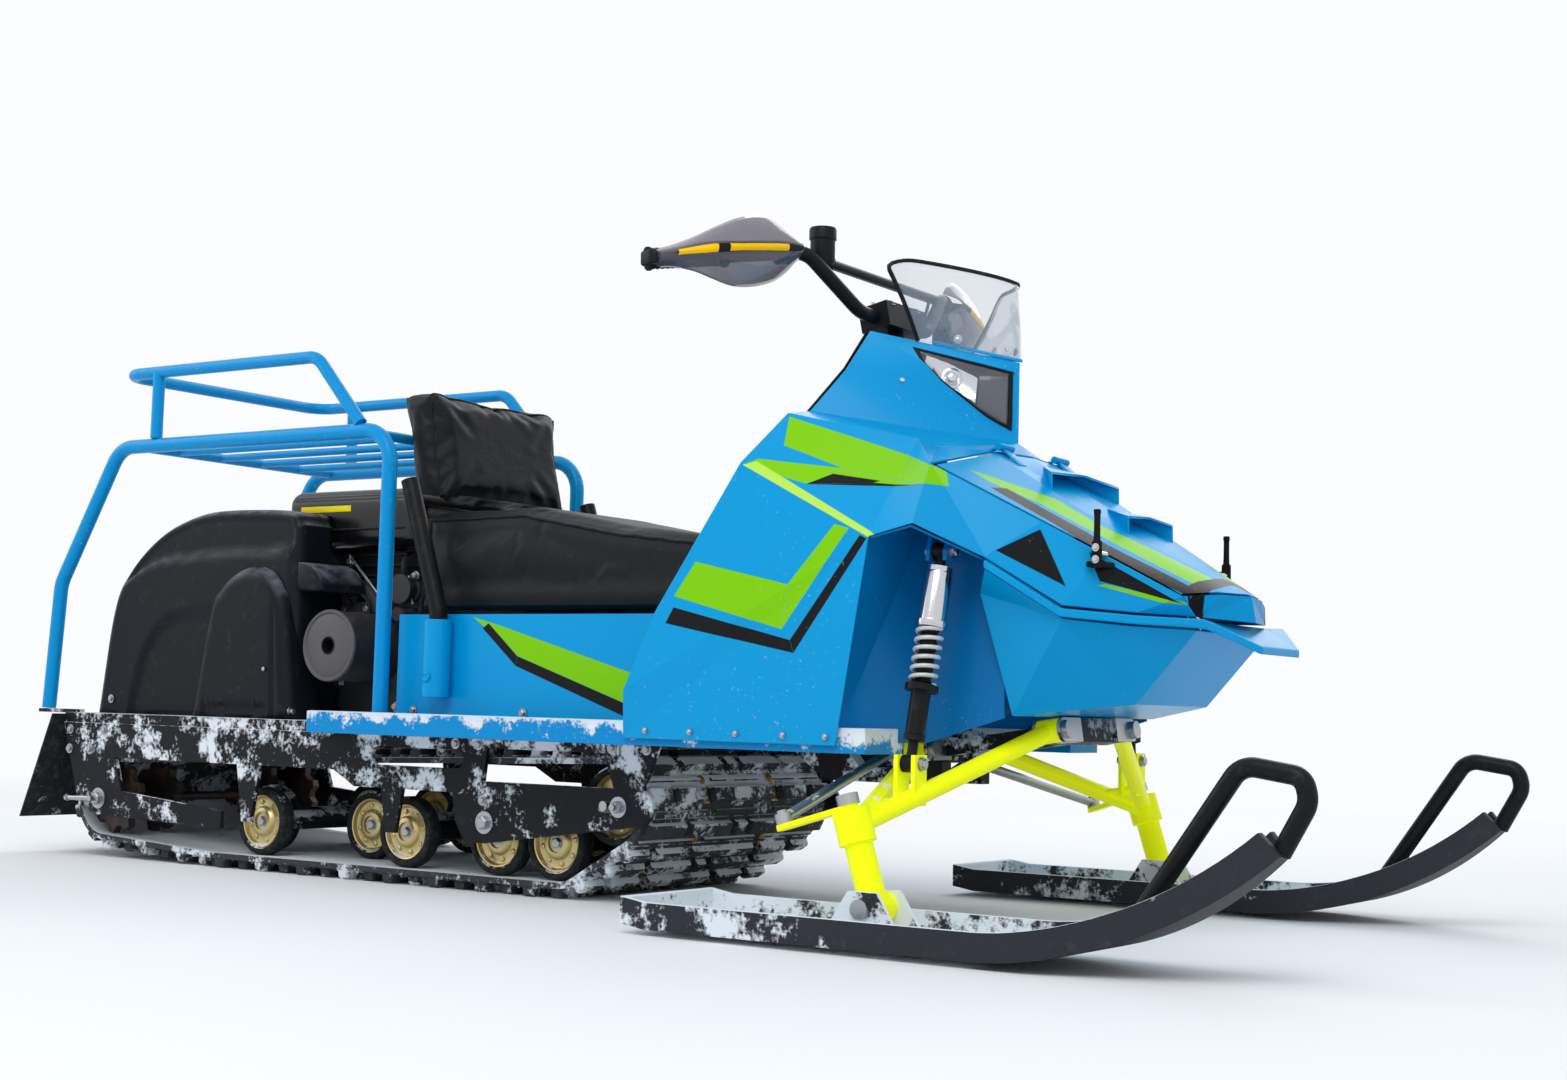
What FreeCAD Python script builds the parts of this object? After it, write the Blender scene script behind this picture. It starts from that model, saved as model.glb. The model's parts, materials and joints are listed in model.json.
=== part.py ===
"""Utility snowmobile: one wide track, two steered skis, an open rear engine and a luggage rack.

Frame: +X forward, +Y to the rider's left, +Z up, millimetres.
Origin: middle of the length, on the centre plane, on the ground.
Right-hand pieces are modelled first and mirrored in the centre plane for the left.
"""
import FreeCAD, Part
import math
import os

V = FreeCAD.Vector

# Overall places
relax_rounds = 600             # rounds in which a folded sheet's inner corners settle
rear_reach = 1285.0             # mud flap, behind the origin
overrun = 20.0                  # how far cutting tools pass through what they cut
seat_gap = 0.3                  # running gap of pins and sleeves
sheet = 3.0                     # body panels, steel sheet
weld_sink = 1.0                 # how deep a welded tube's end enters its neighbour

# Track
track_width = 500.0
belt_thickness = 10.0
lug_height = 16.0
lug_pitch = 50.0
lug_root = 34.0                 # lug's length on the belt
lug_tip = 22.0                  # lug's length at its tip
idler_x = 88.0
idler_z = 149.0
idler_outer_radius = 90.0       # to the lugs' tips
drive_setback = 195.0          # sprocket axle, ahead of the mud flap
drive_x = drive_setback - rear_reach
drive_z = 108.0
drive_outer_radius = 92.0
contact_front_x = -10.0
contact_setback = 485.0
contact_rear_x = contact_setback - rear_reach

# Deck, side frames and running gear
deck_overhang = 12.0            # deck stands out past the track on each side
deck_half_width = track_width / 2 + deck_overhang
deck_top_z = 263.0
deck_thickness = 18.0
deck_setback = 85.0
deck_rear_x = deck_setback - rear_reach
deck_front_x = 430.0
frame_plate = 8.0
frame_gap = 6.0                 # between the track's edge and the side plates
frame_rear_length = 150.0
frame_rail_depth = 62.0
rear_arm_length = 330.0
rear_arm_height = 30.0
front_arm_width = 44.0
front_arm_x = -190.0
front_bar_height = 56.0
front_arm_reach = 70.0          # round end of the front arm, ahead of the idler's axle
front_slot = 34.0               # idler's adjusting slot
window_rail_depth = 88.0
window_height = 30.0
window_margin = 38.0            # plate left beside and under the window
front_hanger_width = 112.0
front_hanger_foot = 36.0
front_hanger_x = 139.0
strut_width = 34.0
axle_diameter = 20.0
wheel_radius = 59.0
wheel_width = 28.0
wheel_hub_diameter = 44.0
wheel_tyre = 11.0
belt_rest = 0.3
wrap_rest = 1.0                 # gap between the belt and what it wraps
outer_wheel_inset = 34.0        # wheel's middle plane, in from the track's edge
inner_wheel_inset = 125.0
outer_wheel_shares = (0.13, 0.565, 0.82, 0.975)
inner_wheel_shares = (0.03, 0.35, 0.72)
sprocket_tooth = 12.0
sprocket_width = 16.0
sprocket_teeth = 9
mount_bolt = 16.0

# Mud flap and hitch
flap_thickness = 4.0
flap_overhang = 26.0
flap_half_width = deck_half_width + flap_overhang
flap_top_z = 260.0
flap_bottom_z = 66.0
flap_top_x = deck_rear_x - seat_gap
hitch_width = 46.0
hitch_length = 52.0
hitch_thickness = 8.0
hitch_bore = 16.0
hitch_z = 215.0

# Footboards
board_width = 100.0
board_outer = deck_half_width + board_width
board_thickness = 35.0
board_top_z = 281.0
board_rear_outer_x = -455.0
board_rear_inner_x = -552.0
board_front_x = 618.0
board_wall = 3.0

# Seat base, seat and backrest
base_inset = 50.0                # base's side, inside the deck's edge
base_half_width = deck_half_width - base_inset
base_rear_x = -402.0
base_front_x = 430.0
base_top_z = 446.0
seat_inset = 7.0                 # seat's side, inside the base's
seat_half_width = base_half_width - seat_inset
seat_rear_x = -385.0
seat_front_x = 262.0
seat_rear_top_z = 624.0
seat_crest_x = -160.0
seat_crest_top_z = 628.0
seat_front_top_z = 565.0
seat_edge = 30.0                # rounding of the seat's long edges
back_inset = 30.0                # backrest's end, inside the base's side
back_half_width = base_half_width - back_inset
back_thickness = 92.0
back_bottom_z = 638.0
back_top_z = 838.0
back_bottom_x = -345.0          # front face at the bottom
back_lean = 12.0                # degrees from vertical
back_edge = 26.0
back_tube = 30.0
back_socket = 46.0
back_socket_length = 128.0
back_socket_bottom_z = 308.0
back_knee_lift = 12.0            # tube bends this far above its socket
back_socket_x = -292.0
back_tube_top_z = 670.0
back_tube_lean = 19.0

# Luggage rack
hoop_tube = 26.0
hoop_inset = 15.0
hoop_half_width = deck_half_width - hoop_inset
hoop_bend = 58.0
hoop_foot_setback = 17.0
hoop_rear_foot_x = hoop_foot_setback - rear_reach
hoop_knee_setback = 35.0
hoop_rear_knee_x = hoop_knee_setback - rear_reach
hoop_rear_knee_z = 505.0
hoop_top_setback = 187.0
hoop_rear_top_x = hoop_top_setback - rear_reach
hoop_top_z = 757.0
hoop_front_x = -404.0
tab_thickness = 6.0             # tabs on the deck that carry the hoops' rear feet
hoop_foot_z = deck_top_z + tab_thickness + seat_gap + weld_sink
rack_bar_tube = 18.0
slat_tube = 14.0
slat_count = 4
slat_spread = 300.0
slat_setback = 235.0
slat_rear_x = slat_setback - rear_reach
slat_front_x = -480.0
rail_tube = 22.0
rail_z = 893.0
rail_rear_x = hoop_rear_top_x
rail_post_setback = 285.0
rail_post_x = rail_post_setback - rear_reach
rail_bend_x = -588.0
rail_foot_x = -476.0
rail_bend = 45.0

# Engine, tank, muffler and drive cover
engine_front_x = -440.0
engine_rear_x = -800.0
engine_left_y = 130.0
engine_right_y = -85.0
crankcase_top_z = 440.0
cylinder_size = 120.0
cylinder_top_z = 570.0
fin_count = 7
fin_thickness = 4.0
fin_overhang = 16.0
engine_round = 18.0
tank_front_x = -455.0
tank_rear_x = -790.0
tank_left_y = 130.0
tank_right_y = -118.0
tank_bottom_z = 572.0
tank_top_z = 676.0
tank_round = 26.0
tank_cap_diameter = 62.0
tank_cap_height = 18.0
tank_cap_x = -540.0
starter_diameter = 190.0
starter_depth = 42.0
starter_x = -640.0
starter_z = 400.0
vent_count = 10
vent_ring = 66.0                # circle of the starter's air holes
vent_diameter = 24.0
filter_rear_x = -775.0
filter_length = 92.0
filter_right_y = 20.0
filter_left_y = 124.0
filter_top_z = 560.0
exhaust_tube = 30.0
exhaust_y = -78.0
exhaust_z = 505.0
exhaust_low_z = 470.0
exhaust_step = 40.0
muffler_z = 393.0
muffler_diameter = 126.0
muffler_right_y = -205.0
muffler_length = 175.0
muffler_round = 10.0
tail_hole = 28.0
cover_outer_y = -205.0
cover_inner_y = -90.0
cover_setback = 93.0
cover_rear_x = cover_setback - rear_reach
cover_lap = 138.0                # cover's front end, ahead of the engine's rear
cover_front_x = engine_rear_x + cover_lap
cover_length = cover_front_x - cover_rear_x
cover_height = 375.0
cover_edge = 26.0               # rounding of the cover's outer edge
muffler_stand = 87.0             # muffler's middle, ahead of the cover's front end
muffler_x = cover_front_x + muffler_stand
bulge_outer_y = -227.0
bulge_inner_y = -100.0
bulge_lead = 19.0                # bulge's front end, ahead of the cover's
bulge_length = 262.0
bulge_rear_x = cover_front_x + bulge_lead - bulge_length
bulge_height = 270.0
cover_outline_shares = ((0.0, 0.0), (0.06, 0.52), (0.14, 0.72), (0.28, 0.88), (0.43, 0.965), (0.60, 1.0),
                        (0.93, 0.985), (1.0, 0.80), (1.0, 0.0))
bulge_outline_shares = ((0.0, 0.0), (0.14, 0.70), (0.24, 0.86), (0.38, 0.96), (0.54, 1.0), (0.70, 0.97),
                        (0.82, 0.86), (0.88, 0.70), (1.0, 0.0))

# Hood, nose and cowl: one frame of corners, as shares of this length, half width and height
body_rear_x = 208.0
body_base_z = 256.0
body_length = 815.0
body_half_width = 380.0
body_height = 630.0
body_corner_shares = {
    "foot_rear": (0.000, 0.974, 0.000),
    "foot_front": (0.450, 0.974, 0.000),
    "heel": (0.006, 1.000, 0.110),
    "knee": (0.074, 1.000, 0.295),
    "shoulder": (0.249, 1.000, 0.627),
    "brow": (0.288, 0.816, 0.751),
    "seam_rear": (0.263, 0.579, 0.775),
    "seam_front": (0.520, 0.526, 0.679),
    "crest": (0.497, 0.605, 0.694),
    "yoke_side": (0.573, 0.792, 0.622),
    "yoke_mid": (0.573, 0.330, 0.680),
    "yoke_centre": (0.573, 0.000, 0.690),
    "ridge_mid": (0.751, 0.637, 0.494),
    "ridge_strap": (0.847, 0.528, 0.422),
    "ridge_front": (0.953, 0.395, 0.340),
    "crown_mid": (0.751, 0.000, 0.543),
    "crown_strap": (0.847, 0.000, 0.468),
    "crown_front": (1.000, 0.000, 0.352),
    "fold_mid": (0.751, 0.290, 0.533),
    "fold_strap": (0.847, 0.250, 0.459),
    "fold_front": (0.982, 0.200, 0.350),
    "arch_rear": (0.514, 1.000, 0.454),
    "arch_top": (0.598, 1.000, 0.478),
    "arch_front": (0.680, 0.789, 0.414),
    "lip_side": (0.790, 0.645, 0.313),
    "lip_mid": (0.880, 0.487, 0.302),
    "lip_front": (0.966, 0.329, 0.297),
    "lip_centre": (1.009, 0.000, 0.294),
    "cowl_top_rear": (0.310, 0.316, 0.987),
    "cowl_tail": (0.230, 0.000, 0.988),
    "cowl_prow_top": (0.547, 0.000, 0.916),
    "cowl_mid_rear": (0.293, 0.421, 0.889),
    "cowl_prow_low": (0.547, 0.000, 0.722),
    "cowl_foot_prow": (0.566, 0.000, 0.692),
}
body_inside_share = (0.500, 0.000, 0.350)

# Panels behind the wheel arches, and the bulkhead that closes the nose box
arch_wall_half_width = 236.0
arch_wall_rear_x = 640.0
arch_wall_front_x = 762.0
arch_wall_bottom_z = 262.0
arch_wall_top_rear_z = 590.0
arch_wall_top_front_z = 540.0
pan_z = 306.0
bulkhead_x = 652.0
bulkhead_top_z = 640.0
arch_wall_front_low_z = 300.0
panel_lap = 5.0                 # inner panels stand this far inside the outer skin
console_foot_x = 300.0
console_lap = 7.0
console_lift = 1.2              # console's foot, above the seat's base

# Chin and lip
lip_thickness = 12.0
lip_overhang = 10.0
lip_front_stand = 71.7          # lip's front edge, ahead of the hood's front corner
lip_front_half = 70.0
lip_front_z = 406.0
lip_drop = 3.6                  # the lip's top lies this far under the hood's outer edge
lip_seat = 8.0                  # how far the lip's plate reaches in under the hood's edge
chin_gap = 2.6                  # seam between the lip's plate and the chin
chin_rear_top_x = 735.0
chin_rear_top_z = 470.0
chin_rear_top_half = 262.0
chin_rear_bottom_x = 772.0
chin_rear_bottom_half = 232.0
chin_rear_bottom_z = 303.0
chin_front_bottom_x = 906.0
chin_front_bottom_half = 125.0
chin_front_bottom_z = 323.0

# Nose lid, its hinge and its scoops
lid_gap = 7.0
lid_sheet = 3.0
hinge_pin = 5.0
hinge_barrel = 11.0
hinge_sheet = 3.0
hinge_leaf = 30.0
hinge_half = 12.0
hinge_ear = 9.0
hinge_ear_leaf = 20.0
hinge_spacing = 90.0
scoop_height = 25.0
scoop_wall = 3.0
scoop_front_share = 0.6834       # of the body's length
scoop_second_front_share = 0.811
scoop_length = 63.0
scoop_half_width = 113.0
scoop_second_half_width = 78.0
scoop_point_half = 12.0
strap_width = 14.0
strap_thickness = 7.0
strap_height = 78.0
strap_share = 0.8405             # of the body's length
strap_stand_off = 22.0
strap_drop = 17.0                # strap's foot, below the ridge beside it
strap_foot = 9.0

# Headlights and windshield
lamp_depth = 26.0
lamp_clearance = 0.5
lamp_flange = 4.0
lamp_edge_shares = ((0.30, 0.86), (0.95, 0.86), (0.955, 0.12), (0.80, 0.17), (0.52, 0.42), (0.36, 0.68))
screen_sheet = 3.0
screen_columns = 12
screen_half_width = 172.0
screen_top_z = 956.0
screen_corner_z = 976.0
screen_top_x = 642.0
screen_corner_x = 520.0
screen_foot_lift = 1.0
screen_foot_share = 0.68
screen_bow_power = 1.43

# Front frame
beam_half_width = 92.0
beam_width = 34.0
beam_height = 34.0
front_beam_x = 772.0
front_beam_z = 283.0
rear_beam_x = 558.0
rear_beam_z = 249.0
rail_width = 26.0
rail_height = 22.0
rail_inner_y = 47.0
rail_top_z = 220.0
lug_nut = 8.0
lug_nut_diameter = 26.0

# Front arms and shocks
arm_tube = 26.0
arm_pivot_half = 112.0
arm_eye_diameter = 34.0
arm_gusset = 120.0              # gusset between the two tubes, back from the knuckle
knuckle_x = 661.0
knuckle_y = 453.0
knuckle_z = 154.0
knuckle_diameter = 50.0
knuckle_height = 44.0
gusset = 5.0
shock_low = (684.0, 352.0, 236.0)
shock_top = (694.0, 296.0, 526.0)
shock_eye = 20.0                # width of the eyes
shock_eye_diameter = 24.0
shock_ear_drop = 56.0
shock_clevis = 30.0
shock_neck = 24.0
shock_nut = 6.0
shock_nut_diameter = 17.0
shock_eye_bore = 10.0
shock_body_diameter = 38.0
shock_body_length = 82.0
shock_sleeve_diameter = 27.0
shock_sleeve_length = 75.0
shock_rod_diameter = 14.0
shock_seat_diameter = 46.0
shock_seat_thickness = 6.0
shock_ear = 6.0
spring_wire = 6.0
spring_diameter = 40.0
spring_turns = 6

# Kingpins, steering arms and skis
caster = 18.0                   # degrees, kingpin leans back at its top
kingpin_leg = 38.0
kingpin_stub = 24.0
kingpin_nut = 30.0
kingpin_boss = 40.0
kingpin_foot_z = 52.0
steering_arm_length = 94.0
steering_arm_width = 24.0
steering_arm_thickness = 7.0
ski_centre_y = 453.0
ski_half_width = 105.0
ski_rear_x = 360.0
ski_bend_x = 880.0
ski_bend_radius = 539.0
ski_tip_x = 1246.0
ski_tip_half_width = 13.0
ski_taper_x = 960.0
ski_wall_height = 36.0
ski_wall = 9.0
ski_floor = 8.0
ski_keel_height = 8.0
ski_keel_width = 26.0
ski_keel_rear_x = 430.0
ski_rear_rise = 6.0
ski_rear_slope = 40.0
saddle_length = 120.0
saddle_width = 64.0
saddle_wall = 6.0
saddle_height = 44.0
loop_tube = 24.0
loop_foot_x = 1061.0
loop_foot_z = 74.0
loop_back_x = 1191.0
loop_back_z = 254.0
loop_front_x = 1266.0
loop_front_z = 243.0
loop_nose_x = 1273.0
loop_nose_z = 214.0
loop_tip_x = 1240.0
loop_tip_z = 154.0
loop_bend = 30.0

# Steering
column_rake = 12.5              # degrees, column leans back at its top
column_top_x = 436.0
column_top_z = 885.0
column_foot_z = 244.0
column_seat_top_z = 276.0
column_diameter = 24.0
column_bore = 40.0
pitman_z = 291.0
pitman_thickness = 8.0
pitman_offset = 16.0            # rod ends stand this far either side of the centre plane
rod_tube = 15.0
rod_end_diameter = 22.0
rod_end_height = 14.0
rod_bolt = 8.0
rod_head = 14.0
rod_clearance = 2.0
bar_tube = 22.0
bar_low_half = 100.0
bar_low_z = 912.0
bar_low_x = 430.0
bar_bend_half = 206.0
bar_bend_x = 398.0
bar_bend_z = 988.0
bar_end_half = 425.0
bar_end_x = 272.0
bar_end_z = 948.0
bar_bend = 48.0
brace_tube = 16.0
brace_x = 396.5
brace_z = 983.2
brace_half = 206.8
grip_diameter = 32.0
grip_length = 125.0
grip_cap = 4.0
clamp_block = (52.0, 118.0, 40.0)
pod_diameter = 40.0
pod_height = 42.0
pod_half = 158.0
guard_sheet = 3.0
guard_length = 232.0
guard_start = 22.0              # along the bar from its upper bend
guard_curl = 330.0
guard_root_share = 0.45
guard_height = 106.0
guard_stand = 78.0
guard_wrap = 34.0
guard_columns = 10
guard_rows = 6
spine_thickness = 5.0

round_shares = ((0.0, 1.0), (0.293, 0.293), (1.0, 0.0))   # depth and inset, over a rounded edge's radius

parts = {}


def mirrored(shape):
    """The left-hand twin of a right-hand shape."""
    return shape.mirror(V(0, 0, 0), V(0, 1, 0))


def lerp(a, b, t):
    return a + (b - a) * t


def box(low, high):
    size = high - low
    return Part.makeBox(size.x, size.y, size.z, low)


def rod(start, end, diameter):
    """Solid cylinder from one point to another."""
    axis = end - start
    return Part.makeCylinder(diameter / 2, axis.Length, start, axis)


def extend(start, end, extra):
    """The point that lies past end by a given length."""
    return end + (end - start).normalize() * extra


def outline_xz(points, y_low, y_high):
    """Plate whose outline is drawn in the XZ plane, between two values of Y."""
    wire = Part.makePolygon([V(x, y_low, z) for x, z in points + points[:1]])
    return Part.Face(wire).extrude(V(0, y_high - y_low, 0))


def outline_xy(points, z_low, z_high):
    wire = Part.makePolygon([V(x, y, z_low) for x, y in points + points[:1]])
    return Part.Face(wire).extrude(V(0, 0, z_high - z_low))


def drawn_in(points, inset):
    """Closed outline whose every edge is moved inwards by the same length."""
    turns = zip(points, points[1:] + points[:1])
    side = 1 if sum(a[0] * b[1] - b[0] * a[1] for a, b in turns) > 0 else -1
    lines = []
    for (ax, az), (bx, bz) in zip(points, points[1:] + points[:1]):
        length = math.hypot(bx - ax, bz - az)
        nx = -(bz - az) / length * side
        nz = (bx - ax) / length * side
        lines.append((nx, nz, nx * ax + nz * az + inset))
    moved = []
    for (a, b, c), (d, e, f) in zip(lines[-1:] + lines[:-1], lines):
        cross = a * e - b * d
        moved.append(((c * e - b * f) / cross, (a * f - c * d) / cross))
    return moved


def soft_prism(points, y_low, y_high, low_edge, high_edge):
    """Prism between two values of Y; each end is drawn in over two steps, as a rounded edge."""
    rings = [(y_low + depth * low_edge, inset * low_edge) for depth, inset in round_shares]
    rings += [(y_high - depth * high_edge, inset * high_edge) for depth, inset in reversed(round_shares)]
    rings = [[V(x, y, z) for x, z in drawn_in(points, inset)] for y, inset in rings]
    outlines = [rings[0][::-1], rings[-1]]
    for near, far in zip(rings, rings[1:]):
        turns = zip(near, near[1:] + near[:1], far[1:] + far[:1], far)
        outlines += [list(corners) for corners in turns]
    solid = Part.Solid(Part.Shell([Part.Face(Part.makePolygon(ring + ring[:1])) for ring in outlines]))
    if solid.Volume < 0:
        solid.reverse()
    return solid


def bent_path(points, radius):
    """Straight runs joined by tangent arcs; one radius, limited by the runs."""
    edges = []
    start = points[0]
    for before, corner, after in zip(points, points[1:], points[2:]):
        arrive = (corner - before).normalize()
        leave = (after - corner).normalize()
        half_turn = arrive.getAngle(leave) / 2
        room = 0.45 * min((corner - before).Length, (after - corner).Length)
        back_off = min(radius * math.tan(half_turn), room)
        first = corner - arrive * back_off
        last = corner + leave * back_off
        bisector = (leave - arrive).normalize()
        arc_radius = back_off / math.tan(half_turn)
        middle = corner + bisector * (arc_radius / math.cos(half_turn) - arc_radius)
        edges.append(Part.LineSegment(start, first).toShape())
        edges.append(Part.Arc(first, middle, last).toShape())
        start = last
    edges.append(Part.LineSegment(start, points[-1]).toShape())
    return Part.Wire(edges)


def bent_tube(points, diameter, radius):
    """Round bar along a bent path."""
    path = bent_path(points, radius)
    along = points[1] - points[0]
    section = Part.Wire(Part.Circle(points[0], along, diameter / 2).toShape())
    return path.makePipeShell([section], True, True)


def closed_solid(triangles):
    """Solid bounded by triangles, turned so that its volume is positive."""
    faces = [Part.Face(Part.makePolygon([a, b, c, a])) for a, b, c in triangles]
    shell = Part.Shell(faces)
    solid = Part.Solid(shell)
    if solid.Volume < 0:
        solid.reverse()
    return solid


def facet_normals(points, facets, inside):
    """Unit normal of each facet, away from the inside point, and the facet turned to match."""
    turned = []
    for facet in facets:
        a, b, c = [points[name] for name in facet]
        normal = (b - a).cross(c - a).normalize()
        if normal.dot(a - inside) < 0:
            facet = (facet[0], facet[2], facet[1])
            normal = normal * -1
        turned.append((facet, normal))
    return turned


def inner_points(points, facets, thickness):
    """Each corner moved inwards, evenly, until it lies a sheet's thickness behind the facets round it."""
    moved = {}
    for name, point in points.items():
        around = [(normal, normal.dot(point) - thickness) for facet, normal in facets if name in facet]
        inner = V(point)
        for _ in range(relax_rounds if around else 0):
            pull = V(0, 0, 0)
            for normal, level in around:
                pull = pull - normal * (normal.dot(inner) - level)
            inner = inner + pull * (1 / len(around))
        moved[name] = inner
    return moved


def folded_sheet(points, inner, facets):
    """Sheet-metal piece: outer facets, the same moved inwards, and cut edges that neighbours split alike."""
    triangles = []
    sides = {}
    for (a, b, c), _ in facets:
        triangles.append((points[a], points[b], points[c]))
        triangles.append((inner[c], inner[b], inner[a]))
        for start, end in ((a, b), (b, c), (c, a)):
            sides[(start, end)] = True
    for start, end in sides:
        if (end, start) in sides:
            continue
        if start < end:
            triangles.append((points[end], points[start], inner[start]))
            triangles.append((inner[start], inner[end], points[end]))
        else:
            triangles.append((points[end], points[start], inner[end]))
            triangles.append((points[start], inner[start], inner[end]))
    return closed_solid(triangles)


def grid_sheet(place, columns, rows, thickness, inside):
    """Curved sheet through a grid of points; place(u, v) gives a point for shares 0 to 1."""
    points = {(i, j): place(i / columns, j / rows) for i in range(columns + 1) for j in range(rows + 1)}
    facets = []
    for i in range(columns):
        for j in range(rows):
            facets.append(((i, j), (i + 1, j), (i + 1, j + 1)))
            facets.append(((i, j), (i + 1, j + 1), (i, j + 1)))
    facets = facet_normals(points, facets, inside)
    return folded_sheet(points, inner_points(points, facets, thickness), facets)


def body_point(name, side=1):
    """Corner of the hood's frame, on the left for side 1 and on the right for side -1."""
    along, across, up = body_corner_shares[name]
    return V(body_rear_x + along * body_length, side * across * body_half_width,
             body_base_z + up * body_height)


def fan(*names):
    """Triangles that share their first corner."""
    return [(names[0], names[i], names[i + 1]) for i in range(1, len(names) - 1)]


hood_side_facets = (
    fan("arch_rear", "foot_front", "foot_rear", "heel", "knee", "shoulder")
    + fan("crest", "brow", "shoulder", "arch_rear", "arch_top")
    + fan("crest", "seam_front", "seam_rear", "brow")
    + fan("crest", "arch_top", "yoke_side", "seam_front")
    + fan("arch_front", "lip_side", "ridge_mid", "yoke_side", "arch_top")
    + fan("ridge_strap", "ridge_mid", "lip_side", "lip_mid")
    + fan("ridge_front", "ridge_strap", "lip_mid", "lip_front")
)
yoke_facets = (
    fan("seam_front", "yoke_side", "yoke_mid", "cowl_foot_prow")
    + fan("cowl_foot_prow", "yoke_mid", "yoke_centre")
)
nose_front_facets = fan("lip_front", "ridge_front", "fold_front", "crown_front", "lip_centre")
cowl_facets = (
    fan("cowl_prow_top", "cowl_top_rear", "cowl_mid_rear", "cowl_prow_low")
    + fan("cowl_prow_low", "cowl_mid_rear", "seam_rear", "seam_front", "cowl_foot_prow")
    + fan("cowl_prow_top", "cowl_tail", "cowl_top_rear")
)
lid_facets = (
    fan("yoke_side", "ridge_mid", "fold_mid", "yoke_mid")
    + fan("ridge_mid", "ridge_strap", "fold_strap", "fold_mid")
    + fan("ridge_strap", "ridge_front", "fold_front", "fold_strap")
    + fan("yoke_mid", "fold_mid", "crown_mid", "yoke_centre")
    + fan("fold_mid", "fold_strap", "crown_strap", "crown_mid")
    + fan("fold_strap", "fold_front", "crown_front", "crown_strap")
)


def both_sides(facets):
    """The facets of one side and of the other; corners on the centre plane are shared."""
    def twin(name):
        return name if body_corner_shares[name][1] == 0 else name + "_right"
    return facets + [tuple(twin(name) for name in facet) for facet in facets]


def body_points():
    points = {}
    for name in body_corner_shares:
        points[name] = body_point(name)
        if body_corner_shares[name][1] != 0:
            points[name + "_right"] = body_point(name, -1)
    return points


def body_inside():
    along, across, up = body_inside_share
    return V(body_rear_x + along * body_length, across * body_half_width, body_base_z + up * body_height)


def lamp_patch(u, v, side):
    """Point on the cowl's lamp band; u runs from the rear to the prow, v from low to high."""
    low = lerp(body_point("cowl_mid_rear", side), body_point("cowl_prow_low"), u)
    high = lerp(body_point("cowl_top_rear", side), body_point("cowl_prow_top"), u)
    return lerp(low, high, v)


def lamp_prism(side, front, back, grow):
    """Solid with the lamp's outline made larger by a length, between two depths behind the band."""
    centre = lamp_patch(0.5, 0.5, side)
    normal = (lamp_patch(1, 0.5, side) - lamp_patch(0, 0.5, side)).cross(
        lamp_patch(0.5, 1, side) - lamp_patch(0.5, 0, side)).normalize()
    if normal.x < 0:
        normal = normal * -1
    edge = [lamp_patch(u, v, side) for u, v in lamp_edge_shares]
    edge = [point - normal * normal.dot(point - centre) for point in edge]
    middle = V(0, 0, 0)
    for point in edge:
        middle = middle + point * (1 / len(edge))
    corners = [extend(middle, point, grow) - normal * front for point in edge]
    face = Part.Face(Part.makePolygon(corners + corners[:1]))
    return face.extrude(normal * (front - back))


def column_axis():
    return V(-math.sin(math.radians(column_rake)), 0, math.cos(math.radians(column_rake)))


def column_point(z):
    """Where the steering column's axis is at a height."""
    return V(column_top_x + (column_top_z - z) * math.tan(math.radians(column_rake)), 0, z)


def kingpin_axis():
    return V(-math.sin(math.radians(caster)), 0, math.cos(math.radians(caster)))


def kingpin_point(along):
    """Point on the right-hand kingpin's axis, measured along it from the knuckle's middle."""
    return V(knuckle_x, -knuckle_y, knuckle_z) + kingpin_axis() * along


def hood():
    """Hood sides, yoke, nose front and cowl share corners, so their sheets meet edge to edge."""
    points = body_points()
    cowl = both_sides(cowl_facets)
    skin = both_sides(hood_side_facets + yoke_facets + nose_front_facets) + cowl
    inner = inner_points(points, facet_normals(points, skin, body_inside()), sheet)

    def panel(facets):
        return folded_sheet(points, inner, facet_normals(points, facets, body_inside()))

    parts["hood_side_left"] = panel(hood_side_facets)
    parts["hood_side_right"] = panel(both_sides(hood_side_facets)[len(hood_side_facets):])
    nose = panel(both_sides(nose_front_facets))
    yoke = panel(both_sides(yoke_facets))
    parts["hood_frame"] = Part.makeCompound([yoke, nose])
    shell = panel(cowl)
    for side in (1, -1):
        shell = shell.cut(lamp_prism(side, -overrun, lamp_depth, 0))
    bore = rod(column_point(body_base_z), column_point(column_top_z + overrun), column_bore)
    parts["lamp_cowl"] = shell.cut(bore)
    lamp = lamp_prism(1, 0, lamp_depth, -lamp_clearance).fuse(lamp_prism(1, sheet, lamp_depth, lamp_flange))
    half_space = box(V(body_rear_x, lamp_clearance, body_base_z),
                     V(body_rear_x + body_length, body_half_width, column_top_z + overrun))
    lamp = lamp.common(half_space).cut(parts["lamp_cowl"])
    lamp = max(lamp.Solids, key=lambda solid: solid.Volume)
    parts["headlights"] = Part.makeCompound([mirrored(lamp), lamp])


def toward(start, end, length):
    """The point a length away from start, on the way to end."""
    return start + (end - start).normalize() * length


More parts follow.
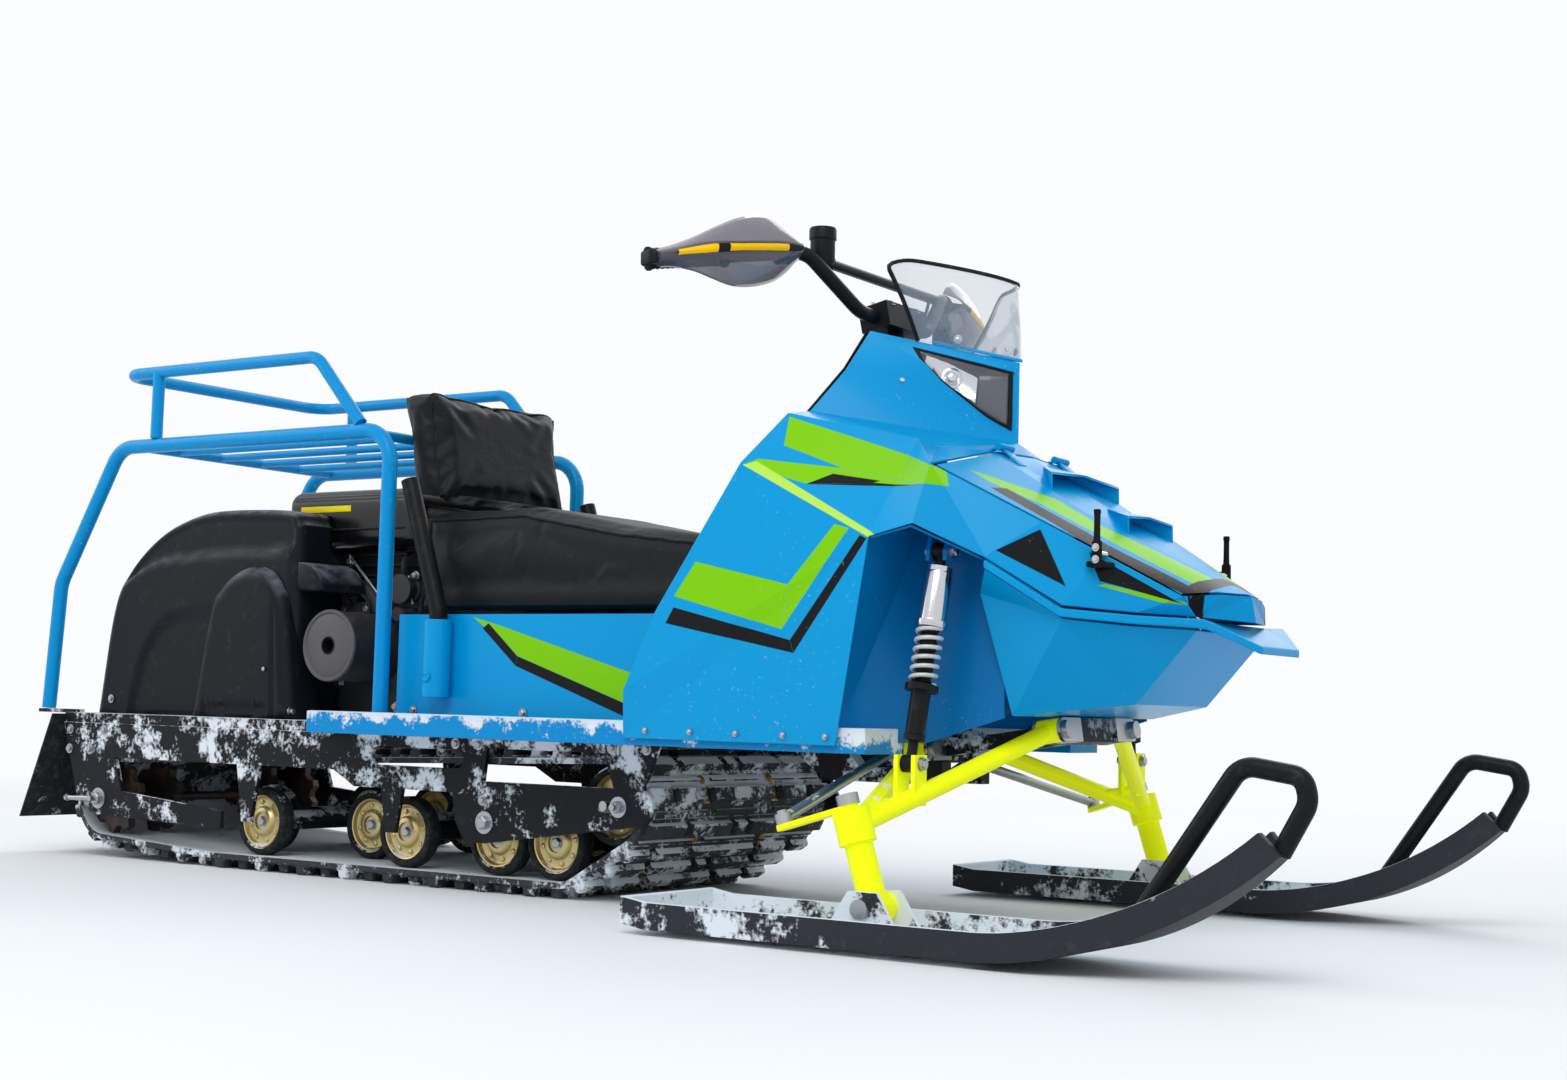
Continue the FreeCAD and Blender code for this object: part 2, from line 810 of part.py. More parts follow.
def lid_height(x, y):
    """Height of the lid's plain skin over a place in plan."""
    points = body_points()
    for names in lid_facets:
        a, b, c = [points[name] for name in names]
        area = (b.x - a.x) * (c.y - a.y) - (c.x - a.x) * (b.y - a.y)
        s = ((x - a.x) * (c.y - a.y) - (c.x - a.x) * (abs(y) - a.y)) / area
        t = ((b.x - a.x) * (abs(y) - a.y) - (x - a.x) * (b.y - a.y)) / area
        if s >= 0 and t >= 0 and s + t <= 1:
            return a.z + s * (b.z - a.z) + t * (c.z - a.z)
    return points["yoke_centre"].z


def lid_scoop(front_share, half, rear_half):
    """Air scoop: open at the front, pointed at the rear, standing on the lid's skin."""
    front_x = lerp(body_rear_x, body_rear_x + body_length, front_share)
    rear_x = front_x - scoop_length
    points = {}
    for side, tag in ((1, ""), (-1, "_right")):
        points["top" + tag] = V(front_x, side * half, lid_height(front_x, half) + scoop_height)
        points["low" + tag] = V(front_x, side * half, lid_height(front_x, half) - weld_sink)
        points["rear" + tag] = V(rear_x, side * rear_half, lid_height(rear_x, rear_half))
    points["peak"] = V(front_x, 0, lid_height(front_x, 0) + scoop_height)
    side_facets = [("peak", "top", "rear"), ("top", "low", "rear")]
    facets = side_facets + [tuple(n if n == "peak" else n + "_right" for n in f) for f in side_facets]
    facets.append(("peak", "rear", "rear_right"))
    facets = facet_normals(points, facets, V(lerp(rear_x, front_x, 0.9), 0, lid_height(front_x, 0)))
    return folded_sheet(points, inner_points(points, facets, scoop_wall), facets)


def hinge_axis():
    """Middle of the lid hinge's pin, in plan and height."""
    rear = body_point("yoke_centre")
    height = lid_height(rear.x, hinge_spacing) + hinge_barrel / 2 + rod_clearance / 2
    return V(rear.x + lid_gap / 2, 0, height)


def hinge_leaf_shape(middle_y, half, tip, thickness):
    """Barrel with a flat leaf that lies on the skin; tip is the leaf's far end."""
    axis = hinge_axis()
    barrel = rod(V(axis.x, middle_y - half, axis.z), V(axis.x, middle_y + half, axis.z), hinge_barrel)
    near = V(axis.x, 0, axis.z - hinge_barrel / 4)
    leaf = outline_xz([(near.x, near.z), (tip.x, tip.z - thickness / 2), (tip.x, tip.z + thickness / 2),
                       (near.x, near.z + thickness)], middle_y - half, middle_y + half)
    return barrel.fuse(leaf)


def nose_lid():
    """Top panel of the nose with two forward-facing scoops, hinged at its rear edge."""
    points = body_points()
    for tag in ("", "_right"):
        points["yoke_side" + tag] = toward(points["yoke_side" + tag], points["yoke_mid" + tag], lid_gap)
        points["yoke_side" + tag] = toward(points["yoke_side" + tag], points["ridge_mid" + tag], lid_gap)
        points["yoke_mid" + tag] = toward(points["yoke_mid" + tag], points["fold_mid" + tag], lid_gap)
        front = "ridge_front" + tag
        for neighbour in ("fold_front", "ridge_strap"):
            points[front] = toward(points[front], points[neighbour + tag], lid_gap)
        points["ridge_mid" + tag] = toward(points["ridge_mid" + tag], points["fold_mid" + tag], lid_gap)
        strap, fold = points["ridge_strap" + tag], points["fold_strap" + tag]
        points["ridge_strap" + tag] = toward(strap, fold, lid_gap)
        points["fold_front" + tag] = toward(points["fold_front" + tag], points["fold_strap" + tag], lid_gap)
    points["yoke_centre"] = toward(points["yoke_centre"], points["crown_mid"], lid_gap)
    points["crown_front"] = toward(points["crown_front"], points["crown_strap"], lid_gap)
    facets = facet_normals(points, both_sides(lid_facets), body_inside())
    lid = folded_sheet(points, inner_points(points, facets, lid_sheet), facets)
    lid = lid.fuse(lid_scoop(scoop_front_share, scoop_half_width, scoop_point_half))
    second = lid_scoop(scoop_second_front_share, scoop_second_half_width, scoop_point_half)
    lid = lid.fuse(second)
    axis = hinge_axis()
    tip_x = axis.x + hinge_leaf
    tip = V(tip_x, 0, lid_height(tip_x, hinge_spacing))
    for side in (1, -1):
        y = side * hinge_spacing
        lid = lid.fuse(hinge_leaf_shape(y, hinge_half, tip, hinge_sheet))
    pin = rod(axis - V(0, body_half_width, 0), axis + V(0, body_half_width, 0), hinge_pin + 2 * seat_gap)
    parts["nose_lid"] = lid.cut(pin)

    frame = parts["hood_frame"]
    fixed = []
    reach = hinge_half + seat_gap + hinge_ear
    tip = V(axis.x - hinge_ear_leaf, 0, lid_height(body_point("yoke_centre").x, hinge_spacing))
    for side in (1, -1):
        y = side * hinge_spacing
        pin = rod(V(axis.x, y - reach, axis.z), V(axis.x, y + reach, axis.z), hinge_pin)
        for end in (1, -1):
            middle_y = y + end * (hinge_half + seat_gap + hinge_ear / 2)
            pin = pin.fuse(hinge_leaf_shape(middle_y, hinge_ear / 2, tip, hinge_sheet))
        fixed.append(pin)
    yoke, nose = sorted(frame.Solids, key=lambda solid: solid.BoundBox.XMax)
    for pin in fixed:
        yoke = yoke.fuse(pin)
    parts["hood_frame"] = Part.makeCompound([yoke, nose])


def windshield():
    prow = body_point("cowl_prow_top")

    def place(u, v):
        across = 2 * u - 1
        reach = abs(across)
        rear = body_point("cowl_top_rear", 1 if across > 0 else -1)
        foot = lerp(prow, rear, screen_foot_share * reach) + V(0, 0, screen_foot_lift)
        top = V(lerp(screen_top_x, screen_corner_x, reach ** screen_bow_power),
                across * screen_half_width, lerp(screen_top_z, screen_corner_z, reach))
        return lerp(foot, top, v)

    inside = V(screen_corner_x, 0, prow.z)
    parts["windshield"] = grid_sheet(place, screen_columns, 2, screen_sheet, inside)


def nose_chin():
    """Lower nose with the lip that stands out round it; the lip is one plate bent down at its sides."""
    names = ["arch_front", "lip_side", "lip_mid", "lip_front"]
    inner_line = [body_point(name) - V(0, 0, lip_drop) for name in names]
    outward = [V(0, lip_overhang / 2, 0), V(0, lip_overhang, 0), V(lip_overhang, lip_overhang, 0),
               V(2 * lip_overhang, 2 * lip_overhang, 0)]
    outer_line = [point + out for point, out in zip(inner_line, outward)]
    inner_line = [point - V(0, lip_seat, 0) for point in inner_line]
    front = V(inner_line[-1].x + lip_front_stand, lip_front_half, lip_front_z)
    back = V(inner_line[-1].x, lip_front_half, inner_line[-1].z)
    inner_line.append(back)
    outer_line.append(front)
    inner_line += [V(p.x, -p.y, p.z) for p in reversed(inner_line)]
    outer_line += [V(p.x, -p.y, p.z) for p in reversed(outer_line)]
    drop = V(0, 0, -lip_thickness)
    triangles = []
    for a, b, c, d in zip(inner_line, outer_line, outer_line[1:], inner_line[1:]):
        for p, q, r in ((a, b, c), (a, c, d)):
            triangles.append((p, q, r))
            triangles.append((r + drop, q + drop, p + drop))
        for p, q in ((b, c), (d, a)):
            triangles.append((p, p + drop, q + drop))
            triangles.append((p, q + drop, q))
    for p, q in ((inner_line[0], outer_line[0]), (outer_line[-1], inner_line[-1])):
        triangles.append((p, p + drop, q + drop))
        triangles.append((p, q + drop, q))
    lip = closed_solid(triangles)

    points = {}
    for side in (1, -1):
        tag = "" if side == 1 else "_right"
        for name in names:
            points[name + tag] = body_point(name, side) + drop - V(0, 0, lip_drop + chin_gap)
        points["rear_top" + tag] = V(chin_rear_top_x, side * chin_rear_top_half, chin_rear_top_z)
        points["rear_low" + tag] = V(chin_rear_bottom_x, side * chin_rear_bottom_half, chin_rear_bottom_z)
        points["front_low" + tag] = V(chin_front_bottom_x, side * chin_front_bottom_half,
                                      chin_front_bottom_z)
    side_facets = (fan("lip_side", "arch_front", "rear_top", "rear_low", "front_low", "lip_mid")
                   + fan("lip_mid", "front_low", "lip_front"))
    facets = side_facets + [tuple(name + "_right" for name in facet) for facet in side_facets]
    facets += fan("lip_front", "lip_front_right", "front_low_right", "front_low")
    facets += fan("front_low", "front_low_right", "rear_low_right", "rear_low")
    facets = facet_normals(points, facets, V(chin_rear_bottom_x, 0, lip_front_z))
    chin = folded_sheet(points, inner_points(points, facets, sheet), facets)
    parts["nose_chin"] = chin
    parts["nose_lip"] = lip


def lid_straps():
    """Two upright rubber straps that hold the lid down, each on its own foot."""
    hood = parts["hood_side_left"]
    ridge = body_point("ridge_strap")
    y = ridge.y + strap_stand_off
    strap_base_z = ridge.z - strap_drop
    strap_x = lerp(body_rear_x, body_rear_x + body_length, strap_share)
    foot = box(V(strap_x - strap_width, y - strap_stand_off - overrun, strap_base_z),
               V(strap_x + strap_width, y + strap_thickness, strap_base_z + strap_foot))
    foot = max(foot.cut(hood).Solids, key=lambda solid: solid.BoundBox.YMax)
    strap = box(V(strap_x - strap_width / 2, y, strap_base_z),
                V(strap_x + strap_width / 2, y + strap_thickness, strap_base_z + strap_height))
    strap = strap.fuse(foot)
    parts["lid_straps"] = Part.makeCompound([strap, mirrored(strap)])


def inner_panels():
    """Walls behind both wheel arches, the nose box's bulkhead and the pan under the steering column."""
    def pull(name, side):
        point = body_point(name, side)
        return point + V(-panel_lap, -side * panel_lap, -panel_lap)

    walls = []
    for side in (1, -1):
        half = side * arch_wall_half_width
        points = {
            "out_low": pull("foot_front", side) + V(0, 0, 2 * panel_lap),
            "out_top": pull("arch_rear", side),
            "roof_out": pull("arch_top", side),
            "roof_front": pull("arch_front", side),
            "wall_rear_low": V(arch_wall_rear_x, half, arch_wall_bottom_z),
            "wall_rear_top": V(arch_wall_rear_x, half, arch_wall_top_rear_z),
            "wall_front_top": V(arch_wall_front_x, half, arch_wall_top_front_z),
            "wall_front_low": V(arch_wall_front_x, half, arch_wall_front_low_z),
        }
        facets = (fan("out_low", "wall_rear_low", "wall_rear_top", "out_top")
                  + fan("wall_rear_top", "out_top", "roof_out", "roof_front", "wall_front_top")
                  + fan("wall_rear_low", "wall_front_low", "wall_front_top", "wall_rear_top"))
        inside = V(arch_wall_rear_x - arch_wall_half_width, side * arch_wall_half_width / 2,
                   arch_wall_top_rear_z + body_half_width)
        facets = facet_normals(points, facets, inside)
        walls.append(folded_sheet(points, inner_points(points, facets, sheet), facets))
    half = arch_wall_half_width - sheet - seat_gap
    bulkhead = box(V(bulkhead_x, -half, pan_z), V(bulkhead_x + sheet, half, bulkhead_top_z))
    pan = box(V(base_front_x, -half, pan_z), V(bulkhead_x + sheet, half, pan_z + sheet))
    pan = pan.cut(rod(column_point(rear_beam_z), column_point(bulkhead_top_z), column_bore))
    eye = V(shock_top[0], shock_top[1], shock_top[2])
    hung = []
    for wall, side in zip(walls, (1, -1)):
        for end in (1, -1):
            x = eye.x + end * (shock_eye / 2 + seat_gap + shock_ear / 2)
            above = Part.makeLine(V(x, side * eye.y, eye.z), V(x, side * eye.y, eye.z + body_height))
            top = wall.common(above).BoundBox.ZMin + weld_sink
            foot = shock_eye / 2 + shock_ear
            low = eye.z - shock_eye * 0.7
            outline = [(-foot, low), (foot, low), (foot, eye.z),
                       (shock_ear, top), (-shock_ear, top), (-foot, eye.z)]
            ring = [V(x - shock_ear / 2, side * eye.y + y, z) for y, z in outline]
            ear = Part.Face(Part.makePolygon(ring + ring[:1])).extrude(V(shock_ear, 0, 0))
            wall = wall.fuse(ear)
        bolt = rod(V(eye.x - overrun, side * eye.y, eye.z), V(eye.x + overrun, side * eye.y, eye.z),
                   shock_eye_bore + 2 * seat_gap)
        low, high = sorted((side * deck_half_width, side * (board_outer + seat_gap)))
        room = box(V(base_front_x, low, body_base_z - overrun),
                   V(board_front_x + seat_gap, high, board_top_z + seat_gap))
        hung.append(wall.cut(bolt).cut(room))
    parts["inner_panels"] = Part.makeCompound(hung + [bulkhead.fuse(pan)])


def console():
    """Panel that closes the hood towards the rider, from the seat up to the bars."""
    points = {"tail": body_point("cowl_tail") - V(console_lap, 0, 0)}
    for side, tag in ((1, ""), (-1, "_right")):
        for name in ("cowl_top_rear", "cowl_mid_rear", "seam_rear"):
            points[name + tag] = body_point(name, side) - V(console_lap, 0, 0)
        points["foot" + tag] = V(console_foot_x, side * base_half_width, base_top_z + console_lift)
    side_facets = fan("tail", "cowl_top_rear", "cowl_mid_rear", "seam_rear")
    facets = both_tags(side_facets) + fan("tail", "seam_rear", "foot", "foot_right", "seam_rear_right")
    facets = facet_normals(points, facets, V(body_rear_x + body_length, 0, base_top_z))
    parts["console"] = folded_sheet(points, inner_points(points, facets, sheet), facets)


def both_tags(facets):
    """Facets of the left, and the same on the right; the tail is on the centre plane."""
    return facets + [tuple(n if n == "tail" else n + "_right" for n in facet) for facet in facets]


def tangent_loop(circles):
    """Belt line round circles taken anticlockwise in XZ: rows of (start, end, centre or None)."""
    runs = []
    count = len(circles)
    tangents = []
    for i in range(count):
        (x0, z0, r0), (x1, z1, r1) = circles[i], circles[(i + 1) % count]
        length = math.hypot(x1 - x0, z1 - z0)
        heading = math.atan2(z1 - z0, x1 - x0) - math.pi / 2 - math.asin((r1 - r0) / length)
        normal = (math.cos(heading), math.sin(heading))
        tangents.append(((x0 + r0 * normal[0], z0 + r0 * normal[1]),
                         (x1 + r1 * normal[0], z1 + r1 * normal[1]), heading))
    for i in range(count):
        start, end, heading = tangents[i]
        runs.append(("run", start, end, heading))
        nx, nz, nr = circles[(i + 1) % count]
        next_heading = tangents[(i + 1) % count][2]
        turn = (next_heading - heading) % (2 * math.pi)
        runs.append(("arc", (nx, nz), nr, heading, turn))
    return runs


def loop_place(runs, distance):
    """Point and outward normal at a distance along the belt line."""
    for run in runs:
        if run[0] == "run":
            _, start, end, heading = run
            length = math.hypot(end[0] - start[0], end[1] - start[1])
            if distance <= length:
                t = distance / length
                return (start[0] + (end[0] - start[0]) * t, start[1] + (end[1] - start[1]) * t), heading
        else:
            _, centre, radius, heading, turn = run
            length = radius * turn
            if distance <= length:
                angle = heading + distance / radius
                return (centre[0] + radius * math.cos(angle), centre[1] + radius * math.sin(angle)), angle
        distance -= length
    return loop_place(runs, 0)


def loop_length(runs):
    total = 0
    for run in runs:
        if run[0] == "run":
            total += math.hypot(run[2][0] - run[1][0], run[2][1] - run[1][1])
        else:
            total += run[2] * run[4]
    return total


def belt_circles(depth):
    """Circles that the belt wraps, for a line this deep below the lugs' tips."""
    contact = belt_thickness + lug_height + wheel_radius
    return [(contact_rear_x, contact, contact - depth), (contact_front_x, contact, contact - depth),
            (idler_x, idler_z, idler_outer_radius - depth), (drive_x, drive_z, drive_outer_radius - depth)]


def track():
    """One closed belt whose lugs are in its outline."""
    runs = tangent_loop(belt_circles(lug_height))
    total = loop_length(runs)
    count = int(total / lug_pitch)
    pitch = total / count
    outer = []
    for i in range(count):
        for offset, height in ((-lug_root / 2, 0), (-lug_tip / 2, lug_height),
                               (lug_tip / 2, lug_height), (lug_root / 2, 0)):
            (x, z), angle = loop_place(runs, (i * pitch + pitch / 2 + offset) % total)
            outer.append((x + height * math.cos(angle), z + height * math.sin(angle)))
    belt = outline_xz(outer, -track_width / 2, track_width / 2)
    inside_runs = tangent_loop(belt_circles(lug_height + belt_thickness))
    inside_total = loop_length(inside_runs)
    steps = 4 * count
    inner = [loop_place(inside_runs, inside_total * i / steps)[0] for i in range(steps)]
    parts["track"] = belt.cut(outline_xz(inner, -track_width / 2 - overrun, track_width / 2 + overrun))


def belt_inside_z():
    return lug_height + belt_thickness


def wheel_z():
    return belt_inside_z() + wheel_radius


def disc(x, y, z, diameter, width):
    return rod(V(x, y - width / 2, z), V(x, y + width / 2, z), diameter)


def road_wheel(x, y):
    """Rubber-tyred wheel with a dished centre and its hub."""
    tyre = disc(x, y, wheel_z(), 2 * wheel_radius - 2 * belt_rest, wheel_width)
    dish = disc(x, y, wheel_z(), 2 * (wheel_radius - wheel_tyre), wheel_width / 3)
    for side in (1, -1):
        pocket = disc(x, y + side * wheel_width / 2, wheel_z(), 2 * (wheel_radius - wheel_tyre),
                      wheel_width * 2 / 3)
        tyre = tyre.cut(pocket)
    hub = disc(x, y, wheel_z(), wheel_hub_diameter, wheel_width)
    return tyre.fuse(dish).fuse(hub)


def wheel_row_x(share):
    return lerp(contact_rear_x, contact_front_x, share)


def running_gear():
    outer_y = track_width / 2 - outer_wheel_inset
    inner_y = track_width / 2 - inner_wheel_inset
    sets = []
    for shares, y in ((outer_wheel_shares, outer_y), (inner_wheel_shares, inner_y)):
        for share in shares:
            x = wheel_row_x(share)
            reach = outer_y if y == outer_y else inner_y
            axle = rod(V(x, -reach, wheel_z()), V(x, reach, wheel_z()), axle_diameter)
            sets.append(axle.fuse(road_wheel(x, y)).fuse(road_wheel(x, -y)))
    parts["road_wheels"] = Part.makeCompound(sets)

    inner_radius = idler_outer_radius - belt_inside_z() - wrap_rest
    reach = deck_half_width
    axle = rod(V(idler_x, -reach, idler_z), V(idler_x, reach, idler_z), mount_bolt)
    for y in (outer_y, inner_y, -inner_y, -outer_y):
        wheel = disc(idler_x, y, idler_z, 2 * inner_radius, wheel_width)
        for side in (1, -1):
            wheel = wheel.cut(disc(idler_x, y + side * wheel_width / 2, idler_z,
                                   2 * (inner_radius - wheel_tyre), wheel_width * 2 / 3))
        axle = axle.fuse(wheel).fuse(disc(idler_x, y, idler_z, wheel_hub_diameter, wheel_width))
    parts["idler_axle"] = axle

    root = drive_outer_radius - belt_inside_z() - wrap_rest - sprocket_tooth
    axle = rod(V(drive_x, -reach, drive_z), V(drive_x, reach, drive_z), mount_bolt)
    for y in (outer_y, inner_y, -inner_y, -outer_y):
        teeth = []
        for i in range(2 * sprocket_teeth):
            for edge in (-1, 1):
                angle = math.pi * (i + edge * 0.3) / sprocket_teeth
                radius = root + (sprocket_tooth if i % 2 else 0)
                teeth.append((drive_x + radius * math.cos(angle), drive_z + radius * math.sin(angle)))
        axle = axle.fuse(outline_xz(teeth, y - sprocket_width / 2, y + sprocket_width / 2))
    parts["drive_axle"] = axle


def side_frames():
    """Black plates outside the track: rear axle carrier, rail under the deck, front arm and hanger."""
    low = deck_top_z - deck_thickness
    rear = deck_rear_x
    wheel = wheel_z()
    rear_plate = [(rear, low), (rear + frame_rear_length, low),
                  (rear + frame_rear_length, low - frame_rail_depth),
                  (drive_x + frame_rail_depth, drive_z + rear_arm_height / 2),
                  (drive_x + rear_arm_length, wheel + rear_arm_height / 2),
                  (drive_x + rear_arm_length, wheel - rear_arm_height / 2),
                  (drive_x, drive_z - rear_arm_height), (drive_x - frame_rail_depth, drive_z)]
    rail = [(rear, low), (front_arm_x, low), (front_arm_x, low - window_rail_depth),
            (base_rear_x - window_margin, low - window_rail_depth),
            (base_rear_x - window_rail_depth, low - frame_rail_depth),
            (rear + frame_rear_length, low - frame_rail_depth)]
    half_bar = front_bar_height / 2
    front_arm = [(front_arm_x - front_arm_width, low), (front_arm_x + front_arm_width, low),
                 (front_arm_x + front_arm_width * 0.8, idler_z + half_bar),
                 (idler_x + front_arm_reach, idler_z + half_bar),
                 (idler_x + front_arm_reach, idler_z - half_bar),
                 (front_arm_x + front_arm_width, wheel - half_bar * 0.2),
                 (front_arm_x, wheel - half_bar * 0.2),
                 (front_arm_x - front_arm_width / 2, wheel + half_bar)]
    hanger = [(front_hanger_x - front_hanger_width / 2, low),
              (front_hanger_x + front_hanger_width / 2, low),
              (front_hanger_x + front_hanger_foot / 2, idler_z),
              (front_hanger_x - front_hanger_foot / 2, idler_z)]
    strut_x = wheel_row_x(outer_wheel_shares[1])
    struts = []
    for x in (wheel_row_x(outer_wheel_shares[0]), strut_x):
        struts.append([(x - strut_width, low - frame_rail_depth / 2),
                       (x + strut_width, low - frame_rail_depth / 2),
                       (x + strut_width / 3, wheel), (x - strut_width / 3, wheel)])
    inner = -track_width / 2 - frame_gap
    outer = inner - frame_plate
    plate = outline_xz(rear_plate, outer, inner)
    for shape in [rail, front_arm, hanger] + struts:
        plate = plate.fuse(outline_xz(shape, outer, inner))
    middle = (inner + outer) / 2
    bridge = outline_xz([(front_arm_x, low), (front_hanger_x, low),
                         (front_hanger_x, low - frame_rail_depth / 4),
                         (front_arm_x, low - frame_rail_depth / 4)], outer, inner)
    nose = disc(idler_x + front_arm_reach, middle, idler_z, front_bar_height, frame_plate)
    plate = plate.fuse(bridge).fuse(nose)
    window_z = low - window_rail_depth + window_margin + window_height / 2
    ends = (base_rear_x + window_height / 2, front_arm_x - window_margin + window_height / 2)
    holes = [(ends, window_z, window_height)]
    holes.append(((idler_x, idler_x + front_slot), idler_z, mount_bolt + 2 * seat_gap))
    holes.append(((drive_x, drive_x), drive_z, mount_bolt + 2 * seat_gap))
    for (start, end), z, height in holes:
        for x in (start, end):
            plate = plate.cut(disc(x, middle, z, height, frame_plate + overrun))
        if end > start:
            window = box(V(start, outer - overrun, z - height / 2), V(end, inner + overrun, z + height / 2))
            plate = plate.cut(window)
    parts["frame_right"] = plate.removeSplitter()
    parts["frame_left"] = mirrored(parts["frame_right"])


def rear_deck():
    low = deck_top_z - deck_thickness
    deck = box(V(deck_rear_x, -deck_half_width, low), V(deck_front_x, deck_half_width, deck_top_z))
    hitch = box(V(deck_rear_x - hitch_length, -hitch_width / 2, hitch_z),
                V(deck_rear_x, hitch_width / 2, hitch_z + hitch_thickness))
    eye_x = deck_rear_x - hitch_length + hitch_width / 2
    hitch = hitch.cut(rod(V(eye_x, 0, hitch_z - overrun), V(eye_x, 0, hitch_z + overrun), hitch_bore))
    drop = box(V(deck_rear_x, -hitch_width / 2, hitch_z),
               V(deck_rear_x + hitch_thickness, hitch_width / 2, low))
    deck = deck.fuse(drop).fuse(hitch)
    for side in (1, -1):
        low = side * hoop_half_width - hoop_tube / 2
        high = side * hoop_half_width + hoop_tube / 2
        deck = deck.fuse(box(V(hoop_rear_foot_x - hoop_tube / 2, low, deck_top_z - weld_sink),
                             V(deck_rear_x + overrun, high, deck_top_z + tab_thickness)))
    parts["rear_deck"] = deck


def mud_flap():
    lean = (-rear_reach) - flap_top_x
    points = [(flap_top_x, flap_top_z), (flap_top_x + flap_thickness * -1, flap_top_z),
              (-rear_reach, flap_bottom_z), (-rear_reach + flap_thickness, flap_bottom_z)]
    flap = outline_xz(points, -flap_half_width, flap_half_width)
    cut = box(V(flap_top_x + 2 * lean, -hitch_width, hitch_z - hitch_thickness),
              V(flap_top_x + overrun, hitch_width, flap_top_z + overrun))
    parts["mud_flap"] = flap.cut(cut)


def footboards():
    inner = deck_half_width + seat_gap
    outline = [(board_rear_inner_x, -inner), (board_rear_outer_x, -board_outer),
               (board_front_x, -board_outer), (board_front_x, -inner)]
    board = outline_xy(outline, board_top_z - board_thickness, board_top_z)
    room = [(board_rear_inner_x + 4 * board_wall, -inner - board_wall),
            (board_rear_outer_x + board_wall, -board_outer + board_wall),
            (board_front_x - board_wall, -board_outer + board_wall),
            (board_front_x - board_wall, -inner - board_wall)]
    board = board.cut(outline_xy(room, board_top_z - board_thickness - overrun, board_top_z - board_wall))
    parts["footboard_right"] = board
    parts["footboard_left"] = mirrored(board)


def seat_parts():
    low = deck_top_z + seat_gap
    base = box(V(base_rear_x, -base_half_width, low), V(base_front_x, base_half_width, base_top_z))
    room = box(V(base_rear_x + sheet, -base_half_width + sheet, low - overrun),
               V(base_front_x - sheet, base_half_width - sheet, base_top_z - sheet))
    base = base.cut(room)
    for side in (1, -1):
        y = side * (base_half_width + back_socket / 2 - weld_sink)
        foot = V(back_socket_x, y, back_socket_bottom_z)
        socket = rod(foot, foot + V(0, 0, back_socket_length), back_socket)
        bore = rod(foot + V(0, 0, sheet), foot + V(0, 0, back_socket_length + overrun),
                   back_tube + 2 * seat_gap)
        base = base.fuse(socket).cut(bore)
    parts["seat_base"] = base

    low = base_top_z + seat_gap
    profile = [(seat_rear_x, low), (seat_rear_x, seat_rear_top_z), (seat_crest_x, seat_crest_top_z),
               (lerp(seat_crest_x, seat_front_x, 0.45), lerp(seat_crest_top_z, seat_front_top_z, 0.55)),
               (seat_front_x, seat_front_top_z), (seat_front_x, low)]
    parts["seat"] = soft_prism(profile, -seat_half_width, seat_half_width, seat_edge, seat_edge)

    lean = V(-math.sin(math.radians(back_lean)), 0, math.cos(math.radians(back_lean)))
    height = (back_top_z - back_bottom_z) / math.cos(math.radians(back_lean))
    front = V(back_bottom_x, 0, back_bottom_z)
    rear = front + V(-back_thickness, 0, 0)
    outline = [(p.x, p.z) for p in (front, front + lean * height, rear + lean * height, rear)]
    backrest = soft_prism(outline, -back_half_width, back_half_width, back_edge, back_edge)
    parts["backrest"] = backrest

    tubes = []
    for side in (1, -1):
        y = side * (base_half_width + back_socket / 2 - weld_sink)
        foot = V(back_socket_x, y, back_socket_bottom_z + sheet + seat_gap)
        knee = V(back_socket_x, y, back_socket_bottom_z + back_socket_length + back_knee_lift)
        rise = back_tube_top_z - knee.z
        lean_x = -rise * math.tan(math.radians(back_tube_lean))
        top = knee + V(lean_x, 0, rise)
        tubes.append(bent_tube([foot, knee, top], back_tube, back_tube))
    reach = base_half_width + back_socket / 2 - weld_sink
    across = rod(V(tubes_top_x(), -reach, back_tube_top_z - back_tube),
                 V(tubes_top_x(), reach, back_tube_top_z - back_tube), back_tube * 2 / 3)
    parts["backrest_frame"] = tubes[0].fuse(tubes[1]).fuse(across).cut(backrest)


def tubes_top_x():
    rise = back_tube_top_z - back_tube - (back_socket_bottom_z + back_socket_length)
    return back_socket_x - rise * math.tan(math.radians(back_tube_lean))


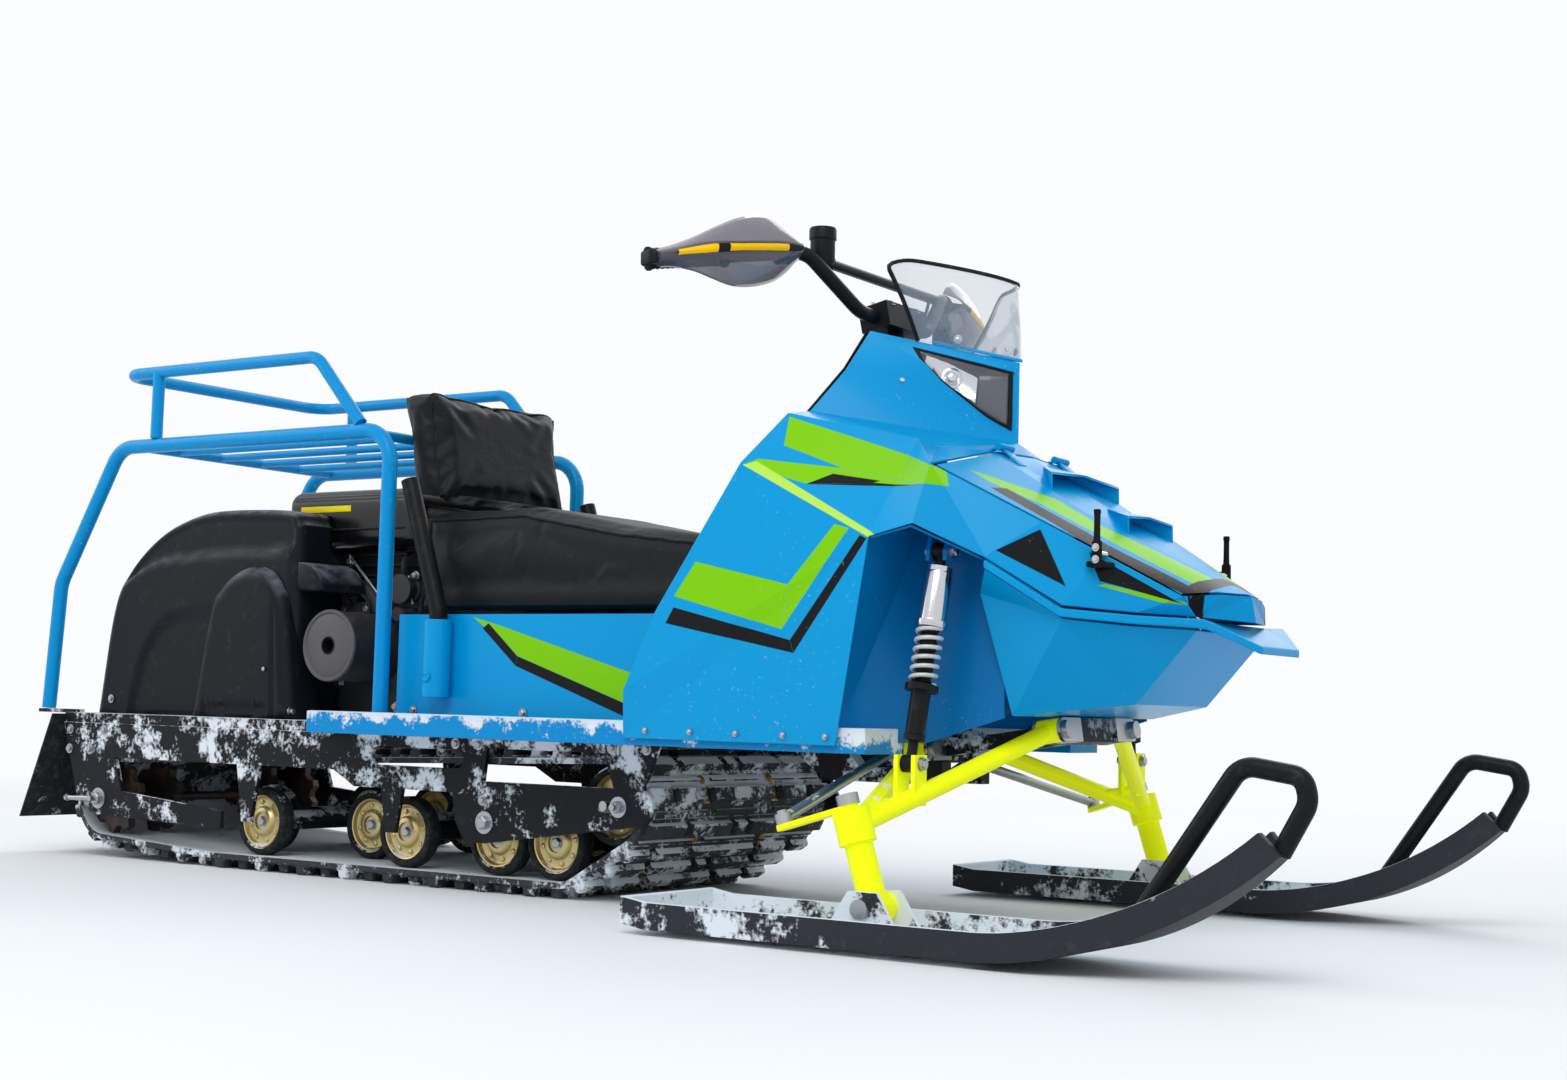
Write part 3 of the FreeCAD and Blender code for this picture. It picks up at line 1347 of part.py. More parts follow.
def rack():
    def hoop(side, diameter):
        y = side * hoop_half_width
        path = [V(hoop_rear_foot_x, y, hoop_foot_z), V(hoop_rear_knee_x, y, hoop_rear_knee_z),
                V(hoop_rear_top_x, y, hoop_top_z), V(hoop_front_x, y, hoop_top_z),
                V(hoop_front_x, y, deck_top_z + seat_gap)]
        return bent_tube(path, diameter, hoop_bend)

    parts["rack_hoops"] = Part.makeCompound([hoop(side, hoop_tube) for side in (1, -1)])

    reach = hoop_half_width - hoop_tube / 2 - seat_gap
    bars = [rod(V(x, -reach, hoop_top_z), V(x, reach, hoop_top_z), rack_bar_tube)
            for x in (slat_rear_x, slat_front_x)]
    platform = bars[0].fuse(bars[1])
    for i in range(slat_count):
        y = -slat_spread / 2 + slat_spread * i / (slat_count - 1)
        slat = rod(V(slat_rear_x, y, hoop_top_z), V(slat_front_x, y, hoop_top_z), slat_tube)
        platform = platform.fuse(slat)
    parts["rack_platform"] = platform

    y = hoop_half_width
    top = hoop_top_z + hoop_tube / 2 + seat_gap
    path = [V(rail_foot_x, -y, top), V(rail_bend_x, -y, rail_z), V(rail_rear_x, -y, rail_z),
            V(rail_rear_x, y, rail_z), V(rail_bend_x, y, rail_z), V(rail_foot_x, y, top)]
    rail = bent_tube(path, rail_tube, rail_bend)
    for side in (1, -1):
        post = rod(V(rail_post_x, side * y, top), V(rail_post_x, side * y, rail_z), rail_tube)
        rail = rail.fuse(post).cut(hoop(side, hoop_tube + 2 * seat_gap))
    parts["rack_rail"] = rail


def power_unit():
    low = deck_top_z + seat_gap
    case = box(V(engine_rear_x, engine_right_y, low), V(engine_front_x, engine_left_y, crankcase_top_z))
    case = case.makeFillet(engine_round, case.Edges)
    mid = V((engine_rear_x + engine_front_x) / 2, (engine_left_y + engine_right_y) / 2, crankcase_top_z)
    half = cylinder_size / 2
    barrel = box(V(mid.x - half, mid.y - half, crankcase_top_z - engine_round),
                 V(mid.x + half, mid.y + half, cylinder_top_z))
    engine = case.fuse(barrel)
    step = (cylinder_top_z - crankcase_top_z) / fin_count
    fin = half + fin_overhang
    for i in range(fin_count):
        z = crankcase_top_z + step * (i + 0.5)
        blade = box(V(mid.x - fin, mid.y - fin, z), V(mid.x + fin, mid.y + fin, z + fin_thickness))
        engine = engine.fuse(blade)
    starter = disc(starter_x, engine_left_y + starter_depth / 2, starter_z, starter_diameter, starter_depth)
    engine = engine.fuse(starter.translated(V(0, -weld_sink, 0)))
    for i in range(vent_count):
        angle = 2 * math.pi * i / vent_count
        x = starter_x + vent_ring * math.cos(angle)
        z = starter_z + vent_ring * math.sin(angle)
        engine = engine.cut(disc(x, engine_left_y + starter_depth, z, vent_diameter, starter_depth / 2))
    hub = disc(starter_x, engine_left_y + starter_depth, starter_z, vent_ring, starter_depth / 2)
    engine = engine.fuse(hub)
    filter_box = box(V(filter_rear_x, filter_right_y, crankcase_top_z - weld_sink),
                     V(filter_rear_x + filter_length, filter_left_y, filter_top_z))
    engine = engine.fuse(filter_box.makeFillet(engine_round, filter_box.Edges))
    elbow = [V(mid.x, mid.y - half + weld_sink, exhaust_z), V(mid.x, exhaust_y, exhaust_z),
             V(mid.x + exhaust_step, exhaust_y, exhaust_low_z),
             V(mid.x + exhaust_step, exhaust_y, muffler_z)]
    engine = engine.fuse(bent_tube(elbow, exhaust_tube, exhaust_tube))
    parts["engine_block"] = engine

    tank = box(V(tank_rear_x, tank_right_y, tank_bottom_z), V(tank_front_x, tank_left_y, tank_top_z))
    tank = tank.makeFillet(tank_round, tank.Edges)
    cap_y = (tank_right_y + tank_left_y) / 2
    cap = rod(V(tank_cap_x, cap_y, tank_top_z - weld_sink),
              V(tank_cap_x, cap_y, tank_top_z + tank_cap_height),
              tank_cap_diameter)
    parts["fuel_tank"] = tank.fuse(cap)

    left = muffler_right_y + muffler_length
    can = rod(V(muffler_x, muffler_right_y, muffler_z), V(muffler_x, left, muffler_z), muffler_diameter)
    can = can.makeFillet(muffler_round, can.Edges)
    can = can.cut(rod(V(muffler_x, muffler_right_y - overrun, muffler_z),
                      V(muffler_x, muffler_right_y + overrun, muffler_z), tail_hole))
    parts["muffler"] = can
    parts["engine_block"] = parts["engine_block"].cut(
        rod(V(muffler_x, muffler_right_y, muffler_z), V(muffler_x, left + seat_gap, muffler_z),
            muffler_diameter + 2 * seat_gap))

    def arched(rear_x, length, height, y_low, y_high, shares):
        points = [(rear_x + length * a, low + height * b) for a, b in shares]
        return soft_prism(points, y_low, y_high, cover_edge, seat_gap)

    cover = arched(cover_rear_x, cover_length, cover_height, cover_outer_y, cover_inner_y,
                   cover_outline_shares)
    bulge = arched(bulge_rear_x, bulge_length, bulge_height, bulge_outer_y, bulge_inner_y,
                   bulge_outline_shares)
    cover = cover.fuse(bulge)
    for name in ("engine_block", "fuel_tank", "muffler"):
        cover = cover.cut(parts[name])
    parts["drive_cover"] = cover


def turned(shape, at, degrees):
    """Copy of a shape, leant back about a line along Y through a place."""
    copy = shape.copy()
    copy.rotate(at, V(0, 1, 0), -degrees)
    return copy


def link(start, end, width, low, high):
    """Flat link with round ends, drawn in plan between two points."""
    a = V(start[0], start[1], low)
    b = V(end[0], end[1], low)
    across = (b - a).cross(V(0, 0, 1)).normalize() * (width / 2)
    strip = Part.Face(Part.makePolygon([a + across, b + across, b - across, a - across, a + across]))
    shape = strip.extrude(V(0, 0, high - low))
    for point in (a, b):
        shape = shape.fuse(Part.makeCylinder(width / 2, high - low, point))
    return shape


def arm_axis_tilt():
    return math.degrees(math.atan2(front_beam_z - rear_beam_z, front_beam_x - rear_beam_x))


def front_frame():
    """Two cross beams with the arms' lugs and pins, tied to the deck by rails; seat of the column."""
    half = beam_width / 2
    pieces = []
    for x, z in ((front_beam_x, front_beam_z), (rear_beam_x, rear_beam_z)):
        middle = V(x, 0, z)
        beam = box(V(x - half, -beam_half_width, z - beam_height / 2),
                   V(x + half, beam_half_width, z + beam_height / 2))
        for side in (1, -1):
            y = side * arm_pivot_half
            root = side * (beam_half_width - arm_eye_diameter)
            for end in (1, -1):
                inner, outer = sorted((end * half, end * (half + gusset)))
                low, high = sorted((root, y))
                plate = box(V(x + inner, low, z - arm_eye_diameter / 2),
                            V(x + outer, high, z + arm_eye_diameter / 2))
                lug = rod(V(x + inner, y, z), V(x + outer, y, z), arm_eye_diameter)
                beam = beam.fuse(plate).fuse(lug)
            reach = half + gusset + lug_nut
            beam = beam.fuse(rod(V(x - reach, y, z), V(x + reach, y, z), mount_bolt))
            for end in (1, -1):
                nut = rod(V(x + end * (half + gusset), y, z), V(x + end * reach, y, z), lug_nut_diameter)
                beam = beam.fuse(nut)
        pieces.append(turned(beam, middle, arm_axis_tilt()))
    frame = pieces[0].fuse(pieces[1])
    deck_low = deck_top_z - deck_thickness
    beam_low = rear_beam_z - beam_height / 2
    rear_rail = [(deck_front_x - frame_rail_depth * 2, deck_low), (deck_front_x - overrun, deck_low),
                 (deck_front_x, rail_top_z), (rear_beam_x - half - overrun, rail_top_z),
                 (rear_beam_x - half, beam_low + weld_sink), (rear_beam_x + half, beam_low + weld_sink),
                 (rear_beam_x + half, rail_top_z - rail_height),
                 (deck_front_x - frame_rail_depth, rail_top_z - rail_height)]
    front_rail = [(rear_beam_x, rear_beam_z + rail_height / 2),
                  (front_beam_x, front_beam_z + rail_height / 2),
                  (front_beam_x, front_beam_z - rail_height / 2),
                  (rear_beam_x, rear_beam_z - rail_height / 2)]
    for side in (1, -1):
        low, high = sorted((side * rail_inner_y, side * (rail_inner_y + rail_width)))
        frame = frame.fuse(outline_xz(rear_rail, low, high)).fuse(outline_xz(front_rail, low, high))
    seat_low = column_point(column_foot_z)
    seat_high = column_point(column_seat_top_z)
    block = box(V(rear_beam_x, -column_bore / 2, beam_low + overrun / 2),
                V(seat_low.x, column_bore / 2, rear_beam_z + beam_height / 2 - weld_sink))
    frame = frame.fuse(block).fuse(rod(seat_low, seat_high, column_bore))
    frame = frame.cut(rod(seat_low - column_axis() * overrun, seat_high + column_axis() * overrun,
                          column_diameter + 2 * seat_gap))
    parts["front_frame"] = frame.removeSplitter()


def kingpin_frame(shape):
    """Puts a shape drawn upright at the origin onto the right-hand kingpin's axis."""
    return turned(shape, V(0, 0, 0), caster).translated(V(knuckle_x, -knuckle_y, knuckle_z))


def column_frame(shape, z):
    """Puts a shape drawn upright at the origin onto the steering column's axis at a height."""
    return turned(shape, V(0, 0, 0), column_rake).translated(column_point(z))


def arms():
    """Right-hand front arm: two tubes from the beams to the kingpin's sleeve."""
    knuckle = V(knuckle_x, -knuckle_y, knuckle_z)
    eyes = [V(front_beam_x, -arm_pivot_half, front_beam_z), V(rear_beam_x, -arm_pivot_half, rear_beam_z)]
    half = arm_eye_length_half()
    sleeve = Part.makeCylinder(knuckle_diameter / 2, knuckle_height, V(0, 0, -knuckle_height / 2))
    sleeve = kingpin_frame(sleeve)
    arm = sleeve
    for eye in eyes:
        arm = arm.fuse(rod(eye, knuckle, arm_tube))
    share = 1 - arm_gusset / (knuckle - eyes[0]).Length
    corners = [lerp(eyes[0], knuckle, share), lerp(eyes[1], knuckle, share), knuckle]
    normal = (corners[1] - corners[0]).cross(corners[2] - corners[0]).normalize() * gusset
    face = Part.Face(Part.makePolygon([c - normal * 0.5 for c in corners + corners[:1]]))
    arm = arm.fuse(face.extrude(normal))
    foot = V(shock_low[0], -shock_low[1], shock_low[2])
    for end in (1, -1):
        x = foot.x + end * (shock_eye / 2 + seat_gap + shock_ear / 2)
        ear = box(V(x - shock_ear / 2, foot.y - shock_eye * 0.8, foot.z - shock_ear_drop),
                  V(x + shock_ear / 2, foot.y + shock_eye * 0.8, foot.z + shock_eye * 0.6))
        arm = arm.fuse(ear)
    arm = arm.cut(rod(foot - V(overrun, 0, 0), foot + V(overrun, 0, 0), shock_eye_bore + 2 * seat_gap))
    for eye in eyes:
        along = (eyes[0] - eyes[1]).normalize()
        tube = rod(eye - along * half, eye + along * half, arm_eye_diameter)
        bore = rod(eye - along * overrun, eye + along * overrun, mount_bolt + 2 * seat_gap)
        for side in (1, -1):
            room = rod(eye + along * (half * side), eye + along * ((half + overrun) * side),
                       arm_eye_diameter + 2 * rod_clearance)
            arm = arm.cut(room)
        arm = arm.fuse(tube).cut(bore)
    bore = Part.makeCylinder(kingpin_stub / 2 + seat_gap, 2 * knuckle_height, V(0, 0, -knuckle_height))
    bore = kingpin_frame(bore)
    parts["arm_right"] = arm.cut(bore)
    parts["arm_left"] = mirrored(parts["arm_right"])


def arm_eye_length_half():
    return beam_width / 2 - seat_gap


def shock_point(along):
    """Point on the right-hand shock's axis, measured up from its lower eye."""
    low = V(shock_low[0], -shock_low[1], shock_low[2])
    top = V(shock_top[0], -shock_top[1], shock_top[2])
    return toward(low, top, along)


def shocks():
    """Dampers with their eyes and bolts, and the springs round their rods."""
    low = shock_point(0)
    top = V(shock_top[0], -shock_top[1], shock_top[2])
    length = (top - low).Length
    body_low = length - shock_neck - shock_body_length
    spring_low = shock_clevis + shock_sleeve_length
    shock = rod(shock_point(0), shock_point(length), shock_rod_diameter)
    shock = shock.fuse(rod(shock_point(shock_clevis), shock_point(spring_low), shock_sleeve_diameter))
    body = rod(shock_point(body_low), shock_point(body_low + shock_body_length), shock_body_diameter)
    shock = shock.fuse(body)
    for along in (spring_low - shock_seat_thickness, body_low):
        seat = rod(shock_point(along), shock_point(along + shock_seat_thickness), shock_seat_diameter)
        shock = shock.fuse(seat)
    half = V(shock_eye / 2, 0, 0)
    for end in (low, top):
        shock = shock.fuse(rod(end - half, end + half, shock_eye_diameter))
        bolt = half + V(seat_gap + shock_ear, 0, 0)
        shock = shock.fuse(rod(end - bolt, end + bolt, shock_eye_bore))
        nut = bolt + V(shock_nut, 0, 0)
        for side in (1, -1):
            shock = shock.fuse(rod(end + bolt * side, end + nut * side, shock_nut_diameter))
    parts["shocks"] = Part.makeCompound([shock, mirrored(shock)])

    room = body_low - spring_low
    lift = spring_wire / 2 + seat_gap
    rise = room - 2 * lift
    helix = Part.makeHelix(rise / spring_turns, rise, (spring_diameter - spring_wire) / 2)
    start = V((spring_diameter - spring_wire) / 2, 0, 0)
    section = Part.Wire(Part.Circle(start, V(0, 1, 0), spring_wire / 2).toShape())
    coil = Part.Wire(helix.Edges).makePipeShell([section], True, True)
    along = (top - low).normalize()
    coil.Placement = FreeCAD.Placement(shock_point(spring_low + lift), FreeCAD.Rotation(V(0, 0, 1), along))
    parts["springs"] = Part.makeCompound([coil, mirrored(coil)])


def kingpins():
    """Right-hand steering leg: foot boss, leg, stub through the arm's sleeve, steering arm and its bolt."""
    face = knuckle_height / 2 + seat_gap
    foot_along = (kingpin_foot_z - knuckle_z) / math.cos(math.radians(caster))
    leg = Part.makeCylinder(kingpin_leg / 2, -face - foot_along, V(0, 0, foot_along))
    stub = Part.makeCylinder(kingpin_stub / 2, 2 * face + steering_arm_thickness, V(0, 0, -face))
    arm = link((0, 0), (-steering_arm_length, -pitman_offset), steering_arm_width,
               face, face + steering_arm_thickness)
    nut = Part.makeCylinder(kingpin_nut / 2, rod_end_height, V(0, 0, face + steering_arm_thickness))
    end = V(-steering_arm_length, -pitman_offset, face + steering_arm_thickness - weld_sink)
    bolt = Part.makeCylinder(rod_bolt / 2, weld_sink + rod_end_height + 2 * seat_gap, end)
    head = Part.makeCylinder(rod_head / 2, rod_bolt / 2,
                             end + V(0, 0, weld_sink + rod_end_height + 2 * seat_gap))
    pin = leg.fuse(stub).fuse(arm).fuse(nut).fuse(bolt).fuse(head)
    pin = kingpin_frame(pin)
    foot = kingpin_point(foot_along)
    boss = V(0, saddle_width / 2 - saddle_wall - seat_gap, 0)
    pin = pin.fuse(rod(foot - boss, foot + boss, kingpin_boss))
    bolt = boss + V(0, seat_gap + saddle_wall, 0)
    pin = pin.fuse(rod(foot - bolt, foot + bolt, mount_bolt))
    nut = bolt + V(0, lug_nut, 0)
    for side in (1, -1):
        pin = pin.fuse(rod(foot + bolt * side, foot + nut * side, lug_nut_diameter))
    parts["kingpin_right"] = pin
    parts["kingpin_left"] = mirrored(pin)


def ski_band(low, high, half_width):
    """Bent strip between two heights above the ski's underside."""
    y = -ski_centre_y - half_width
    base = ski_keel_height
    turn = math.asin((ski_tip_x - ski_bend_x) / ski_bend_radius)

    def on_arc(height, angle):
        radius = ski_bend_radius - height
        height = base + ski_bend_radius - radius * math.cos(angle)
        return V(ski_bend_x + radius * math.sin(angle), y, height)

    flat_x = ski_rear_x + ski_rear_slope
    edges = []
    corners = [V(ski_rear_x, y, base + ski_rear_rise + low), V(flat_x, y, base + low), on_arc(low, 0)]
    for a, b in zip(corners, corners[1:]):
        edges.append(Part.LineSegment(a, b).toShape())
    edges.append(Part.Arc(on_arc(low, 0), on_arc(low, turn / 2), on_arc(low, turn)).toShape())
    edges.append(Part.LineSegment(on_arc(low, turn), on_arc(high, turn)).toShape())
    edges.append(Part.Arc(on_arc(high, turn), on_arc(high, turn / 2), on_arc(high, 0)).toShape())
    corners = [on_arc(high, 0), V(flat_x, y, base + high), V(ski_rear_x, y, base + ski_rear_rise + high),
               V(ski_rear_x, y, base + ski_rear_rise + low)]
    for a, b in zip(corners, corners[1:]):
        edges.append(Part.LineSegment(a, b).toShape())
    return Part.Face(Part.Wire(edges)).extrude(V(0, 2 * half_width, 0))


def ski_plan(inset):
    """Plan outline of the ski, drawn in from its edge by an inset."""
    half = ski_half_width - inset
    tip = max(ski_tip_half_width - inset, seat_gap)
    rear = ski_rear_x + inset
    tip_x = ski_tip_x + overrun - 2 * inset
    points = [(rear, -half), (ski_taper_x, -half), (tip_x, -tip),
              (tip_x, tip), (ski_taper_x, half), (rear, half)]
    return outline_xy([(x, y - ski_centre_y) for x, y in points], -overrun, ski_bend_radius)


def skis():
    """Right-hand ski: upturned trough with a runner under it and a saddle for the leg's foot."""
    ski = ski_band(0, ski_wall_height, ski_half_width).common(ski_plan(0))
    trough = ski_band(ski_floor, ski_wall_height + overrun, ski_half_width + overrun)
    ski = ski.cut(trough.common(ski_plan(ski_wall)))
    base = ski_keel_height
    keel = [(ski_keel_rear_x, base + weld_sink), (ski_keel_rear_x + overrun, 0), (ski_bend_x, 0),
            (ski_taper_x, base + ski_rear_rise + weld_sink)]
    half = ski_keel_width / 2
    ski = ski.fuse(outline_xz(keel, -ski_centre_y - half, -ski_centre_y + half))
    foot = kingpin_point((kingpin_foot_z - knuckle_z) / math.cos(math.radians(caster)))
    floor = base + ski_floor
    top = foot.z + saddle_height / 2
    outer = saddle_width / 2
    for side in (1, -1):
        low, high = sorted((side * outer, side * (outer - saddle_wall)))
        ear = [(foot.x - saddle_length / 2, floor - weld_sink),
               (foot.x + saddle_length / 2, floor - weld_sink),
               (foot.x + saddle_height / 2, top), (foot.x - saddle_height / 2, top)]
        ski = ski.fuse(outline_xz(ear, -ski_centre_y + low, -ski_centre_y + high))
    across = V(0, saddle_width, 0)
    ski = ski.cut(rod(foot - across, foot + across, mount_bolt + 2 * seat_gap))
    parts["ski_right"] = ski
    parts["ski_left"] = mirrored(ski)

    y = -ski_centre_y
    path = [V(loop_foot_x - overrun, y, loop_foot_z - overrun * 2), V(loop_back_x, y, loop_back_z),
            V(loop_front_x, y, loop_front_z), V(loop_nose_x, y, loop_nose_z), V(loop_tip_x, y, loop_tip_z)]
    loop = bent_tube(path, loop_tube, loop_bend).cut(ski)
    loop = max(loop.Solids, key=lambda solid: solid.Volume)
    parts["ski_loop_right"] = loop
    parts["ski_loop_left"] = mirrored(loop)


def steering():
    """Column with its pitman plate, handlebar with clamp and brace, grips, pod and hand guards."""
    foot = column_point(column_foot_z)
    top = column_point(bar_low_z) - column_axis() * (clamp_block[2] / 2)
    column = rod(foot, top, column_diameter)
    half = pitman_thickness / 2
    plate = Part.makeCylinder(column_diameter / 2 + pitman_thickness, pitman_thickness, V(0, 0, -half))
    for side in (1, -1):
        end = V(-steering_arm_length, side * pitman_offset, 0)
        plate = plate.fuse(link((0, 0), (end.x, end.y), steering_arm_width, -half, half))
        drop = half + 2 * rod_clearance + rod_end_height
        plate = plate.fuse(Part.makeCylinder(rod_bolt / 2, drop, end - V(0, 0, drop)))
        head = end - V(0, 0, drop + rod_bolt / 2)
        plate = plate.fuse(Part.makeCylinder(rod_head / 2, rod_bolt / 2, head))
    parts["steering_column"] = column.fuse(column_frame(plate, pitman_z))

    bar = bent_tube(bar_path(), bar_tube, bar_bend)
    block = Part.makeBox(clamp_block[0], clamp_block[1], clamp_block[2],
                         V(-clamp_block[0] / 2, -clamp_block[1] / 2, -clamp_block[2] / 2))
    bar = bar.fuse(column_frame(block, bar_low_z))
    bar = bar.fuse(rod(V(brace_x, -brace_half, brace_z), V(brace_x, brace_half, brace_z), brace_tube))
    end = V(bar_end_x, -bar_end_half, bar_end_z)
    bend = V(bar_bend_x, -bar_bend_half, bar_bend_z)
    grip = rod(toward(end, bend, grip_length), extend(bend, end, grip_cap), grip_diameter).cut(bar)
    pod = rod(V(brace_x, -pod_half, brace_z), V(brace_x, -pod_half, brace_z + brace_tube / 2 + pod_height),
              pod_diameter)
    low = box(V(brace_x - pod_diameter, -pod_half - pod_diameter, brace_z - pod_diameter),
              V(brace_x + pod_diameter, -pod_half + pod_diameter, brace_z))
    pod = pod.cut(low).cut(bar)
    parts["handlebar"] = bar
    parts["grips"] = Part.makeCompound([grip, mirrored(grip), pod])

    along = (end - bend).normalize()
    forward = along.cross(V(0, 0, 1)).normalize()
    if forward.x < 0:
        forward = forward * -1

    def place(u, v):
        across = 2 * v - 1
        swell = math.sin(math.pi * min(1.25 * u, 1) / 2)
        stand = guard_stand * lerp(guard_root_share, 1, swell)
        stand = stand - guard_wrap * across * across - guard_curl * max(0, u - 0.6) ** 2
        spread = lerp(guard_root_share, 1, math.sin(math.pi * u) ** 0.5)
        height = guard_height / 2 * across * spread
        reach = along * (guard_start + guard_length * u)
        return bend + reach + forward * stand + V(0, 0, height)

    inside = toward(bend, end, guard_start + guard_length / 2)
    guard = grid_sheet(place, guard_columns, guard_rows, guard_sheet, inside)
    root = place(0.12, 0.5) - forward * (guard_sheet + weld_sink)
    tip = place(1, 0.5) - forward * (guard_sheet / 2) - along * guard_sheet
    spine = rod(toward(bend, end, guard_start), root, spine_thickness * 2)
    outer = rod(end + along * (grip_cap / 2), tip, spine_thickness * 2)
    guard = guard.fuse(spine).fuse(outer).cut(bar).cut(grip)
    guard = max(guard.Solids, key=lambda solid: solid.Volume)
    parts["hand_guards"] = Part.makeCompound([guard, mirrored(guard)])


def bar_path():
    right = [V(bar_end_x, -bar_end_half, bar_end_z), V(bar_bend_x, -bar_bend_half, bar_bend_z),
             V(bar_low_x, -bar_low_half, bar_low_z)]
    return right + [V(p.x, -p.y, p.z) for p in reversed(right)]


def pitman_frame(shape):
    """Puts a shape drawn at the origin onto the column at the height of its plate."""
    return column_frame(shape, pitman_z)


def tie_rods():
    """Right-hand rod from the column's plate to the kingpin's steering arm."""
    half = rod_end_height / 2
    outer_local = V(-steering_arm_length, -pitman_offset,
                    knuckle_height / 2 + 2 * seat_gap + steering_arm_thickness + half)
    inner_local = V(-steering_arm_length, -pitman_offset, -pitman_thickness / 2 - rod_clearance - half)
    shapes = []
    ends = ((outer_local, kingpin_frame, seat_gap), (inner_local, pitman_frame, rod_clearance))
    for local, frame, clearance in ends:
        end = frame(Part.makeCylinder(rod_end_diameter / 2, rod_end_height, local - V(0, 0, half)))
        start = local - V(0, 0, rod_end_height)
        bore = frame(Part.makeCylinder(rod_bolt / 2 + clearance, 2 * rod_end_height, start))
        shapes.append((end, bore))
    outer = shapes[0][0].CenterOfMass
    inner = shapes[1][0].CenterOfMass
    tie = rod(outer, inner, rod_tube)
    for end, bore in shapes:
        tie = tie.fuse(end).cut(bore)
    caps = kingpin_frame(Part.makeCylinder(rod_end_diameter, rod_end_height, outer_local + V(0, 0, half)))
    under = outer_local - V(0, 0, half + rod_end_height)
    feet = kingpin_frame(Part.makeCylinder(rod_end_diameter, rod_end_height, under))
    tie = tie.cut(caps).cut(feet)
    for lift in (half, -half - rod_end_height):
        slab = Part.makeCylinder(rod_end_diameter, rod_end_height, inner_local + V(0, 0, lift))
        tie = tie.cut(pitman_frame(slab))
    parts["tie_rod_right"] = tie
    parts["tie_rod_left"] = mirrored(tie)


for build in (hood, nose_lid, windshield, nose_chin, lid_straps, inner_panels, console, track, running_gear,
              side_frames, rear_deck, mud_flap, footboards, seat_parts, rack, power_unit, front_frame, arms,
              shocks, kingpins, skis, steering, tie_rods):
    build()

for name, shape in parts.items():
    b = shape.BoundBox
    print("%-18s %s %d %8.0f cm3" % (name, shape.isValid(), len(shape.Solids), shape.Volume / 1e3),
          " x %7.0f %7.0f  y %6.0f %6.0f  z %6.0f %6.0f" % (b.XMin, b.XMax, b.YMin, b.YMax, b.ZMin, b.ZMax))
os.makedirs("parts", exist_ok=True)
for name, shape in parts.items():
    shape.exportStep("parts/" + name + ".step")
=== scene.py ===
# %% [markdown]
# # A tracked utility snowmobile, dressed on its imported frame
# The metal and plastic of this machine were drawn as solids and packed into a
# frame that already turns at its joints. This file adds what a solid can't
# show: paint with its stripes, stitched covers, clear plastic, snow, bolts.
# Every new piece rides on a body of the frame, so it moves with what it is
# fixed to. Lengths are typed in millimetres, as on a workshop drawing, and
# become metres when a mesh is made.

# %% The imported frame
import json
import math
from functools import reduce
import bmesh
import bpy
import numpy as np
from mathutils import Matrix


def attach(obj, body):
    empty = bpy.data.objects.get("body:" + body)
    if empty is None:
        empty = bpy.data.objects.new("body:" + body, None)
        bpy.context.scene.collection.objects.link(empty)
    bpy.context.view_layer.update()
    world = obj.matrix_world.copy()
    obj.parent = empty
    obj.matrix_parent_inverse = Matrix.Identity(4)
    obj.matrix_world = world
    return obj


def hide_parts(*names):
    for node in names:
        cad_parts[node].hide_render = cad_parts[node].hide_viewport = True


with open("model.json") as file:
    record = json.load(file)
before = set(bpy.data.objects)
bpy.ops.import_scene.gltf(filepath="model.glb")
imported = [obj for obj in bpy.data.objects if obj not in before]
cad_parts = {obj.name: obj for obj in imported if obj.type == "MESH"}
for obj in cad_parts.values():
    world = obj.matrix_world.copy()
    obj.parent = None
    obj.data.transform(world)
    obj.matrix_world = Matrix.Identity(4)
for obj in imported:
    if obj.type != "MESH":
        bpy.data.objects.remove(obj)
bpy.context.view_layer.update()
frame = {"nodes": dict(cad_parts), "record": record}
bodies = frame["record"]["behaviour"]["bodies"]
body_of = {node: body for body, nodes in bodies.items() for node in nodes}

# %% [markdown]
# ## Shader maths as ordinary sums
# A finish is easier to read as a formula than as a web of links. The class
# below wraps one output of a shader node, and each sum or product on it adds
# the Math node that works it out, also when the plain number stands first.

# %% A value that flows between shader nodes
def join(tree, value, slot):
    """Links a flowing value to a slot, or writes a plain value into it."""
    if isinstance(value, Flow):
        tree.links.new(value.socket, slot)
    else:
        slot.default_value = value


class Flow:
    """Wraps an output socket; arithmetic on it adds Math nodes."""

    def __init__(self, tree, socket):
        self.tree = tree
        self.socket = socket

    def maths(self, operation, *values):
        node = self.tree.nodes.new("ShaderNodeMath")
        node.operation = operation
        for slot, value in zip(node.inputs, values):
            join(self.tree, value, slot)
        return Flow(self.tree, node.outputs[0])

    def __add__(self, other):
        return self.maths("ADD", self, other)

    def __sub__(self, other):
        return self.maths("SUBTRACT", self, other)

    def __rsub__(self, other):
        return self.maths("SUBTRACT", other, self)

    def __mul__(self, other):
        return self.maths("MULTIPLY", self, other)

    def __truediv__(self, other):
        return self.maths("DIVIDE", self, other)

    def __abs__(self):
        return self.maths("ABSOLUTE", self)

    def least(self, other):
        return self.maths("MINIMUM", self, other)

    def most(self, other):
        return self.maths("MAXIMUM", self, other)

    __radd__ = __add__
    __rmul__ = __mul__


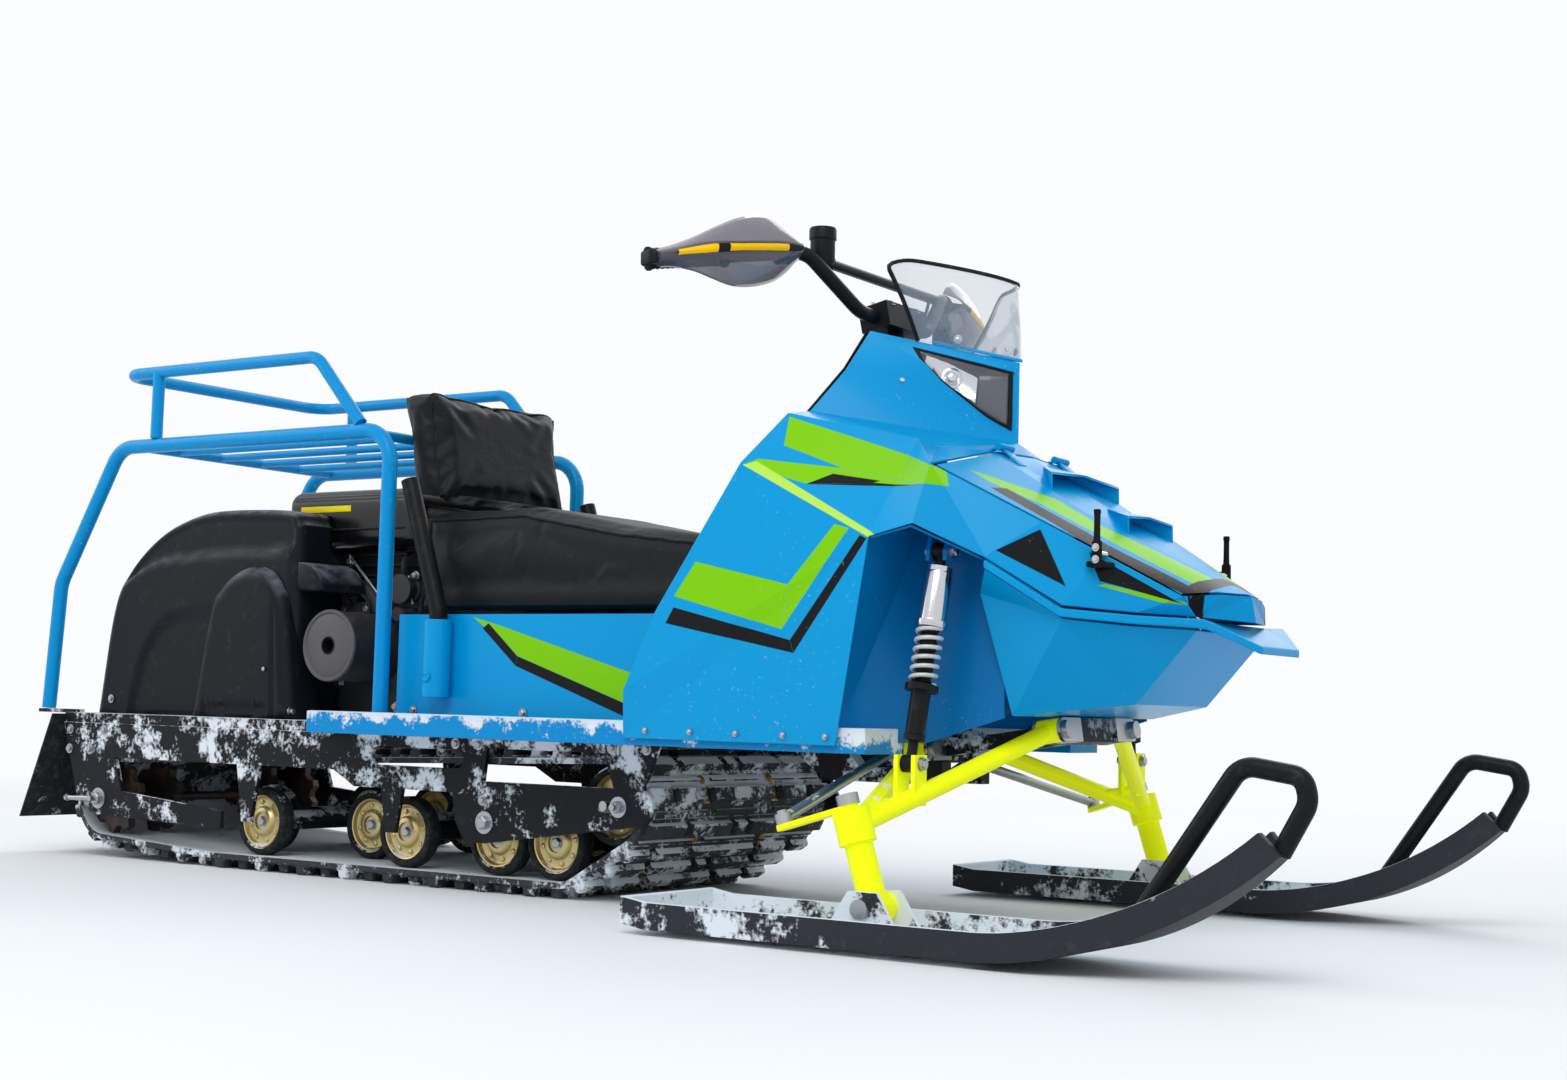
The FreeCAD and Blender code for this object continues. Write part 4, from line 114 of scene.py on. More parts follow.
# %% A finish, put together line by line
def tint(red, green, blue):
    """Screen colour, 0 to 255, as the linear colour that the shader wants."""
    share = np.array([red, green, blue]) / 255
    linear = np.where(share <= 0.04045, share / 12.92, ((share + 0.055) / 1.055) ** 2.4)
    return (*linear.tolist(), 1.0)


class Finish:
    """A material; what is the same all over goes straight onto its shader."""

    def __init__(self, name, colour, rough=0.5, metal=0.0, **constants):
        self.material = bpy.data.materials.new(name)
        self.material.use_nodes = True
        self.tree = self.material.node_tree
        self.shader = self.tree.nodes["Principled BSDF"]
        self.set("Base Color", colour)
        self.set("Roughness", rough)
        self.set("Metallic", metal)
        for key, value in constants.items():
            self.set(key.replace("_", " "), value)

    def set(self, key, value):
        join(self.tree, value, self.shader.inputs[key])

    def node(self, kind, settings=None, links=None, out=0):
        """Any other node: its type, its settings, then the values or links of its sockets."""
        node = self.tree.nodes.new("ShaderNode" + kind)
        for key, value in (settings or {}).items():
            setattr(node, key, value)
        for key, value in (links or {}).items():
            join(self.tree, value, node.inputs[key])
        return Flow(self.tree, node.outputs[out])

    def place(self):
        return self.node("TexCoord", out=3)

    def axes(self, vector):
        node = self.tree.nodes.new("ShaderNodeSeparateXYZ")
        join(self.tree, vector, node.inputs[0])
        return [Flow(self.tree, output) for output in node.outputs]

    def noise(self, scale, detail=3.0, rough=0.55, stretch=(1, 1, 1)):
        at = self.node("Mapping", links={0: self.place(), 3: stretch})
        links = {"Vector": at, "Scale": scale, "Detail": detail, "Roughness": rough}
        return self.node("TexNoise", links=links)

    def cells(self, scale):
        return self.node("TexVoronoi", links={"Vector": self.place(), "Scale": scale})

    def step(self, value, low, high):
        """0 below low, 1 above high, and a straight slope between."""
        return self.node("MapRange", {"clamp": True}, {0: value, 1: low, 2: high, 3: 0.0, 4: 1.0})

    def mix(self, share, first, second):
        return self.node("Mix", {"data_type": "RGBA"}, {0: share, 6: first, 7: second}, out=2)

    def relief(self, height, depth, strength=1.0):
        """Bumps of a real depth, in metres, from a height between 0 and 1."""
        links = {"Height": height, "Distance": depth, "Strength": strength}
        self.set("Normal", self.node("Bump", links=links))

    def facing_up(self):
        return self.axes(self.node("NewGeometry", out=1))[2]

    def height(self, low, high):
        """0 below one height above the ground, 1 over the other."""
        return self.step(self.axes(self.place())[2], low, high)


def scaled(colour, share):
    """Colour with its light multiplied by a share."""
    return (*(share * c for c in colour[:3]), 1.0)


def blend_shaders(tree, share, first, second, output="Material Output"):
    """Mixes two shader nodes by a share, as what the output shows."""
    blend = tree.nodes.new("ShaderNodeMixShader")
    join(tree, share, blend.inputs[0])
    tree.links.new(first.outputs[0], blend.inputs[1])
    tree.links.new(second.outputs[0], blend.inputs[2])
    tree.links.new(blend.outputs[0], tree.nodes[output].inputs["Surface"])


print("helpers ready")

# %% [markdown]
# ## Snow as dirt
# The machine was photographed just after a run: dry snow lies on whatever
# faces up near the ground, and clings in patches to the rubber and the plates.
# It is treated as dirt. A mask joins how far a face looks up with two sizes of
# noise, and the mask mixes the finish below it into rough white.

# %% Snow over a finish
snow_white = tint(226, 233, 240)
snow_rough = 0.92
patch_share, fleck_share = 0.72, 0.28
bare_level, amount_range, mask_width = 0.83, 0.42, 0.07


def dust(finish, colour, rough, amount, top=None, lies=0.17, scale=14.0, depth=0.0015, grain=None, more=None):
    """Mixes snow over a colour: amount 0 to 1, lies for what looks up, top where it stops, more by place."""
    patches = finish.noise(scale, 4.0, 0.62)
    flecks = finish.noise(scale * 9, 3.0, 0.6)
    level = finish.step(finish.facing_up(), 0.15, 0.65)
    cover = patches * patch_share + flecks * fleck_share + level * lies
    if more is not None:
        cover = cover + more(finish)
    starts = bare_level - amount_range * amount
    mask = finish.step(cover, starts, starts + mask_width)
    if top is not None:
        mask = mask * (1 - finish.height(top - 0.05, top + 0.03))
    finish.set("Base Color", finish.mix(mask, colour, snow_white))
    finish.set("Roughness", mask * (snow_rough - rough) + rough)
    relief = mask * 0.8 + flecks * 0.2
    finish.relief(relief if grain is None else relief + grain, depth)


print("snow is", snow_white)

# %% [markdown]
# ## Painted body panels and their stripes
# The hood is folded sheet under a smooth paint, with cut vinyl stripes, and one
# paler green band along a crease that is a painted highlight. A stripe is a flat
# outline seen from the side or from above, so it needs no texture: the least of
# a point's distances to an outline's edges is positive only inside it, and a
# step half a millimetre wide turns that into a crisp mask. An outline that bends
# inwards is the union of two or three that don't.

# %% Outlines of the stripes, in millimetres
sky = tint(0, 155, 217)
leaf = tint(128, 204, 0)
# Paler green of the painted highlight along the side stripe's crease.
crease_highlight_green = tint(186, 232, 88)
ink = tint(14, 15, 19)
side_green = [
    [(455, 678), (447, 723), (696, 638), (703, 615), (667, 617), (543, 644)],
    [(431, 657), (543, 644), (667, 617), (510, 619), (416, 647)],
    [(338, 511), (497, 477), (486, 415), (301, 462)],
    [(497, 477), (572, 559), (595, 553), (486, 415)],
    [(888, 482), (896, 484), (1002, 458), (960, 461)],
]
side_black = [
    [(511, 618), (536, 635), (600, 625), (592, 621)],
    [(511, 618), (592, 622), (663, 616)],
    [(301, 446), (500, 400), (506, 382), (287, 423)],
    [(500, 400), (613, 543), (624, 538), (506, 382)],
    [(818, 557), (773, 526), (854, 479)],
    [(876, 527), (983, 460), (890, 488)],
]
# The paler green along the side stripe's crease is a painted highlight of the fold, not vinyl.
side_crease_highlight = [[(416, 647), (431, 653), (638, 542), (626, 540)]]
lid_green = [
    [(700, 235), (785, 134), (785, 188), (729, 230)],
    [(785, 134), (851, 120), (857, 161), (785, 188)],
    [(851, 120), (985, 30), (985, 100), (857, 161)],
]
lid_black = [
    [(740, 247), (748, 212), (883, 168), (893, 206)],
    [(883, 168), (984, 113), (1002, 131), (893, 206)],
    [(978, 120), (980, 0), (996, 0), (999, 135)],
]
base_green = [
    [(-235, 441), (-179, 428), (-137, 378)],
    [(-179, 428), (240, 315), (240, 257), (-137, 378)],
]
base_black = [
    [(-201, 431), (-137, 378), (-140, 362), (-214, 423)],
    [(-137, 378), (180, 276), (180, 254), (-140, 362)],
]
drawings = (side_green, side_black, side_crease_highlight, lid_green, lid_black, base_green, base_black)
print(sum(map(len, drawings)), "outlines")


# %% Paint with stripes
def within(finish, outlines, first, second, soft=0.0005):
    """1 inside any of the outlines: the greatest, over outlines, of the least distance to their edges."""
    inside = []
    for outline in outlines:
        corners = np.array(outline) / 1000
        edges = np.roll(corners, -1, axis=0) - corners
        normals = np.stack([-edges[:, 1], edges[:, 0]], axis=1)
        normals /= np.linalg.norm(normals, axis=1)[:, None]
        inward = np.sign(((corners.mean(axis=0) - corners) * normals).sum(axis=1))
        normals *= inward[:, None]
        levels = (normals * corners).sum(axis=1)
        depths = [first * a + second * b - level for (a, b), level in zip(normals.tolist(), levels.tolist())]
        inside.append(reduce(Flow.least, depths))
    return finish.step(reduce(Flow.most, inside), -soft, soft)


def panel_paint(name, base, layers=(), seen="side", snow=0.0, more=None, shine=0.13):
    """Smooth paint: orange-peel ripple, faint dust, stripes and painted highlight bands that lie on it, snow
    low down.
    """
    finish = Finish(name, base, Coat_Weight=shine * 0.3, Coat_Roughness=0.15, Specular_IOR_Level=shine)
    x, y, z = finish.axes(finish.place())
    cloud = finish.noise(3.5, 2.0)
    speck = finish.noise(160.0, 2.0, 0.7)
    colour = finish.mix(cloud * 0.30, base, scaled(base, 0.86))
    for outlines, shade in layers:
        mask = within(finish, outlines, x, z if seen == "side" else abs(y))
        colour = finish.mix(mask, colour, shade)
    film = finish.step(speck, 0.66, 0.74) * finish.step(cloud, 0.45, 0.60) * 0.35
    colour = finish.mix(film, colour, tint(196, 210, 222))
    finish.set("Base Color", colour)
    finish.set("Roughness", cloud * 0.14 + 0.22 + film * 0.5)
    finish.relief(finish.noise(420.0, 1.0), 0.00006, 0.6)
    if snow:
        dust(finish, colour, 0.3, snow, top=0.32, scale=20.0, depth=0.001, more=more)
    return finish.material


hood_paint = panel_paint("hood_paint", sky, [(side_green, leaf), (side_crease_highlight, crease_highlight_green), (side_black, ink)])
lid_paint = panel_paint("lid_paint", sky, [(lid_green, leaf), (lid_black, ink)], "above", shine=0.03)
base_paint = panel_paint("base_paint", sky, [(base_green, leaf), (base_black, ink)])
plain_paint = panel_paint("plain_paint", sky)
# The inner arch panels take a darker copy of the body blue: painted shade inside the arches.
shaded_arch_paint = panel_paint("shaded_arch_paint", tint(0, 112, 178))
board_paint = panel_paint("board_paint", tint(0, 140, 208), snow=0.52,
                          more=lambda finish: finish.height(0.250, 0.280) * 0.22)
tube_paint = panel_paint("tube_paint", tint(0, 146, 212))
print("paints ready")

# %% [markdown]
# ## Plastic, rubber, vinyl and metal
# These finishes differ in the size of their grain. Moulded plastic has a fine
# leather-like texture from its mould, rubber is duller and scuffed, vinyl has
# a pebbled skin, and steel shows drawn lines or rust. Each starts from a base
# colour and adds one or two noises at the real scale.

# %% Black plastic, rubber and vinyl
def moulded(name, base, rough, snow=0.0, top=None, grain=900.0, depth=0.00012, lies=0.17, film=0.0,
            more=None, shine=0.12):
    """Moulded plastic: fine pebbled grain, clouded gloss, rubbed patches, and a pale film on top that is dust
    and a painted highlight.
    """
    finish = Finish(name, base, rough, Specular_IOR_Level=shine)
    cloud = finish.noise(6.0, 3.0)
    rubbed = finish.step(finish.noise(38.0, 4.0, 0.7), 0.58, 0.75)
    colour = finish.mix(rubbed * 0.35, base, tuple(min(1.0, c + 0.045) for c in base[:3]) + (1.0,))
    pebble = finish.cells(grain)
    if film:
        # Faces that look up turn pale blue-grey in cloudy patches: dust, and a painted highlight of the sky
        # on the tops.
        clouds = finish.step(finish.noise(26.0, 5.0, 0.7), 0.34, 0.66)
        top_sheen_and_dust = finish.step(finish.facing_up(), 0.25, 0.95) * clouds
        colour = finish.mix(top_sheen_and_dust * film, colour, tint(150, 154, 166))
    finish.set("Base Color", colour)
    finish.set("Roughness", cloud * 0.22 + (rough - 0.10) + rubbed * 0.08)
    finish.relief(pebble, depth, 0.5)
    if snow:
        dust(finish, colour, rough, snow, top, lies, scale=16.0, grain=pebble * 0.05, more=more)
    return finish.material


def rubber(name, base, snow, top=None):
    """Dull rubber with scuffs, and snow that clings to it."""
    finish = Finish(name, base, 0.75, Specular_IOR_Level=0.15)
    scuff = finish.step(finish.noise(60.0, 5.0, 0.7), 0.50, 0.72)
    colour = finish.mix(scuff * 0.5, base, tint(84, 88, 92))
    dust(finish, colour, 0.72, snow, top, 0.22, scale=16.0, depth=0.0025)
    return finish.material


def vinyl(name, base):
    """Coated cloth: pebbled skin, soft folds of gloss, a little dust in the hollows."""
    finish = Finish(name, base, Specular_IOR_Level=0.12)
    pebble = finish.cells(520.0)
    fold = finish.noise(9.0, 4.0, 0.6)
    wide = finish.noise(24.0, 3.0, 0.5, (1, 1, 2.6))
    dusty = finish.step(finish.noise(70.0, 4.0, 0.75), 0.60, 0.78)
    finish.set("Base Color", finish.mix(dusty * 0.16, base, tint(98, 100, 106)))
    finish.set("Roughness", fold * 0.22 + 0.34)
    finish.relief(pebble * 0.07 + fold * 0.75 + wide * 0.5, 0.0035, 0.55)
    return finish.material


black_plastic = moulded("black_plastic", tint(24, 25, 28), 0.42)
cover_plastic = moulded("cover_plastic", tint(21, 24, 30), 0.36, snow=0.22, top=0.33, film=0.75)
frame_black = moulded("frame_black", tint(26, 27, 31), 0.46, snow=0.64, top=0.30, grain=500.0, lies=0.10,
                      more=lambda finish: finish.height(0.10, 0.25) * 0.07)
tube_black = moulded("tube_black", tint(22, 23, 25), 0.34, grain=600.0, depth=0.00005)
tank_plastic = moulded("tank_plastic", tint(10, 10, 12), 0.20, grain=300.0, depth=0.00003, shine=0.4)
track_rubber = rubber("track_rubber", tint(58, 60, 64), 0.77)
tyre_rubber = rubber("tyre_rubber", tint(30, 31, 33), 0.30, top=0.25)
flap_rubber = rubber("flap_rubber", tint(34, 36, 39), 0.50)
grip_rubber = moulded("grip_rubber", tint(20, 20, 22), 0.7, grain=700.0, depth=0.0002)
seat_vinyl = vinyl("seat_vinyl", tint(27, 28, 31))


def in_trough(finish):
    """More snow behind the leg: 0.25 within 98 mm of a ski's middle line, between its walls, else 0.16."""
    x, y, _ = finish.axes(finish.place())
    outside = finish.step(abs(abs(y) - 0.453), 0.0975, 0.0990)
    inside = (1 - outside) * (1 - finish.step(x, 0.84, 0.95)) * 0.25
    return inside + outside * (1 - finish.step(x, 0.55, 0.95)) * 0.16


ski_plastic = moulded("ski_plastic", tint(48, 50, 56), 0.5, snow=0.42, top=0.12, grain=500.0, lies=0.30,
                      more=in_trough)
print("plastics and vinyl ready")


# %% Metals, lime powder coat, lamps and clear plastic
def metal(name, base, rough, shine=1.0, rust=0.0, lines=(1, 1, 12), snow=0.0):
    """Drawn metal: stretched noise for the lines, patches of rust where asked."""
    finish = Finish(name, base, rough, shine)
    drawn = finish.noise(240.0, 2.0, 0.6, lines)
    cloud = finish.noise(14.0, 4.0, 0.65)
    colour = finish.mix(drawn * 0.28, base, scaled(base, 0.55))
    if rust:
        spots = finish.step(cloud, 0.62 - 0.25 * rust, 0.74 - 0.20 * rust)
        colour = finish.mix(spots * 0.85, colour, tint(96, 62, 44))
        finish.set("Metallic", shine - spots * (0.8 * shine))
    finish.set("Base Color", colour)
    finish.set("Roughness", cloud * 0.25 + rough - 0.08)
    finish.relief(drawn, 0.00008, 0.5)
    if snow:
        dust(finish, colour, rough, snow, 0.3, scale=24.0)
    return finish.material


def powder(name, base):
    """Fluorescent powder coat with a painted glow, a touch uneven, with grime and snow low down."""
    # The emission in the coat's own colour is a painted glow: the lime parts give off light of their own.
    finish = Finish(name, base, 0.42, Specular_IOR_Level=0.2, Emission_Strength=0.16, Emission_Color=base)
    cloud = finish.noise(9.0, 3.0)
    grime = finish.step(finish.noise(55.0, 5.0, 0.72), 0.60, 0.74)
    colour = finish.mix(grime * 0.30, finish.mix(cloud * 0.35, base, tint(226, 236, 0)), tint(140, 150, 60))
    finish.relief(finish.noise(600.0, 1.0), 0.00008, 0.5)
    dust(finish, colour, 0.42, 0.25, 0.24, scale=30.0, depth=0.0008)
    return finish.material


steel = metal("steel", tint(176, 178, 182), 0.34, snow=0.18)
chrome = metal("chrome", tint(206, 208, 212), 0.10, lines=(1, 1, 3))
zinc = metal("zinc", tint(204, 188, 134), 0.40, rust=0.12, snow=0.30)
brass = metal("brass", tint(184, 142, 78), 0.4)
rusty = metal("rusty", tint(70, 66, 66), 0.5, 0.75, rust=0.7, lines=(1, 6, 1))
cast = metal("cast", tint(58, 60, 63), 0.52, 0.55, lines=(2, 2, 2))
spring_paint = metal("spring_paint", tint(206, 208, 204), 0.35, 0.2)
lime = powder("lime", tint(246, 255, 0))


def clear_sheet(name, base, weight):
    """Clear plastic: some light goes straight through, and the rest sees a glossy tinted skin."""
    finish = Finish(name, base, 0.04, Coat_Weight=0.6, Coat_Roughness=0.05)
    through = finish.tree.nodes.new("ShaderNodeBsdfTransparent")
    scratch = finish.step(finish.noise(90.0, 5.0, 0.75, (1, 1, 5)), 0.55, 0.80)
    edge = finish.node("LayerWeight", links={"Blend": 0.35}, out=1)
    blend_shaders(finish.tree, edge * 0.35 + scratch * 0.14 + weight, through, finish.shader)
    return finish.material


screen_clear = clear_sheet("screen_clear", tint(196, 204, 212), 0.20)
guard_smoke = clear_sheet("guard_smoke", tint(92, 86, 100), 0.60)
lens_clear = clear_sheet("lens_clear", tint(225, 230, 236), 0.12)
amber = moulded("amber", tint(252, 196, 0), 0.35, grain=400.0, depth=0.00005)
yellow = moulded("yellow", tint(255, 232, 20), 0.35, grain=400.0, depth=0.00005)
reflector = metal("reflector", tint(216, 218, 222), 0.12, lines=(1, 1, 1))
print(len(bpy.data.materials), "finishes")

# %% [markdown]
# ## Last steps that every piece shares
# A piece needs a finish, a body to ride on and, where it stands for a solid of
# the frame, the name of that solid. One function does all three, so that no
# piece is left hanging.

# %% Joining a piece to the frame
def link(obj):
    bpy.context.scene.collection.objects.link(obj)
    return obj


def finish_object(obj, materials, body, replaces=()):
    """Gives a piece its finishes, makes it ride on a body, and hides what it replaces."""
    obj.data.materials.clear()
    for material in materials:
        obj.data.materials.append(material)
    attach(obj, body)
    for node in replaces:
        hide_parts(node)


def smooth(mesh, angle=32.0):
    """Smooth shading, with edges over an angle left sharp."""
    mesh.shade_smooth()
    mesh.set_sharp_from_angle(angle=math.radians(angle))


def round_edges(obj, width, angle):
    """Bevel on every edge sharper than an angle."""
    bevel = obj.modifiers.new("Edges", "BEVEL")
    bevel.width = width
    bevel.segments = 2
    bevel.limit_method = "ANGLE"
    bevel.angle_limit = math.radians(angle)
    bevel.harden_normals = True


def thicken(obj, name, thickness, offset):
    """A sheet's thickness in metres; offset -1 puts it all behind the sheet, 0 on both of its sides."""
    wall = obj.modifiers.new(name, "SOLIDIFY")
    wall.thickness = thickness
    wall.offset = offset


def merged(node, flat=1.0):
    """Copy of a frame solid's mesh, with its doubled corners joined and its flat faces made whole."""
    mesh = frame["nodes"][node].data.copy()
    shape = bmesh.new()
    shape.from_mesh(mesh)
    bmesh.ops.remove_doubles(shape, verts=shape.verts, dist=0.00002)
    bmesh.ops.dissolve_limit(shape, angle_limit=math.radians(flat), verts=shape.verts, edges=shape.edges)
    shape.to_mesh(mesh)
    shape.free()
    return mesh


def centres(mesh):
    """Middles of all faces, in millimetres."""
    out = np.empty(3 * len(mesh.polygons), np.float32)
    mesh.polygons.foreach_get("center", out)
    return out.reshape(-1, 3) * 1000


print("joining helpers ready")

# %% [markdown]
# ## Panels and castings whose edges are rounded
# Folded sheet, moulded plastic and machined plates all have small radii, and
# an edge without one never catches the light. A solid's own mesh mustn't
# change, so each of these pieces is a merged copy: doubled corners are joined,
# flat triangles dissolve into whole faces, and a Bevel rounds what is sharp.
# Where one solid holds two finishes, such as a leg with its steel nuts, a
# formula on the middles of its faces picks the finish of each.

# %% Merged copies with rounded edges
def rounded(node, material, slot, width=0.0, angle=28.0, extra=(), rule=None):
    """Merged copy, bevelled where a width is given; rule turns the faces' middles into finish numbers."""
    mesh = merged(node)
    obj = link(bpy.data.objects.new(node + "_finished", mesh))
    smooth(mesh, angle)
    if width:
        round_edges(obj, width, angle)
    finish_object(obj, [material, *extra], body_of[node], [node])
    if rule is not None:
        mesh.polygons.foreach_set("material_index", rule(centres(mesh)).astype(np.int32))


def dressed(node, material):
    """A frame solid that keeps its own mesh and only takes a finish."""
    for slot in frame["nodes"][node].material_slots:
        slot.link = "OBJECT"
        slot.material = material


def mirror_y(points):
    """The same points folded onto the machine's right-hand side, where Y is negative."""
    return points * np.where(points[:, 1:2] > 0, [[1, -1, 1]], [[1, 1, 1]])


def steel_nuts(points):
    """Bolt ends and nuts of the front beams: everything past the lugs' outer faces."""
    folded = mirror_y(points)
    out = np.zeros(len(points), bool)
    tilt = math.atan2(34, 214)
    for x, z in ((772, 283), (558, 249)):
        away = folded - (x, -112, z)
        along = away[:, 0] * math.cos(tilt) + away[:, 2] * math.sin(tilt)
        off = np.hypot(away[:, 1], away[:, 2] * math.cos(tilt) - away[:, 0] * math.sin(tilt))
        out |= (abs(along) > 22.3) & (off < 13.5)
    return out


def leg_nuts(points):
    """Steel on the steering leg: the nut and bolt above the sleeve and the bolts of the foot."""
    folded = mirror_y(points)
    away = folded - (661, -453, 154)
    lean = math.radians(18)
    along = away[:, 2] * math.cos(lean) - away[:, 0] * math.sin(lean)
    foot = (abs(folded[:, 1] + 453) > 32.4) & (along < -60)
    return (along > 29.0) | foot


# %% Panels, arms, racks and tubes
for side in ("right", "left"):
    rounded("hood_side_" + side, hood_paint, "body_blue", 0.0022)
    rounded("footboard_" + side, board_paint, "body_blue", 0.0012)
    rounded("frame_" + side, frame_black, "frame_black", 0.0012)
    rounded("arm_" + side, lime, "lime", 0.0012, angle=40.0)
    rounded("ski_" + side, ski_plastic, "ski_grey", 0.0025, angle=40.0)
    rounded("kingpin_" + side, lime, "lime", 0.0008, angle=40.0, extra=[steel], rule=leg_nuts)
    dressed("ski_loop_" + side, tube_black)
    dressed("tie_rod_" + side, steel)
panels = [
    ("hood_frame", lid_paint, "body_blue", 0.0018), ("lamp_cowl", plain_paint, "body_blue", 0.0022),
    ("nose_lid", lid_paint, "body_blue", 0.0016), ("nose_chin", plain_paint, "body_blue", 0.0018),
    ("nose_lip", plain_paint, "body_blue", 0.003), ("console", black_plastic, "black_plastic", 0.002),
    ("inner_panels", shaded_arch_paint, "body_blue", 0.0012), ("seat_base", base_paint, "body_blue", 0.0015),
    ("rear_deck", frame_black, "frame_black", 0.002),
]
for panel in panels:
    rounded(*panel)
rounded("front_frame", frame_black, "frame_black", 0.0015, extra=[steel], rule=steel_nuts)
rounded("engine_block", cast, "engine_grey", 0.0012)
for part in ("hoops", "platform", "rail"):
    dressed("rack_" + part, tube_paint)
for node in ("backrest_frame", "steering_column", "handlebar"):
    dressed(node, tube_black)
dressed("mud_flap", flap_rubber)
dressed("springs", spring_paint)
dressed("windshield", screen_clear)

# %% [markdown]
# ## Surfaces worked out as arrays
# Wheels, lugs, tubes and seams are all grids of points: rows along a path or a
# profile, columns round it. One small class collects such grids and turns them
# into one mesh, with a finish for each grid. A shape is then one formula on
# whole arrays, with no loop over its points.

# %% Grids of points
def unit(vectors):
    """Vectors of length one, in the same directions."""
    vectors = np.asarray(vectors, float)
    return vectors / np.linalg.norm(vectors, axis=-1, keepdims=True)


class Surfaces:
    """Collects grids of points, in millimetres, as the faces of one mesh."""

    def __init__(self):
        self.points, self.faces, self.shades, self.count = [], [], [], 0

    def grid(self, points, around=False, ends=False, shade=0):
        """Squares between neighbours; around joins last column to first, ends caps first and last row."""
        points = np.asarray(points, float)
        rows, columns = points.shape[:2]
        index = np.arange(rows * columns).reshape(rows, columns) + self.count
        wide = np.concatenate([index, index[:, :1]], axis=1) if around else index
        squares = np.stack([wide[:-1, :-1], wide[:-1, 1:], wide[1:, 1:], wide[1:, :-1]], axis=-1)
        faces = squares.reshape(-1, 4).tolist()
        if ends:
            faces += [index[0, ::-1].tolist(), index[-1].tolist()]
        self.points.append(points.reshape(-1, 3))
        self.faces += faces
        self.shades += [shade] * len(faces)
        self.count += rows * columns

    def make(self, name, materials, body, replaces=(), angle=32.0):
        """One mesh of all grids: doubles joined, faces turned outwards, finishes by grid."""
        mesh = bpy.data.meshes.new(name)
        mesh.from_pydata((np.concatenate(self.points) / 1000).tolist(), [], self.faces)
        obj = link(bpy.data.objects.new(name, mesh))
        finish_object(obj, materials, body, replaces)
        mesh.polygons.foreach_set("material_index", np.array(self.shades, np.int32))
        shape = bmesh.new()
        shape.from_mesh(mesh)
        bmesh.ops.remove_doubles(shape, verts=shape.verts, dist=0.00001)
        bmesh.ops.recalc_face_normals(shape, faces=shape.faces)
        shape.to_mesh(mesh)
        shape.free()
        smooth(mesh, angle)
        print(name, "has", len(mesh.vertices), "points and rides", body)
        return obj


# %% Turned, swept and eased
def turned(profile, centre, axis=(0, 1, 0), steps=40, start=0.0):
    """Rows of (along, radius) turned round an axis: centre + along * axis + radius * (cosine, sine)."""
    axis = unit(axis)
    first = unit(np.cross(axis, (1, 0, 0) if abs(axis[2]) > 0.8 else (0, 0, 1)))
    angle = start + np.arange(steps) * 2 * np.pi / steps
    ring = np.cos(angle)[:, None] * first + np.sin(angle)[:, None] * np.cross(axis, first)
    profile = np.asarray(profile, float)[:, :, None]
    return np.asarray(centre, float) + profile[:, :1] * axis + profile[:, 1:] * ring


def swept(path, section, up=(0, 0, 1)):
    """Section of (sideways, upward) points carried along a path; up, square to the path, sets its turn."""
    path, section = np.asarray(path, float), np.asarray(section, float)
    along = unit(np.gradient(path, axis=0))
    across = unit(np.cross(up, along))
    upward = np.cross(along, across)
    return path[:, None] + section[None, :, :1] * across[:, None] + section[None, :, 1:] * upward[:, None]


def circle(radius, steps=12):
    """Round section."""
    angle = np.arange(steps) * 2 * np.pi / steps
    return np.stack([np.cos(angle), np.sin(angle)], axis=1) * radius


def slab(width, height, corner):
    """Section of a bar with rounded corners: quarter circles about four inset points."""
    turn = np.linspace(0, np.pi / 2, 3)
    middles = np.array([(1, 1), (-1, 1), (-1, -1), (1, -1)]) * (width / 2 - corner, height / 2 - corner)
    angles = turn[None] + np.arange(4)[:, None] * np.pi / 2
    arcs = middles[:, None] + corner * np.stack([np.cos(angles), np.sin(angles)], axis=-1)
    return arcs.reshape(-1, 2)


def eased(points, steps=8):
    """Smooth path through points: between two of them, a cubic whose slopes are half the outer steps."""
    points = np.asarray(points, float)
    padded = np.concatenate([2 * points[:1] - points[1:2], points, 2 * points[-1:] - points[-2:-1]])
    share = np.linspace(0, 1, steps, endpoint=False)[:, None]
    a, b, c, d = (padded[i:len(padded) - 3 + i, None] for i in range(4))
    curve = b + 0.5 * share * (c - a + share * (2 * a - 5 * b + 4 * c - d + share * (3 * (b - c) + d - a)))
    return np.concatenate([curve.reshape(-1, points.shape[1]), points[-1:]])


def evened(path):
    """Path with each inner point at the mean of itself, taken twice, and its two neighbours."""
    return np.concatenate([path[:1], (path[:-2] + 2 * path[1:-1] + path[2:]) / 4, path[-1:]])


def add_bolt(surfaces, place, axis, head, height, washer, shade=0):
    """Hexagon head with a chamfered top, on a round washer of 1.6 mm."""
    if washer:
        disc = [(0, 0), (0, washer), (1.6, washer), (1.6, 0)]
        surfaces.grid(turned(disc, place, axis, 20), True, shade=shade)
    foot, top = 1.5, 1.5 + height
    hexagon = [(foot, 0), (foot, head / 2), (foot + height * 0.8, head / 2), (top, head * 0.40), (top, 0)]
    surfaces.grid(turned(hexagon, place, axis, 6, 0.3), True, shade=shade)


print("surface helpers ready")

# %% [markdown]
# ## Road wheels, idlers and sprockets
# Each road wheel is a rubber ring round a pressed steel centre with a yellow
# zinc skin: a rolled edge, a dished web with eight small bosses, a hub and its
# nut. All of it is round, so each part is a profile turned about the axle, and
# the bosses are one profile placed eight times by a formula.

